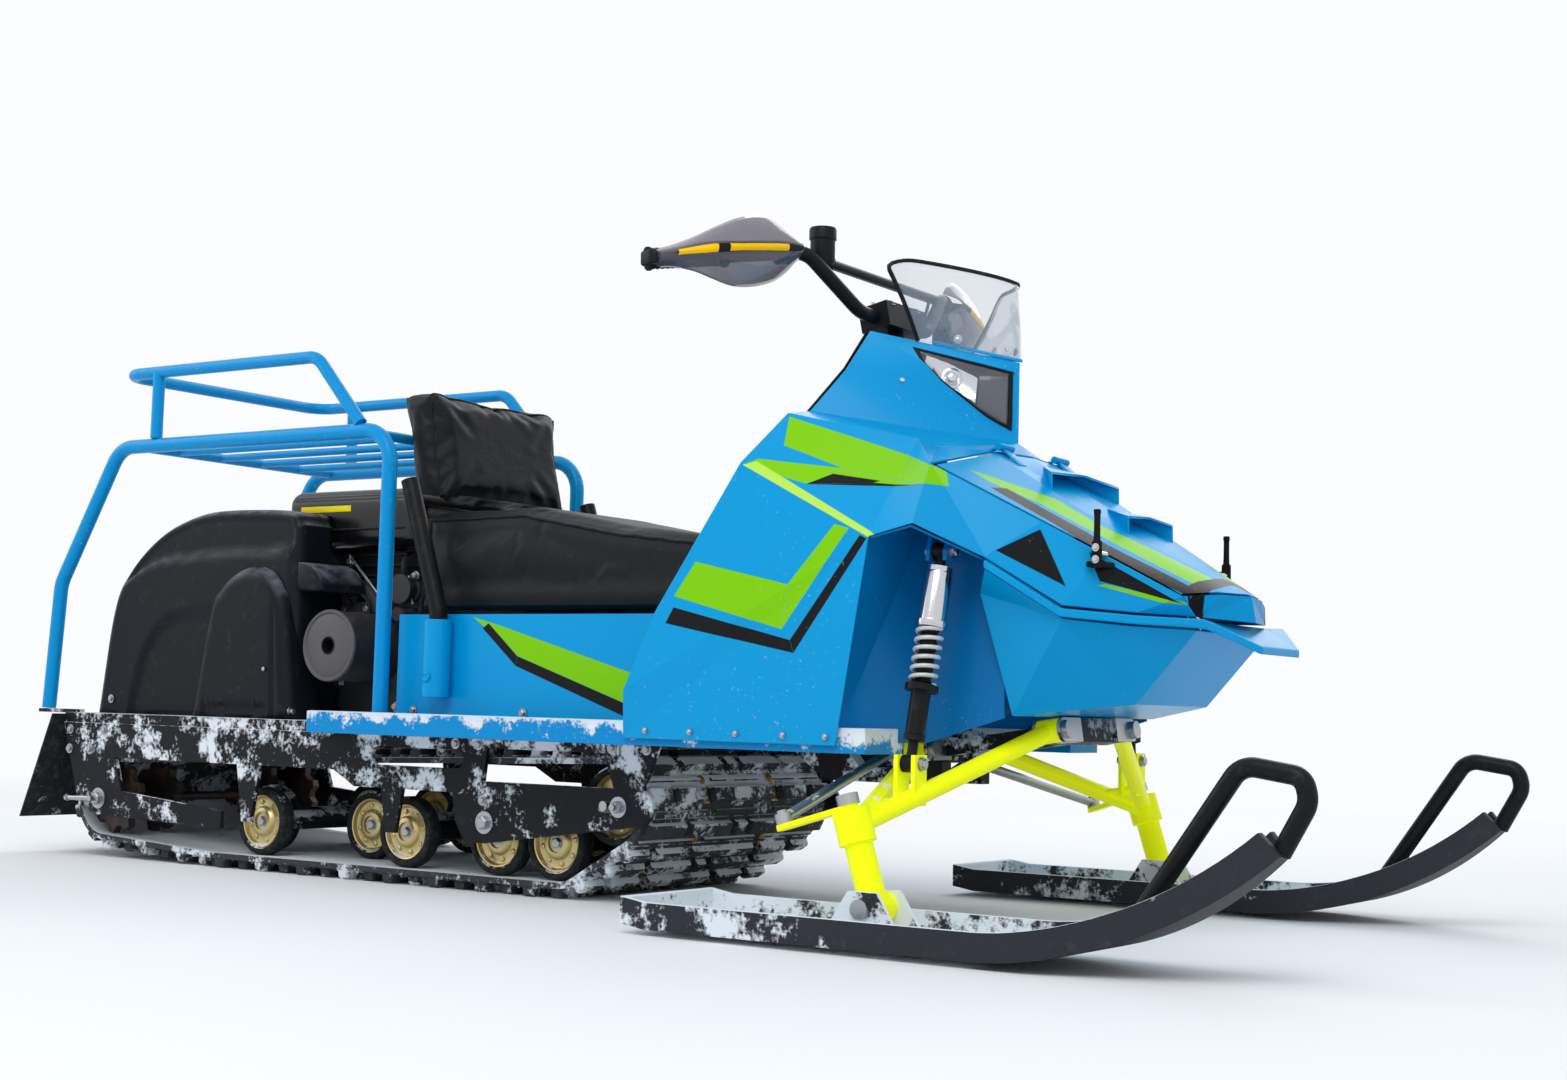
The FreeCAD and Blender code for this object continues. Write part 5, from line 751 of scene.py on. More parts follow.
# %% Wheels
def add_wheel(surfaces, x, y, z, radius, width):
    """Rubber ring, dished centre on both faces, bosses and hub; finishes 0 rubber, 1 zinc, 2 steel."""
    w, r = width / 2, radius
    tyre = [(-w + 3, r - 13), (-w, r - 11), (-w, r - 4), (-w + 2.5, r - 1), (-w + 6, r), (w - 6, r),
            (w - 2.5, r - 1), (w, r - 4), (w, r - 11), (w - 3, r - 13), (-w + 3, r - 13)]
    surfaces.grid(turned(tyre, (x, y, z), steps=48), True)
    for side in (1, -1):
        face = [(w - 3.5, r - 12.8), (w - 2.2, r - 14), (w - 3.2, r - 16), (w - 9.5, r - 19),
                (w - 10.5, r - 24), (w - 9, 27), (w - 3, 23.5), (w - 1.5, 21), (w - 1.5, 15.5), (w - 5, 14.5),
                (w - 5, 0)]
        face = np.array(face) * (side, 1)
        surfaces.grid(turned(face, (x, y, z), steps=48), True, shade=1)
        out = r - 25.5
        for k in range(8):
            turn = 2 * math.pi * (k + 0.25) / 8
            place = (x + out * math.cos(turn), y + side * (w - 10.5), z + out * math.sin(turn))
            boss = turned([(0, 4.6), (2.4, 4.0), (3.2, 2.2), (3.2, 0)], place, (0, side, 0), 10)
            surfaces.grid(boss, True, shade=1)
        add_bolt(surfaces, (x, y + side * (w - 6), z), (0, side, 0), 17, 5, 11, shade=2)


wheels = Surfaces()
wheel_z, contact_rear, contact_front = 85.0, -800.0, -10.0
idler_place, drive_place = (88.0, 149.0), (-1090.0, 108.0)
across_outer, across_inner = 216.0, 125.0
wheel_radius, idler_radius, wheel_width = 58.7, 62.9, 28
rows = [(share, across_outer) for share in (0.13, 0.565, 0.82, 0.975)]
rows += [(share, across_inner) for share in (0.03, 0.35, 0.72)]
for share, y in rows:
    x = contact_rear + (contact_front - contact_rear) * share
    for side in (1, -1):
        add_wheel(wheels, x, side * y, wheel_z, wheel_radius, wheel_width)
    wheels.grid(turned([(-y, 9.9), (y, 9.9)], (x, 0, wheel_z), steps=20), True, shade=3)
    tube = [(-y + 16, 0), (-y + 16, 17), (y - 16, 17), (y - 16, 0)]
    wheels.grid(turned(tube, (x, 0, wheel_z), steps=24), True, shade=3)
wheel_finishes = [tyre_rubber, zinc, steel, frame_black]
wheels.make("road_wheels_finished", wheel_finishes, "chassis", ["road_wheels"])

idlers = Surfaces()
idler_x, idler_z = idler_place
for y in (across_outer, across_inner, -across_inner, -across_outer):
    add_wheel(idlers, idler_x, y, idler_z, idler_radius, wheel_width)
for reach, radius, steps, shade in ((262, 8, 20, 2), (205, 16, 24, 3)):
    rod = [(-reach, 0), (-reach, radius), (reach, radius), (reach, 0)]
    idlers.grid(turned(rod, (idler_x, 0, idler_z), steps=steps), True, shade=shade)
idlers.make("idlers_finished", wheel_finishes, "chassis", ["idler_axle"])
rounded("drive_axle", rusty, "axle_steel", 0.0012, angle=30.0)
print(wheels.count, "points in the road wheels,", idlers.count, "in the idlers")

# %% [markdown]
# ## The track
# The real track is a rubber belt with three kinds of thing on it: rows of tall
# rubber lugs that are cut into blocks, thin ribs between the rows, and folded
# brass clips that the sprocket teeth run on. The belt's line is a closed loop
# of four arcs and four straight runs. It is sampled once, and then each block
# is a small grid in (along the belt, across it, out from it), laid on the loop
# by one formula, so that every block of a kind is the same piece repeated.

# %% The belt's line
def belt_circles(depth):
    """Centres and radii of the four arcs, for a line this deep below the lugs' tips."""
    return np.array([(contact_rear, wheel_z, wheel_z - depth), (contact_front, wheel_z, wheel_z - depth),
                     (*idler_place, 90 - depth), (*drive_place, 92 - depth)])


def loop_points(depth):
    """Closed line round the circles: each arc between its tangent angles; places and outward angles."""
    now = belt_circles(depth)
    after = np.roll(now, -1, axis=0)
    span = after[:, :2] - now[:, :2]
    heading = np.arctan2(span[:, 1], span[:, 0]) - np.pi / 2
    heading -= np.arcsin((after[:, 2] - now[:, 2]) / np.linalg.norm(span, axis=1))
    end = np.unwrap(heading)
    start = np.roll(end, 1)
    start[0] = end[-1] - 2 * np.pi
    turn = start[:, None] + np.linspace(0, 1, 60) * ((end - start) % (2 * np.pi))[:, None]
    arcs = now[:, None, :2] + now[:, None, 2:] * np.stack([np.cos(turn), np.sin(turn)], axis=-1)
    return arcs.reshape(-1, 2), turn.reshape(-1)


lug_height, lug_spacing = 16.0, 50
line, outward = loop_points(lug_height)
line = np.concatenate([line, line[:1]])
outward = np.unwrap(np.concatenate([outward, outward[:1]]))
measured = np.concatenate([[0], np.cumsum(np.linalg.norm(np.diff(line, axis=0), axis=1))])
belt_length = measured[-1]
print("belt is", round(belt_length), "mm long under its lugs")


def on_belt(along, across, out):
    """Points of the belt from the distance along it, the place across it and the height above it."""
    along, across, out = np.broadcast_arrays(along, across, out)
    at = along % belt_length
    x = np.interp(at, measured, line[:, 0])
    z = np.interp(at, measured, line[:, 1])
    angle = np.interp(at, measured, outward)
    return np.stack([x + out * np.cos(angle), across, z + out * np.sin(angle)], axis=-1)


# %% Belt, ribs, lugs and clips
track = Surfaces()
steps = np.linspace(0, belt_length, 300)
belt_section = np.array([(-249.5, -10), (-249.5, -1), (-248, 0), (248, 0), (249.5, -1), (249.5, -10),
                         (-249.5, -10)])
track.grid(on_belt(steps[:, None], belt_section[:, 0], belt_section[:, 1]))
lug_profile = np.array([(-17, -2), (-16, 1.5), (-11, 4), (-10, 13.5), (-7.5, 15.8), (7.5, 15.8), (10, 13.5),
                        (11, 4), (16, 1.5), (17, -2)])
wide_row = [(-248, -196), (-178, -106), (-84, 84), (106, 178), (196, 248)]
split_row = [(-240, -150), (-134, -28), (-14, 14), (28, 134), (150, 240)]
lug_count = int(belt_length / lug_spacing)
pitch = belt_length / lug_count
middles = (np.arange(lug_count) + 0.5) * pitch
for parity, row in enumerate((wide_row, split_row)):
    for start, end in row:
        across = np.array([start, start + 1.5, start + 5, end - 5, end - 1.5, end])[:, None]
        inset = np.array([0.55, 0.86, 1.0, 1.0, 0.86, 0.55])[:, None]
        for at in middles[parity::2]:
            block = on_belt(at + lug_profile[:, 0] * (0.8 + 0.2 * inset), across, lug_profile[:, 1] * inset)
            track.grid(block, True, True)
rib_profile = np.array([(-3, -1), (-2.2, 4.2), (2.2, 4.2), (3, -1)])
for at in middles - pitch / 2:
    for start, end in ((-240, -92), (-70, 70), (92, 240)):
        across = np.array([start, end])[:, None]
        track.grid(on_belt(at + rib_profile[:, 0], across, rib_profile[:, 1]), True, True)
track.make("track_finished", [track_rubber], "chassis", ["track"])

clips = Surfaces()
clip_across, clip_half = 95.0, 8.0
plate = np.array([-13.0, -12, 12, 13])[:, None]
turn = np.linspace(0, 2 * np.pi, 13)[:-1]
rivet_rim = 8.0 * np.array([1.0, 0.92, 0.55, 0.02])[:, None]
rivet_rise = np.array([1.5, 3.22, 4.6, 4.6])[:, None]
for at in middles[::2]:
    for across in (-clip_across, clip_across):
        clips.grid(on_belt(at + plate, across + np.array([-clip_half, clip_half]), 2.0))
        rivet = at + pitch / 2 + rivet_rim * np.cos(turn), across + rivet_rim * np.sin(turn), rivet_rise
        clips.grid(on_belt(*rivet), True, True)
clips.make("track_clips", [brass], "chassis")
print(lug_count, "rows of lugs,", track.count, "points in the track")

# %% [markdown]
# ## Drive cover
# The cover over the drive is one deep-drawn plastic shell with a second, taller
# bulge in front of it. Drawing the plastic leaves round shoulders and shallow
# steps that stiffen the flat side. A bevelled prism has the shoulders but not
# the steps, so here the side is a height field: the outline is pulled in
# towards its foot in rings, and each point's depth follows its distance to the
# outline and to two crease lines.

# %% Distances and soft steps
def line_distance(points, line):
    """Distance from every (x, z) point to the nearest stretch of an open line."""
    start, edge = line[:-1], np.diff(line, axis=0)
    away = points[..., None, :] - start
    share = np.clip((away * edge).sum(-1) / (edge ** 2).sum(-1), 0, 1)
    return np.linalg.norm(away - share[..., None] * edge, axis=-1).min(-1)


def soft_step(distance, width):
    """0 below zero, 1 past the width, with a smooth S between."""
    share = np.clip(distance / width, 0, 1)
    return share * share * (3 - 2 * share)


shoulder, beside_tank = 26, -121.5


def drawn_shell(surfaces, outline, front, back, relief, meets_tank=None):
    """Side with round shoulders and relief, and the wall behind its outline, short beside the tank."""
    even, last, inset = 32, 150, 95
    ring = np.concatenate([[0, 0.7, 2, 4, 7, 11, 16, 21, 26], np.linspace(even, last, 34)])[:, None]
    foot_x = np.clip(outline[:, 0], outline[0, 0] + inset, outline[-1, 0] - inset)
    core = np.stack([foot_x, np.full(len(outline), outline[0, 1])], axis=1)
    reach = np.linalg.norm(outline - core, axis=1)
    beyond = even / reach + (ring - even) / (last - even) * (1 - even / reach)
    share = np.minimum(1, np.where(ring <= even, ring / reach, beyond))
    points = outline + (core - outline) * share[..., None]
    deep = line_distance(points, outline)
    rim = shoulder * (1 - np.sqrt(np.clip(1 - (1 - np.clip(deep / shoulder, 0, 1)) ** 2, 0, 1)))
    y = front + rim - relief(points) * soft_step(deep - 6, 16)
    side = np.stack([points[..., 0], y, points[..., 1]], axis=-1)
    stop = np.full(len(outline), float(back))
    if meets_tank is not None:
        stop = np.where(meets_tank(outline), beside_tank, stop)
    rim_end = np.stack([side[0][:, 0], stop, side[0][:, 2]], axis=-1)
    wall = side[0] + (rim_end - side[0]) * np.linspace(1, 0, 8)[:, None, None]
    surfaces.grid(np.concatenate([wall[:-1], side]))


# %% Lines of the cover and its bulge
cover_box, bulge_box = ((-1192, 263.4), (530, 375)), ((-905, 263.4), (262, 270))


def line_in(box, corners, steps):
    """Smooth line through corners that are given as shares of a box, from the rear end of its foot."""
    foot, size = box
    return eased(np.array(corners) * size + foot, steps)


cover_line = line_in(cover_box, [(0, 0), (0.06, 0.52), (0.14, 0.72), (0.28, 0.88), (0.43, 0.965), (0.60, 1.0),
                                 (0.93, 0.985), (0.99, 0.93), (1.0, 0.80), (1.0, 0.0)], 12)
bulge_line = line_in(bulge_box, [(0, 0), (0.14, 0.70), (0.24, 0.86), (0.38, 0.96), (0.54, 1.0), (0.70, 0.97),
                                 (0.82, 0.86), (0.885, 0.70), (1.0, 0.0)], 12)
upper_crease = line_in(cover_box, [(0.06, 0.60), (0.15, 0.655), (0.25, 0.72), (0.36, 0.755), (0.7, 0.775),
                                   (1.02, 0.79)], 8)
arch_crease = line_in(cover_box, [(0.17, -0.1), (0.185, 0.04), (0.235, 0.27), (0.30, 0.41), (0.38, 0.485),
                                  (0.47, 0.51), (0.70, 0.51), (1.1, 0.51)], 8)


def above(points, line):
    """1 over a line that runs from left to right, -1 under it."""
    return np.where(points[..., 1] > np.interp(points[..., 0], line[:, 0], line[:, 1]), 1.0, -1.0)


def cover_relief(points):
    """Eight millimetres lower above the upper crease, and seven lower inside the arch."""
    over = soft_step(line_distance(points, upper_crease) * above(points, upper_crease), 7)
    inside = soft_step(-line_distance(points, arch_crease) * above(points, arch_crease), 9)
    right = points[..., 0] > arch_crease[1, 0]
    return -8.0 * over - 7.0 * inside * right


def bulge_relief(points):
    """A shallow foot panel, 26 mm high, and a crease that runs up the bulge's front edge."""
    x, z = points[..., 0], points[..., 1]
    low = soft_step(289 - z, 5) * soft_step(x + 868, 5) * soft_step(-700 - x, 5)
    strip = np.exp(-((x + 684 + (z - 263) * 0.06) / 5.0) ** 2)
    return -4.5 * low - 3.5 * strip * soft_step(470 - z, 30)


print(len(cover_line), "points on the cover's outline,", len(bulge_line), "on the bulge's")

# %% Cover, bulge and the roof behind it
cover_face, cover_back, bulge_face, bulge_back = -205, -92, -227, -150
cover = Surfaces()
drawn_shell(cover, cover_line, cover_face, cover_back, cover_relief,
            lambda line: (line[:, 0] > -800) & (line[:, 1] > 560))
drawn_shell(cover, bulge_line, bulge_face, bulge_back, bulge_relief)
shell = cover.make("drive_cover_finished", [cover_plastic], "chassis", ["drive_cover"],
                   angle=50)
thicken(shell, "Wall", 0.003, -1)
roof = eased([(-668, 540), (-645, 538), (-620, 526), (-604, 506), (-600, 488)], 8)
loop = np.concatenate([roof, [(-668, 488)]])
middle = loop.mean(axis=0)
rows = []
for y, share in ((-200, 0.80), (-199, 0.90), (-196, 0.97), (-192, 1.0), (-150, 1.0), (-97, 1.0)):
    ring = middle + (loop - middle) * share
    rows.append(np.stack([ring[:, 0], np.full(len(ring), float(y)), ring[:, 1]], axis=1))
cover_roof = Surfaces()
cover_roof.grid(np.array(rows), True, True)
cover_roof.make("cover_hood", [cover_plastic], "chassis", angle=50)
hardware = Surfaces()
for place, axis, head, height, washer in (
        ((-652, -212, 277), (1, 0, 0), 11, 5, 9), ((-706, -228, 350), (0, -1, 0), 8, 3, 0),
        ((-1140, -206, 290), (0, -1, 0), 9, 4, 8), ((-664, -196, 286), (1, 0, 0), 9, 4, 7)):
    add_bolt(hardware, place, axis, head, height, washer)
hardware.make("cover_hardware", [steel], "chassis")

# %% [markdown]
# ## Tank, muffler and what shows of the engine
# The tank is two pressed halves welded at a flange, with a ribbed plastic cap.
# The muffler is a can with a rolled seam and a dished end. Behind them a
# stock engine shows its bolts, a fuel hose, the plug lead and a throttle rod.
# The CAD solids are right in form, so they are kept as rounded copies, and
# only the seam, ribs, hoses and fasteners are added, as turned and swept grids.

# %% Tank
rounded("fuel_tank", tank_plastic, "tank_black", angle=40.0)
tank_middle, seam_height = np.array([-622.5, 6.0]), 603.0
corner = np.linspace(0, 2 * np.pi, 65)
square = np.stack([np.cos(corner), np.sin(corner)], axis=1)
seam = tank_middle + np.sign(square) * np.abs(square) ** 0.34 * (170.5, 127.0)
trim = Surfaces()
trim.grid(swept(np.column_stack([seam, np.full(len(seam), seam_height)]), slab(7, 4, 1.5)), True)
cap_place, cap_ribs = np.array([-540.0, 6, 676]), 18
cap = [(-2, 0), (-2, 33.5), (5, 33.5), (6, 30), (18, 29), (21, 25.5), (21.5, 12), (24, 10), (24, 0)]
trim.grid(turned(cap, cap_place, (0, 0, 1), 48), True)
for turn in np.arange(cap_ribs) * 2 * math.pi / cap_ribs:
    base = cap_place + (29 * math.cos(turn), 29 * math.sin(turn), 0)
    trim.grid(turned([(7.5, 0), (7.5, 2.6), (17, 2.2), (18, 0)], base, (0, 0, 1), 6), True)
trim.make("tank_trim", [black_plastic], "chassis", angle=40)
label = Surfaces()
label_path = np.linspace((-748, -118.4, 641.0), (-622, -118.4, 641.0), 8)
label.grid(swept(label_path, slab(11, 1.4, 0.5), up=(0, -1, 0)), True, True)
label.make("tank_label", [yellow], "chassis")

# %% Muffler
can = Surfaces()
# The outlet pipe is closed by a disc 24 mm inside the can, and pipe and disc are black: painted shade of the
# pipe's dark inside.
outlet = [(24, 0), (24, 12.5), (0, 13.2), (-1.6, 13.6), (-1.6, 15.4), (-0.4, 16)]
end_plate = [(-0.4, 15), (-0.4, 50), (1.6, 55), (-0.8, 57.5), (-0.8, 61), (1.5, 62.7), (5, 62.7), (7, 61)]
body = [(7, 61), (10, 60.4), (162, 60.4), (165, 62), (169, 62), (172, 59), (174.5, 50), (174.5, 0)]
band = [(60, 60.4), (60, 61.6), (72, 61.6), (72, 60.4)]
for profile, steps, shade in ((outlet, 40, 1), (end_plate, 64, 0), (body, 64, 2), (band, 64, 2)):
    can.grid(turned(profile, (-575, -205, 393), steps=steps), True, shade=shade)
muffler_end = metal("muffler_end", tint(92, 90, 92), 0.55, 0.45, lines=(2, 2, 2))
# The can's body is a darker copy of the end plates' grey: painted shade.
muffler_body_shaded = metal("muffler_body_shaded", tint(64, 64, 68), 0.5, 0.5, rust=0.12, lines=(1, 6, 1))
can.make("muffler_finished", [muffler_end, tube_black, muffler_body_shaded], "chassis", ["muffler"])

# %% Hoses, bolts and intake
fittings = Surfaces()
hose_round = circle(5.0, 10)
hoses = [
    [(-700, -60, 574), (-702, -90, 556), (-690, -104, 530), (-660, -106, 505), (-640, -100, 480),
     (-632, -88, 462)],
    [(-520, -70, 560), (-508, -96, 545), (-500, -104, 512), (-510, -106, 480), (-530, -100, 452),
     (-545, -88, 443)],
    [(-470, -60, 575), (-458, -84, 552), (-456, -92, 512), (-462, -96, 470), (-470, -92, 425),
     (-474, -88, 385)],
]
for points in hoses:
    fittings.grid(swept(eased(points, 8), hose_round, up=(1, 0.3, 0)), True, True)
rods = [[(-648, -90, 560), (-600, -98, 520), (-556, -98, 478)], [(-500, -92, 520), (-486, -94, 470)],
        [(-700, -90, 500), (-668, -94, 452)]]
for points in rods:
    fittings.grid(swept(eased(points, 3), circle(2.2, 8), up=(1, 0.3, 0)), True, True, shade=1)
for place in ((-646, -88, 548), (-655, -88, 462), (-600, -88, 462), (-500, -88, 445), (-465, -88, 446),
              (-468, -88, 330), (-520, -88, 290), (-660, -88, 330), (-486, -88, 520)):
    add_bolt(fittings, place, (0, -1, 0), 13, 7, 9, shade=1)
# A black box under the tank, shaped like an air box, fills the gap between engine and tank: its black is
# painted shade of the engine bay.
fittings.grid(swept([(-795, 40, 548), (-690, 40, 548)], slab(110, 84, 10)), True, True)
throat = [(0, 0), (0, 22), (10, 22), (12, 18), (30, 18), (32, 26), (38, 26), (38, 0)]
fittings.grid(turned(throat, (-498, -78, 496), (0, -1, 0), 24), True, shade=2)
bowl = [(0, 0), (0, 15), (26, 15), (30, 12), (30, 0)]
fittings.grid(turned(bowl, (-508, -80, 452), (0, -1, 0), 20), True, shade=2)
bracket = [(-690, -89, 470), (-640, -92, 452), (-590, -92, 452)]
fittings.grid(swept(bracket, slab(46, 4, 1), up=(0, -1, 0)), True, True, shade=2)
for x in (-750, -480):
    foot = swept([(x, -95, 271), (x, -60, 271)], slab(60, 12, 2), up=(0, 0, 1))
    fittings.grid(foot, True, True, shade=2)
    add_bolt(fittings, (x, -84, 277), (0, 0, 1), 15, 8, 12, shade=1)
plug = [(0, 0), (0, 11), (8, 12), (26, 9), (34, 7), (46, 6.5), (50, 4), (50, 0)]
fittings.grid(turned(plug, (-558, 40, 520), (1, 0, 0.35), 18), True)
lead = [(-508, 40, 537), (-488, 44, 532), (-470, 70, 500), (-468, 96, 450), (-474, 112, 410)]
fittings.grid(swept(eased(lead, 8), circle(3.6, 10), up=(0.2, 1, 0)), True, True)
fittings.make("engine_fittings", [tyre_rubber, steel, cast], "chassis")

# %% Recoil starter
pull = Surfaces()
starter_x, starter_y, starter_z = starter = (-640, 172, 400)
grille = [(-1, 0), (-1, 52), (2, 55), (5, 52), (5, 22), (8, 20), (8, 0)]
rings = [[(-1, radius - 3), (2.4, radius - 2), (2.4, radius + 2), (-1, radius + 3)] for radius in (70, 84)]
for profile in (grille, *rings):
    pull.grid(turned(profile, starter, (0, 1, 0), 48), True)
handle = eased([(-600, 181, 448), (-572, 184, 452), (-545, 181, 448)], 8)
pull.grid(swept(handle, slab(16, 12, 5)), True, True)
for turn in math.pi * (np.arange(6) + 0.5) / 3:
    place = (starter_x + 90 * math.cos(turn), starter_y, starter_z + 90 * math.sin(turn))
    add_bolt(pull, place, (0, 1, 0), 10, 4, 7, shade=1)
pull.make("starter_trim", [black_plastic, steel], "chassis")
print("tank, muffler and fittings ready")

# %% [markdown]
# ## Seat and backrest
# Both pads are foam under coated cloth. The cloth is pulled down over the foam,
# so faces crown, sides pull in between corners, and folds run out from where
# it is pinched. A solid's flat faces show none of that. Each pad starts as a
# slightly smaller copy of its solid, is remeshed into even squares, and is
# blown up by the Cloth simulation with pressure inside and no gravity. How far
# a point may move is capped, so the pad stays in the space of its solid. Folds
# are then pressed in as grooves along lines, and a piping is swept on top.

# %% Reading, moving and pressing points
def read_points(mesh):
    points = np.empty(3 * len(mesh.vertices), np.float32)
    mesh.vertices.foreach_get("co", points)
    return points.reshape(-1, 3).astype(float)


def write_points(mesh, points):
    mesh.vertices.foreach_set("co", points.astype(np.float32).ravel())
    mesh.update()


def read_normals(mesh):
    normals = np.empty(3 * len(mesh.vertices), np.float32)
    mesh.vertex_normals.foreach_get("vector", normals)
    return normals.reshape(-1, 3).astype(float)


def groove(points, start, end, width, depth):
    """Depth of a fold: a bell across the line from start to end that fades out at both its ends."""
    start, end = np.array(start, float) / 1000, np.array(end, float) / 1000
    edge = end - start
    share = np.clip(((points - start) @ edge) / (edge @ edge), 0, 1)
    away = np.linalg.norm(points - start - share[:, None] * edge, axis=1) * 1000
    taper = np.sin(np.pi * np.clip(share * 0.92 + 0.04, 0, 1)) ** 0.6
    dip = np.exp(-(away / width) ** 2)
    lip = np.exp(-((away - width * 1.8) / (width * 1.1)) ** 2)
    return depth * taper * (dip - 0.55 * lip)


def press(pad, folds, more=0.0):
    """Moves each point inwards by the depth of all folds, and by more, in millimetres."""
    points, normals = read_points(pad.data), read_normals(pad.data)
    depth = sum(groove(points, *fold) for fold in folds) + more
    write_points(pad.data, points - normals * depth[:, None] / 1000)


def upholster(pad, node):
    """Vinyl with a smooth skin over a pad, in place of its solid."""
    smooth(pad.data, 180)
    skin = pad.modifiers.new("Smooth skin", "SUBSURF")
    skin.levels = skin.render_levels = 1
    finish_object(pad, [seat_vinyl], body_of[node], [node])


# %% Blown pads
square_size, sim_frames = 0.0065, 20


def blown_pad(node, name, shrink, cap, keep_flat):
    """Copy of a solid: drawn in by shrink, remeshed, swollen as cloth, held within cap; in metres."""
    mesh = merged(node, 0.5)
    obj = link(bpy.data.objects.new(name, mesh))
    remesh = obj.modifiers.new("Even squares", "REMESH")
    remesh.mode = "VOXEL"
    remesh.voxel_size = square_size
    obj = settle(obj, name)
    points, normals = read_points(obj.data), read_normals(obj.data)
    start = points - normals * shrink
    write_points(obj.data, start)
    cloth = obj.modifiers.new("Cloth", "CLOTH")
    weave = cloth.settings
    weave.quality = 4
    weave.mass = 0.3
    weave.tension_stiffness = weave.compression_stiffness = 12
    weave.bending_stiffness = 0.5
    weave.use_pressure = True
    weave.uniform_pressure_force = 4
    weave.effector_weights.gravity = 0
    cloth.collision_settings.use_collision = False
    for number in range(1, sim_frames + 1):
        bpy.context.scene.frame_set(number)
    obj = settle(obj, name)
    moved = read_points(obj.data) - start
    far = np.linalg.norm(moved, axis=1, keepdims=True)
    moved = moved * np.minimum(1, cap / np.maximum(far, 1e-9)) * keep_flat(start)[:, None]
    write_points(obj.data, start + moved)
    bpy.context.scene.frame_set(1)
    return obj


def settle(obj, name):
    """The same object with what its modifiers make as its mesh."""
    graph = bpy.context.evaluated_depsgraph_get()
    graph.update()
    shaped = bpy.data.meshes.new_from_object(obj.evaluated_get(graph))
    obj.modifiers.clear()
    obj.data = shaped
    shaped.name = name
    return obj


# %% Seat
def seat_hold(points):
    """Full swelling at the top and sides, none at the foot that rests on the base."""
    return soft_step(points[:, 2] * 1000 - 455, 60)


seat_foot = 0.4466
seat = blown_pad("seat", "seat_pad", shrink=0.009, cap=0.009, keep_flat=seat_hold)
folds = [((-384, -150, 470), (-360, -203, 600), 7, 2.2), ((120, -205, 585), (60, -206, 520), 9, 1.5)]
for side in (-1, 1):
    folds += [((-150, side * 205, 618), (-60, side * 205, 560), 9, 1.6),
              ((-330, side * 204, 612), (-290, side * 206, 545), 7, 1.8)]
    folds += [((x, side * 198, 448), (x + 14, side * 205, 486), 6, 1.8) for x in (-300, -180, -60, 60, 170)]
x, _, z = read_points(seat.data).T * 1000
press(seat, folds, 2.0 * np.exp(-((x + 118) / 5.0) ** 2) * soft_step(z - 560, 20))
points = read_points(seat.data)
points[:, 2] = np.maximum(points[:, 2], seat_foot)
write_points(seat.data, points)
upholster(seat, "seat")
print(len(seat.data.vertices), "points in the seat")

# %% Backrest
backrest = blown_pad("backrest", "backrest_pad", shrink=0.010, cap=0.012,
                     keep_flat=lambda points: np.ones(len(points)))
back_front, back_foot, back_side = -345, 638, -182
lean = math.tan(math.radians(12))


def on_side(depth, height, y=back_side):
    """Point of the backrest: depth behind its front face, height over its foot, and how far across."""
    return (back_front - depth - height * lean, y, back_foot + height)


side_folds = [((90, 188), (40, 138), 8, 5.0), ((92, 160), (52, 176), 6, 4.0), ((92, 132), (30, 108), 8, 4.0),
              ((30, 60), (4, 96), 8, 3.5), ((52, 22), (4, 60), 9, 3.5), ((92, 52), (60, 20), 7, 3.0)]
face_folds = [(-150, 190, 60, 70), (-60, 196, 30, -50), (40, 196, 34, 46), (150, 188, 60, -64),
              (-140, 14, -50, 60), (130, 14, -52, -56), (-20, 12, -30, 70)]
folds = [(on_side(*start), on_side(*end), width, deep) for start, end, width, deep in side_folds]
folds += [(on_side(depth, height, y), on_side(depth, height - drop, y + reach), 9, 3.0)
          for y, height, drop, reach in face_folds for depth in (1, 91)]
press(backrest, folds)
upholster(backrest, "backrest")
print(len(backrest.data.vertices), "points in the backrest")

# %% [markdown]
# ### Piping and seams
# A seam between two panels of vinyl is a thin cord under the cloth. It follows
# the pad's own surface, so the line is drawn near the edge in plain numbers and
# then dropped onto the nearest point of the swollen pad.

# %% Piping along the edges
from mathutils.bvhtree import BVHTree


def on_surface(obj, line, lift):
    """Nearest points of a piece's surface to a line, lifted off it; lengths in millimetres."""
    points = read_points(obj.data)
    faces = [list(face.vertices) for face in obj.data.polygons]
    tree = BVHTree.FromPolygons(points.tolist(), faces)
    found = [tree.find_nearest((np.array(point) / 1000).tolist()) for point in line]
    return np.array([np.array(hit[0]) * 1000 + np.array(hit[1]) * lift for hit in found])


seat_edge = [(-376, 186, 480), (-381, 190, 560), (-376, 196, 606), (-330, 199, 617), (-240, 199, 619),
             (-160, 199, 621), (-60, 199, 606), (30, 199, 588), (120, 199, 573), (250, 199, 557)]
back_edge = [on_side(6, 8, 176), on_side(6, 100, 177), on_side(7, 180, 176), on_side(14, 196, 165),
             on_side(14, 197, 80), on_side(14, 197, 0)]
piping = Surfaces()
for pad, line, lift, radius, up in ((seat, seat_edge, 0.6, 2.6, (0, 0.3, 1)),
                                    (backrest, back_edge, 0.4, 2.4, (1, 0.3, 0.2))):
    for side in (-1, 1):
        laid = evened(on_surface(pad, eased(np.array(line) * (1, side, 1), 14), lift))
        piping.grid(swept(laid, circle(radius, 8), up=up), True, True)
piping.make("seat_piping", [seat_vinyl], "chassis", angle=80)

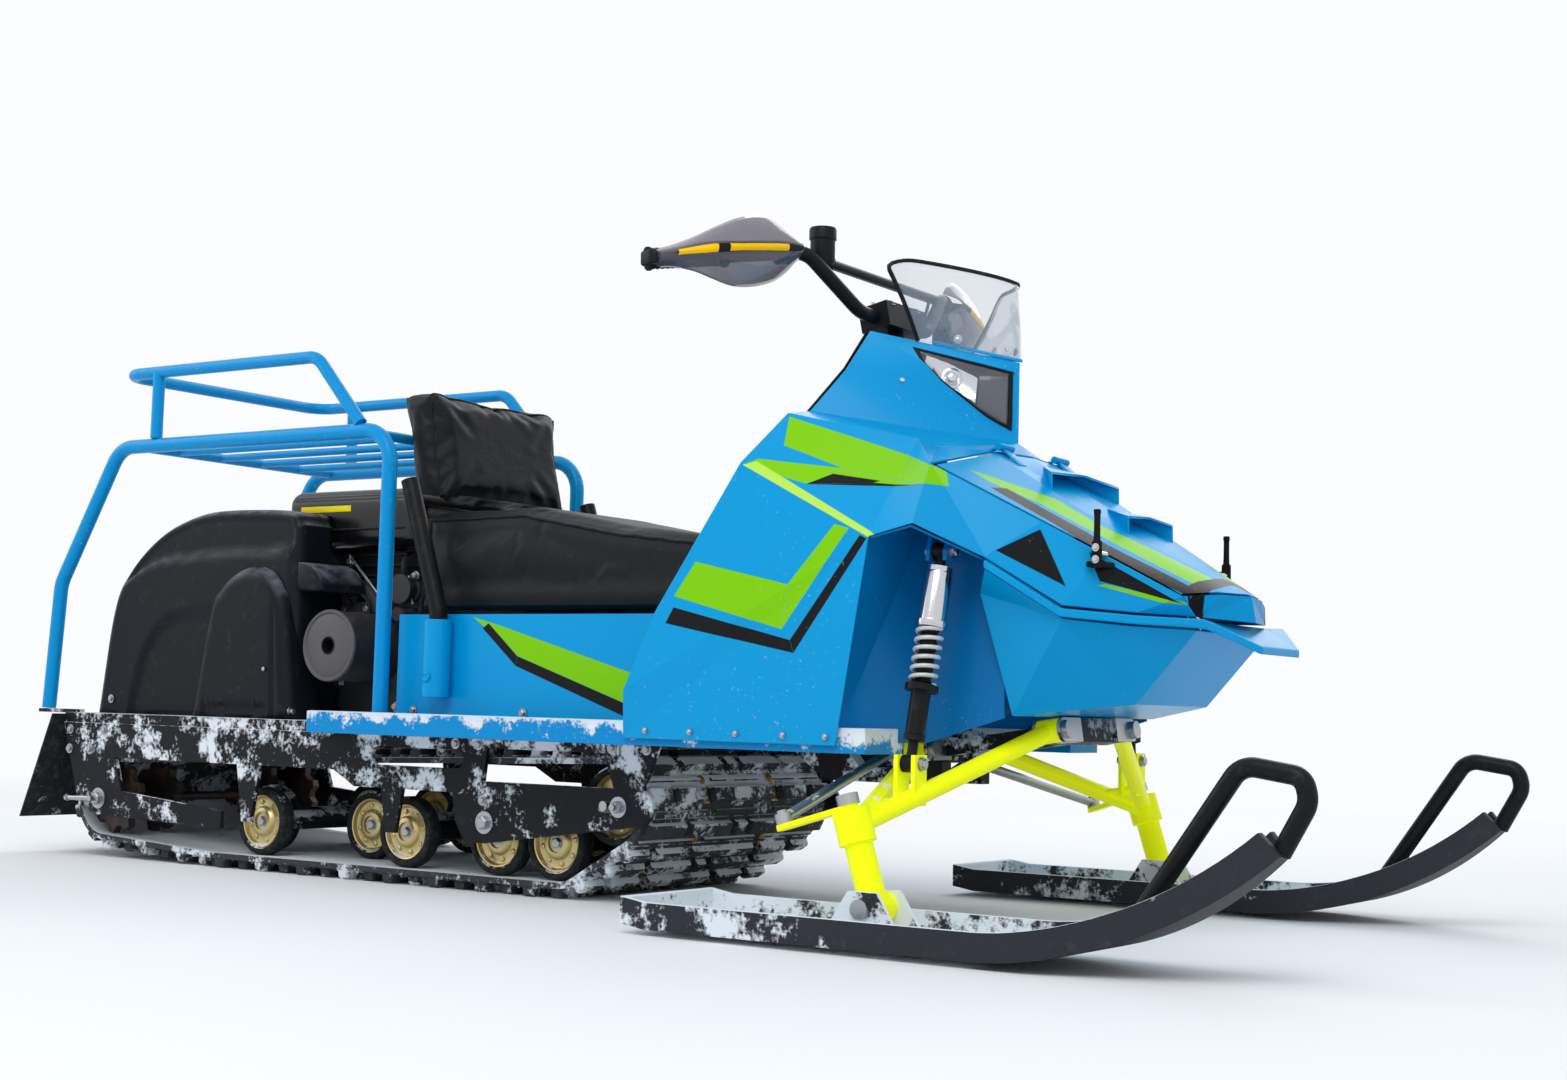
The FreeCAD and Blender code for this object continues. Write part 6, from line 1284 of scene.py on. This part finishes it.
# %% [markdown]
# ## Windshield, lamps and hand guards
# These three are thin clear plastic, so what makes them read is their edges
# and what stands behind them. The windshield is a ruled sheet between its foot
# on the cowl and a bowed top edge, with a rubber trim pressed on. A lamp is a
# dark tray with a faceted reflector under a clear cover. A hand guard is a
# smoked shell with a black spine and two yellow strips.

# %% Windshield
def between(a, b, share):
    return np.asarray(a, float) + (np.asarray(b, float) - np.asarray(a, float)) * share


def ahead(line):
    """Direction of length one along a line, whichever way along it points to the front."""
    return unit(line) * (1 if line[0] > 0 else -1)


top_front, top_rear, top_half, top_height = 642, 520, 172, 956


def screen_place(u, v):
    """Foot on the cowl's edge to the bowed top edge: a straight line up from each foot point."""
    across = (2 * u - 1)[..., None]
    reach = np.abs(across)
    prow = np.array([653.8, 0, 833.1])
    rear = np.sign(across) * (0, 120.1, 0) + (460.65, 0, 877.8)
    foot = prow + (rear - prow) * 0.68 * reach + (0, 0, 1.0)
    along = top_front + (top_rear - top_front) * reach ** 1.43
    top = np.concatenate([along, across * top_half, top_height + 20 * reach], -1)
    corner = np.clip((reach - 0.80) / 0.20, 0, 1) ** 2.4
    top = top - corner * (0, 0, 13.0)
    bow = np.sin(np.pi * v)[..., None] * np.array([3.0, 0, 0])
    return foot + (top - foot) * v[..., None] + bow


u, v = np.meshgrid(np.linspace(0, 1, 61), np.linspace(0, 1, 17))
screen_grid = screen_place(u, v)
screen = Surfaces()
screen.grid(screen_grid)
sheet = screen.make("windshield_sheet", [screen_clear], "chassis", ["windshield"], angle=60)
thicken(sheet, "Sheet", 0.003, 0)
edge_path = evened(np.concatenate([screen_grid[:, 0], screen_grid[-1, 1:-1], screen_grid[::-1, -1]]))
foot_path = screen_grid[0, 4:-4] + (2.4, 0, 2.0)
screen_trim = Surfaces()
screen_trim.grid(swept(edge_path, slab(5.6, 6.4, 2.2), up=(1, 0.01, 0)), True, True)
screen_trim.grid(swept(foot_path, slab(5, 3, 1), up=(1, 0.01, 0)), True, True, shade=1)
screen_trim.make("windshield_trim", [tyre_rubber, plain_paint], "chassis", angle=50)
fasteners = Surfaces()
for column in (12, 26, 34, 48):
    place = screen_grid[2, column]
    along = screen_grid[2, column + 1] - screen_grid[2, column - 1]
    out = ahead(np.cross(along, screen_grid[3, column] - place))
    add_bolt(fasteners, place + out * 1.2, out, 8, 3, 6.5)
fasteners.make("windshield_bolts", [chrome], "chassis")

# %% Lamps
hood_rear, hood_length, hood_half, hood_low, hood_rise = 208, 815, 380, 256, 630


def hood_point(along, across, up, side):
    """Point given as shares of the hood's length, half width and height."""
    return np.array([hood_rear + hood_length * along, side * hood_half * across, hood_low + hood_rise * up])


def lamp_band(share, rise, side):
    """Point of the cowl's lamp band: share runs from the rear to the prow, rise from low to high."""
    share, rise = np.asarray(share, float)[..., None], np.asarray(rise, float)[..., None]
    low = between(hood_point(0.293, 0.421, 0.889, side), hood_point(0.547, 0, 0.722, side), share)
    high = between(hood_point(0.310, 0.316, 0.987, side), hood_point(0.547, 0, 0.916, side), share)
    return low + (high - low) * rise


lamp_corners = [(0.30, 0.86), (0.62, 0.86), (0.94, 0.86), (0.953, 0.82), (0.955, 0.50), (0.955, 0.16),
                (0.93, 0.125), (0.80, 0.17), (0.66, 0.29), (0.52, 0.42), (0.43, 0.55), (0.35, 0.69),
                (0.30, 0.86)]
lamp_outline, lamp_middle = eased(lamp_corners, 6)[:-1], np.array([0.70, 0.54])


def lamp_rings(side, out, places):
    """Rings of a lamp, each from its share of the outline's size and its depth along the way out."""
    rings = []
    for grow, depth in places:
        ring = lamp_middle + (lamp_outline - lamp_middle) * grow
        rings.append(lamp_band(ring[:, 0], ring[:, 1], side) + out * depth)
    return rings


lamps = Surfaces()
lamp_bolts = Surfaces()
for side in (1, -1):
    along = lamp_band(1.0, 0.5, side) - lamp_band(0.0, 0.5, side)
    out = ahead(np.cross(along, lamp_band(0.5, 1, side) - lamp_band(0.5, 0, side)))
    tray = lamp_rings(side, out, [(1.0, -3), (1.0, 2.6), (0.965, 3.6), (0.905, 3.4), (0.88, 1.0), (0.87, -14),
                                  (0.80, -19), (0.0, -20)])
    lamps.grid(tray, True)
    lamps.grid(lamp_rings(side, out, [(0.885, 1.6), (0.7, 3.2), (0.4, 4.4), (0.0, 5.0)]), True, shade=1)
    share, rise = np.meshgrid(np.linspace(0.40, 0.735, 12), np.linspace(0.0, 1.0, 9))
    low = np.interp(share, [0.40, 0.52, 0.735], [0.66, 0.475, 0.30])
    high = np.interp(share, [0.40, 0.55, 0.735], [0.79, 0.775, 0.66])
    cup = -10 + 9 * ((share - 0.57) / 0.17) ** 2 + 3 * (2 * rise - 1) ** 2
    flute = 1.6 * ((np.arange(12)[None, :] + np.arange(9)[:, None]) % 2)
    cup = (np.clip(cup, -12, -2) - flute)[..., None]
    lamps.grid(lamp_band(share, low + (high - low) * rise, side) + out * cup, shade=2)
    inner = np.array([(0.745, 0.27), (0.745, 0.70), (0.925, 0.79), (0.925, 0.19)])
    rim = lamp_band(inner[:, 0], inner[:, 1], side)
    places = ((0.0, -4), (0.0, -2), (0.08, -1.2), (1.0, -2.4))
    lamps.grid([between(rim, rim.mean(0), share) + out * depth for share, depth in places], True, shade=3)
    bulb = lamp_band(0.58, 0.56, side) - out * 9
    holder = [(0, 0), (0, 15), (2, 16), (3, 13), (1, 9), (7, 6), (9, 0)]
    lamps.grid(turned(holder, bulb, out, 24), True, shade=2)
    add_bolt(lamp_bolts, lamp_band(0.30, 0.20, side) + out * 0.2, out, 8, 3, 6)
dark_lens = clear_sheet("dark_lens", tint(46, 48, 54), 0.75)
lamps.make("lamps_finished", [black_plastic, lens_clear, reflector, dark_lens], "chassis",
           ["headlights"], angle=30)
lamp_bolts.make("cowl_bolts", [chrome], "chassis")

# %% Hand guards
def bar_ends(side):
    """Where the bar bends under a guard, its tip, and the direction from one to the other."""
    bend, end = np.array([398, side * 206, 988.0]), np.array([272, side * 425, 948.0])
    return bend, end, unit(end - bend)


guard_start, guard_length, guard_half = 22, 232, 53
stand_off, edge_curl, tip_curl = 78, 34, 330
guards = Surfaces()
levers = Surfaces()
top_line = eased([(0, 0.34), (0.07, 0.66), (0.18, 0.94), (0.32, 1.0), (0.48, 0.90), (0.63, 0.68),
                  (0.78, 0.42), (0.9, 0.28), (1, 0.24)], 8)
low_line = eased([(0, 0.34), (0.07, 0.60), (0.18, 0.84), (0.34, 0.98), (0.50, 0.96), (0.64, 0.76),
                  (0.78, 0.46), (0.9, 0.28), (1, 0.24)], 8)
for side in (1, -1):
    bend, end, along = bar_ends(side)
    forward = ahead(np.cross(along, (0, 0, 1)))

    def guard_place(u, across):
        """Shell in front of the bar: swelling stand-off, curled in at its edges and its tip."""
        u, across = np.broadcast_arrays(np.asarray(u, float), np.asarray(across, float))
        swell = np.sin(np.pi * np.minimum(1.25 * u, 1) / 2)
        stand = stand_off * (0.45 + 0.55 * swell) - edge_curl * across ** 2
        stand = stand - tip_curl * np.maximum(0, u - 0.6) ** 2
        top = np.interp(u, top_line[:, 0], top_line[:, 1])
        low = np.interp(u, low_line[:, 0], low_line[:, 1])
        height = guard_half * across * np.where(across > 0, top, low)
        place = bend + along * (guard_start + guard_length * u)[..., None] + forward * stand[..., None]
        place[..., 2] += height
        return place

    guards.grid(guard_place(*np.meshgrid(np.linspace(0, 1, 41), np.linspace(-1, 1, 21), indexing="ij")))
    for start, stop in ((0.13, 0.60), (0.68, 0.90)):
        u, across = np.meshgrid(np.linspace(start, stop, 20), np.linspace(-1, 1, 5), indexing="ij")
        rise = np.array([0.4, 3.2, 3.8, 3.2, 0.4])
        narrow = 0.125 / np.interp(u, [0, 0.1, 0.3, 0.5, 0.75, 1], [0.6, 0.8, 1, 0.95, 0.42, 0.26])
        levers.grid(guard_place(u, across * narrow) + forward * rise[None, :, None], shade=1)
    u, across = np.meshgrid(np.linspace(0.0, 1.0, 32), np.linspace(-1, 1, 9), indexing="ij")
    wide = 0.19 / np.interp(u, [0, 0.1, 0.3, 0.5, 0.75, 1], [0.5, 0.8, 1, 0.95, 0.42, 0.20])
    rise = np.array([-2.0, 0.9, 1.6, 1.8, 1.8, 1.8, 1.6, 0.9, -2.0])
    levers.grid(guard_place(u, np.clip(across * wide, -1, 1)) + forward * rise[None, :, None])
    tip = guard_place(1.0, 0.0)
    stem = eased([tip - forward, tip - forward * 6 + along * 6, end + along * 8], 8)
    levers.grid(swept(stem, slab(12, 22, 4), up=(0, 0, 1)), True, True)
    root = guard_place(0.10, 0.0) - forward * 2
    clamp = bend + along * 30
    bracket = eased([clamp + forward * 9, between(clamp, root, 0.55), root], 6)
    levers.grid(swept(bracket, slab(10, 14, 3), up=(0, 0, 1)), True, True)
    places = ((40, 16), (70, 34), (130, 38), (205, 30))
    lever = [bend + along * reach + forward * off for reach, off in places]
    levers.grid(swept(eased(lever, 10), slab(11, 5.5, 2), up=forward), True, True, shade=2)
    collar = [(0, 0), (0, 17), (26, 17), (28, 14), (28, 0)]
    levers.grid(turned(collar, bend + along * 24, along, 24), True)
shell = guards.make("guard_shells", [guard_smoke], "steering", ["hand_guards"], angle=60)
thicken(shell, "Sheet", 0.0025, 0)
levers.make("guard_spines", [black_plastic, amber, cast], "steering", angle=40)

# %% Grips and bar fittings
grips = Surfaces()
grip_length, rib_spacing = 121, 8.0
length = np.linspace(0, grip_length, 62)
ribs = 15.2 + 0.7 * np.cos(length * 2 * np.pi / rib_spacing)
rows = [(-1, 11.5), (-1, 17.8), (3, 18.2), (5, 16.0), *zip(5 + length[2:-3], ribs[2:-3]), (121, 17.6),
        (124.5, 17.4), (126, 14), (126, 0)]
for side in (1, -1):
    bend, end, along = bar_ends(side)
    grips.grid(turned(rows, end - along * grip_length, along, 32), True)
grips.make("grips_finished", [grip_rubber], "steering", ["grips"], angle=30)

cables = Surfaces()
bar_runs = [
    [(396, -158, 985), (406, -140, 962), (416, -100, 936), (418, -60, 918), (416, -30, 908)],
    [(392, -178, 985), (406, -150, 956), (416, -112, 930), (418, -66, 910), (414, -22, 900)],
    [(396, 168, 988), (406, 142, 957), (416, 104, 930), (418, 58, 911), (414, 26, 902)],
]
for run in bar_runs:
    cables.grid(swept(eased(run, 10), circle(2.8, 8), up=(1, 0.2, 0)), True, True)
pod = [(-24, 0), (-24, 17), (-20, 19), (14, 19), (15, 21), (30, 21), (33, 19.5), (33.5, 16), (31.5, 13),
       (31.5, 0)]
cables.grid(turned(pod, (396.5, -158, 1001), (0, 0, 1), 40), True, shade=1)
clamp = [(-14, 0), (-14, 15), (14, 15), (14, 0)]
cables.grid(turned(clamp, (396.5, -158, 983.5), (0, 1, 0), 28), True, shade=1)
for x, y in ((446, -38), (446, 38), (414, -38), (414, 38)):
    add_bolt(cables, (x, y, 932), (0, 0, 1), 10, 6, 8, shade=2)
cables.make("bar_fittings", [tyre_rubber, black_plastic, steel], "steering", angle=40)

# %% [markdown]
# ## Dampers, straps and fasteners
# A damper is a stack of turned parts on one axis: black clevis and sleeve, a
# ribbed bumper inside the spring, and a polished body. The solid has the stack,
# so it is kept, its faces are parted into black, chrome and steel by how far
# up the axis they lie, and the bumper and the rounded body are turned over it.
# Fasteners are all one small grid, placed wherever two parts are bolted.

# %% Dampers
def shock_ends(side):
    """Middles of a damper's lower and upper eyes, and the direction from one to the other."""
    low, top = np.array([684.0, side * 352, 236]), np.array([694.0, side * 296, 526])
    return low, top, unit(top - low)


def shock_rule(points):
    """0 black, 1 chrome along the body, 2 steel at the bolts outside the eyes."""
    low, top, axis = shock_ends(-1)
    away = mirror_y(points) - low
    along = away @ axis
    in_eye = (along < 14) | (along > np.linalg.norm(top - low) - 14)
    outside = abs(away[:, 0] - along * axis[0]) > 16.2
    return np.where(in_eye & outside, 2, np.where((along > 189) & (along < 272.6), 1, 0))


rounded("shocks", tube_black, "chrome", 0.0008, angle=40.0, extra=[chrome, steel], rule=shock_rule)
damper = Surfaces()
body = [(187, 17), (187, 21.5), (191, 22), (194, 19.8), (198, 19.6), (262, 19.6), (269, 18), (273, 14),
        (274, 7)]
steps = np.linspace(0, 1, 33)
bumper = np.stack([112 + 72 * steps, 10.6 + 1.6 * np.abs(np.cos(steps * 8 * np.pi))], axis=1)
bumper = [(112, 7), *bumper.tolist(), (184, 7)]
sleeve = [(97, 13.5), (100, 16.5), (102, 22.6), (107.5, 22.9), (108.5, 20), (107, 7)]
ring = [(30, 13.4), (31, 15.5), (38, 15.5), (40, 13.6)]
for side in (1, -1):
    low, top, axis = shock_ends(side)
    for profile, count, shade in ((body, 40, 1), (bumper, 28, 0), (sleeve, 36, 0), (ring, 36, 0)):
        damper.grid(turned(profile, low, axis, count), True, shade=shade)
    for point in (low, top):
        for end in (1, -1):
            add_bolt(damper, point + (end * 16, 0, 0), (end, 0, 0), 15, 7, 10, shade=2)
damper.make("damper_bodies", [tube_black, chrome, steel], "chassis", angle=40)

# %% Straps
straps = Surfaces()
strap_rows = eased([(0, 15, 6), (6, 14.5, 6.6), (34, 14, 6.6), (38, 9.5, 5.5), (70, 8.5, 5), (73, 9.5, 6.5),
                    (78, 9.5, 6.5), (79.5, 7, 4)], 4)
strap_x, strap_y, strap_foot = 893, 226, 504.5
for side in (1, -1):
    foot = np.array([strap_x, side * strap_y, strap_foot])
    rings = [np.pad(slab(wide, deep, min(wide, deep) * 0.35), ((0, 0), (0, 1)), constant_values=rise)
             for rise, wide, deep in strap_rows]
    straps.grid(foot + np.array(rings), True, True)
    for z in (516, 532):
        add_bolt(straps, (strap_x, side * 229.0, z), (0, side, 0), 8, 3.5, 5.5, shade=1)
    straps.grid(turned([(0, 4.6), (26, 4.6)], (strap_x, side * 200, 524), (0, side, 0), 14), True, shade=1)
    base = swept([(strap_x, side * 199, 509.5), (strap_x, side * 229, 509.5)], slab(28, 8, 2))
    straps.grid(base, True, True)
straps.make("straps_finished", [grip_rubber, chrome], body_of["lid_straps"], ["lid_straps"])

# %% Bolts of the side frames, axles and racks
bolts = Surfaces()
frame_face, base_face, lip_face = 264, 213, 371.5
bolt_kinds = [
    (24, 10, 19, frame_face, [drive_place]),
    (22, 9, 18, frame_face, [(-148, 112)]),
    (10, 4, 8, frame_face, [(-154, 147)]),
    (19, 9, 16, frame_face, [(121, 149)]),
    (11, 5, 9, frame_face, [(-1178, 232), (-1082, 232), (-1178, 196), (-1120, 196)]),
    (11, 5, 9, frame_face, [(-215, 235), (-165, 235), (105, 238), (172, 238)]),
    (10, 4, 8, base_face, [(x, 286) for x in (-360, -120, 120)]),
    (6, 2.5, 4.5, lip_face, [(x, 268) for x in (250, 330, 410, 490, 560)]),
]
for side in (1, -1):
    for head, height, washer, face, places in bolt_kinds:
        for x, z in places:
            add_bolt(bolts, (x, side * face, z), (0, side, 0), head, height, washer)
    for x, z, radius, reach in ((*drive_place, 5.5, 22), (121, 149, 5, 18)):
        thread = [(0, 0), (0, radius), (reach, radius), (reach, 0)]
        bolts.grid(turned(thread, (x, side * frame_face, z), (0, side, 0), 14), True)
bolts.make("frame_bolts", [steel], "chassis")
adjuster = Surfaces()
for side in (1, -1):
    block = swept([(-1146, side * 266, 106), (-1088, side * 266, 108)], slab(9, 16, 3), up=(0, 1, 0))
    adjuster.grid(block, True, True)
    screw = [(-34, 0), (-34, 4.5), (34, 4.5), (34, 0)]
    adjuster.grid(turned(screw, (-1146, side * 267, 106), (1, 0, 0), 12), True)
    add_bolt(adjuster, (-1170, side * 267, 106), (-1, 0, 0), 13, 8, 0)
    socket = [(-1, 0), (-1, 8.5), (2.0, 8), (3.4, 6), (1.6, 3.5), (1.6, 0)]
    adjuster.grid(turned(socket, (-292, side * 257.6, 341), (0, side, 0), 24), True, shade=1)
adjuster.make("frame_adjusters", [steel, plain_paint], "chassis")

# %% [markdown]
# ## Floor, light and camera
# The machine stands on a plain pale floor under soft light from above and
# from both sides, as in a studio. A pale background comes from the world's
# colour as the camera, and as gloss and clear plastic, see it, so that no
# lamp has to be turned up for it. The floor fades into the same colour a few
# metres away, so no horizon shows, while near the machine it keeps its shadow.

# %% Floor and world
def camera_sees(tree):
    """1 for what the camera sees straight, in gloss or through clear plastic, 0 for what lights a face."""
    paths = tree.nodes.new("ShaderNodeLightPath")
    rays = ("Is Camera Ray", "Is Glossy Ray", "Is Transmission Ray")
    return reduce(Flow.most, [Flow(tree, paths.outputs[ray]) for ray in rays])


backdrop = (0.97, 0.98, 1.0, 1.0)
fade_starts, fade_ends = 1.9, 4.6
half = 30
corners = [(-half, -half, 0), (half, -half, 0), (half, half, 0), (-half, half, 0)]
floor_mesh = bpy.data.meshes.new("floor")
floor_mesh.from_pydata(corners, [], [(0, 1, 2, 3)])
floor = link(bpy.data.objects.new("floor", floor_mesh))
floor_grey = tint(240, 242, 244)
ground = Finish("floor_finish", floor_grey, 0.9)
ground.set("Base Color", ground.mix(ground.noise(1.2), floor_grey, tint(234, 237, 240)))
x, y, _ = ground.axes(ground.place())
square = x * x + y * y
away = square.maths("SQRT", square)
glow = ground.tree.nodes.new("ShaderNodeEmission")
glow.inputs["Color"].default_value = backdrop
fade = ground.step(away, fade_starts, fade_ends) * camera_sees(ground.tree)
blend_shaders(ground.tree, fade, ground.shader, glow)
floor_mesh.materials.append(ground.material)

world = bpy.data.worlds.new("studio")
bpy.context.scene.world = world
world.use_nodes = True
tree = world.node_tree
light = tree.nodes["Background"]
light.inputs["Color"].default_value = (0.93, 0.96, 1.0, 1.0)
light.inputs["Strength"].default_value = 0.62
seen = tree.nodes.new("ShaderNodeBackground")
seen.inputs["Color"].default_value = backdrop
seen.inputs["Strength"].default_value = 1.0
blend_shaders(tree, camera_sees(tree), light, seen, "World Output")
print("floor and world ready")


# %% Lamps
def soft_lamp(name, place, aim, size, watts):
    """Square lamp that looks at a point."""
    data = bpy.data.lights.new(name, "AREA")
    data.size = size
    data.energy = watts
    lamp = link(bpy.data.objects.new(name, data))
    away = unit(np.subtract(place, aim))
    right = unit(np.cross((0, 0, 1), away))
    turn = np.stack([right, np.cross(away, right), away], axis=1)
    lamp.matrix_world = Matrix.Translation(place) @ Matrix(turn.tolist()).to_4x4()


soft_lamp("key", (1.6, -3.4, 4.2), (0, 0, 0.4), 3.2, 120)
soft_lamp("fill", (-3.8, -2.0, 2.6), (0, 0, 0.4), 3.0, 45)
soft_lamp("back", (-0.5, 3.8, 3.4), (0, 0, 0.5), 3.2, 70)
print(len(bpy.data.lights), "lamps")

# %% Camera at the photograph's viewing angle
azimuth, elevation, roll = map(math.radians, (33.99, -4.50, 1.51))
back = np.array([math.sin(azimuth) * math.cos(elevation), -math.cos(azimuth) * math.cos(elevation),
                 math.sin(elevation)])
right = unit(np.cross(-back, (0, 0, 1)))
up = np.cross(back, right)
turned_right = math.cos(roll) * right + math.sin(roll) * up
turned_up = -math.sin(roll) * right + math.cos(roll) * up
camera_data = bpy.data.cameras.new("camera")
camera_data.sensor_width = 36.0
camera_data.lens = 48.79
camera = link(bpy.data.objects.new("camera", camera_data))
axes = Matrix(np.stack([turned_right, turned_up, back], axis=1).tolist()).to_4x4()
camera.matrix_world = Matrix.Translation((2.135, -2.822, 0.307)) @ axes
bpy.context.scene.camera = camera
bpy.context.scene.view_settings.view_transform = "Standard"
print("camera looks along", (-back).round(3).tolist())
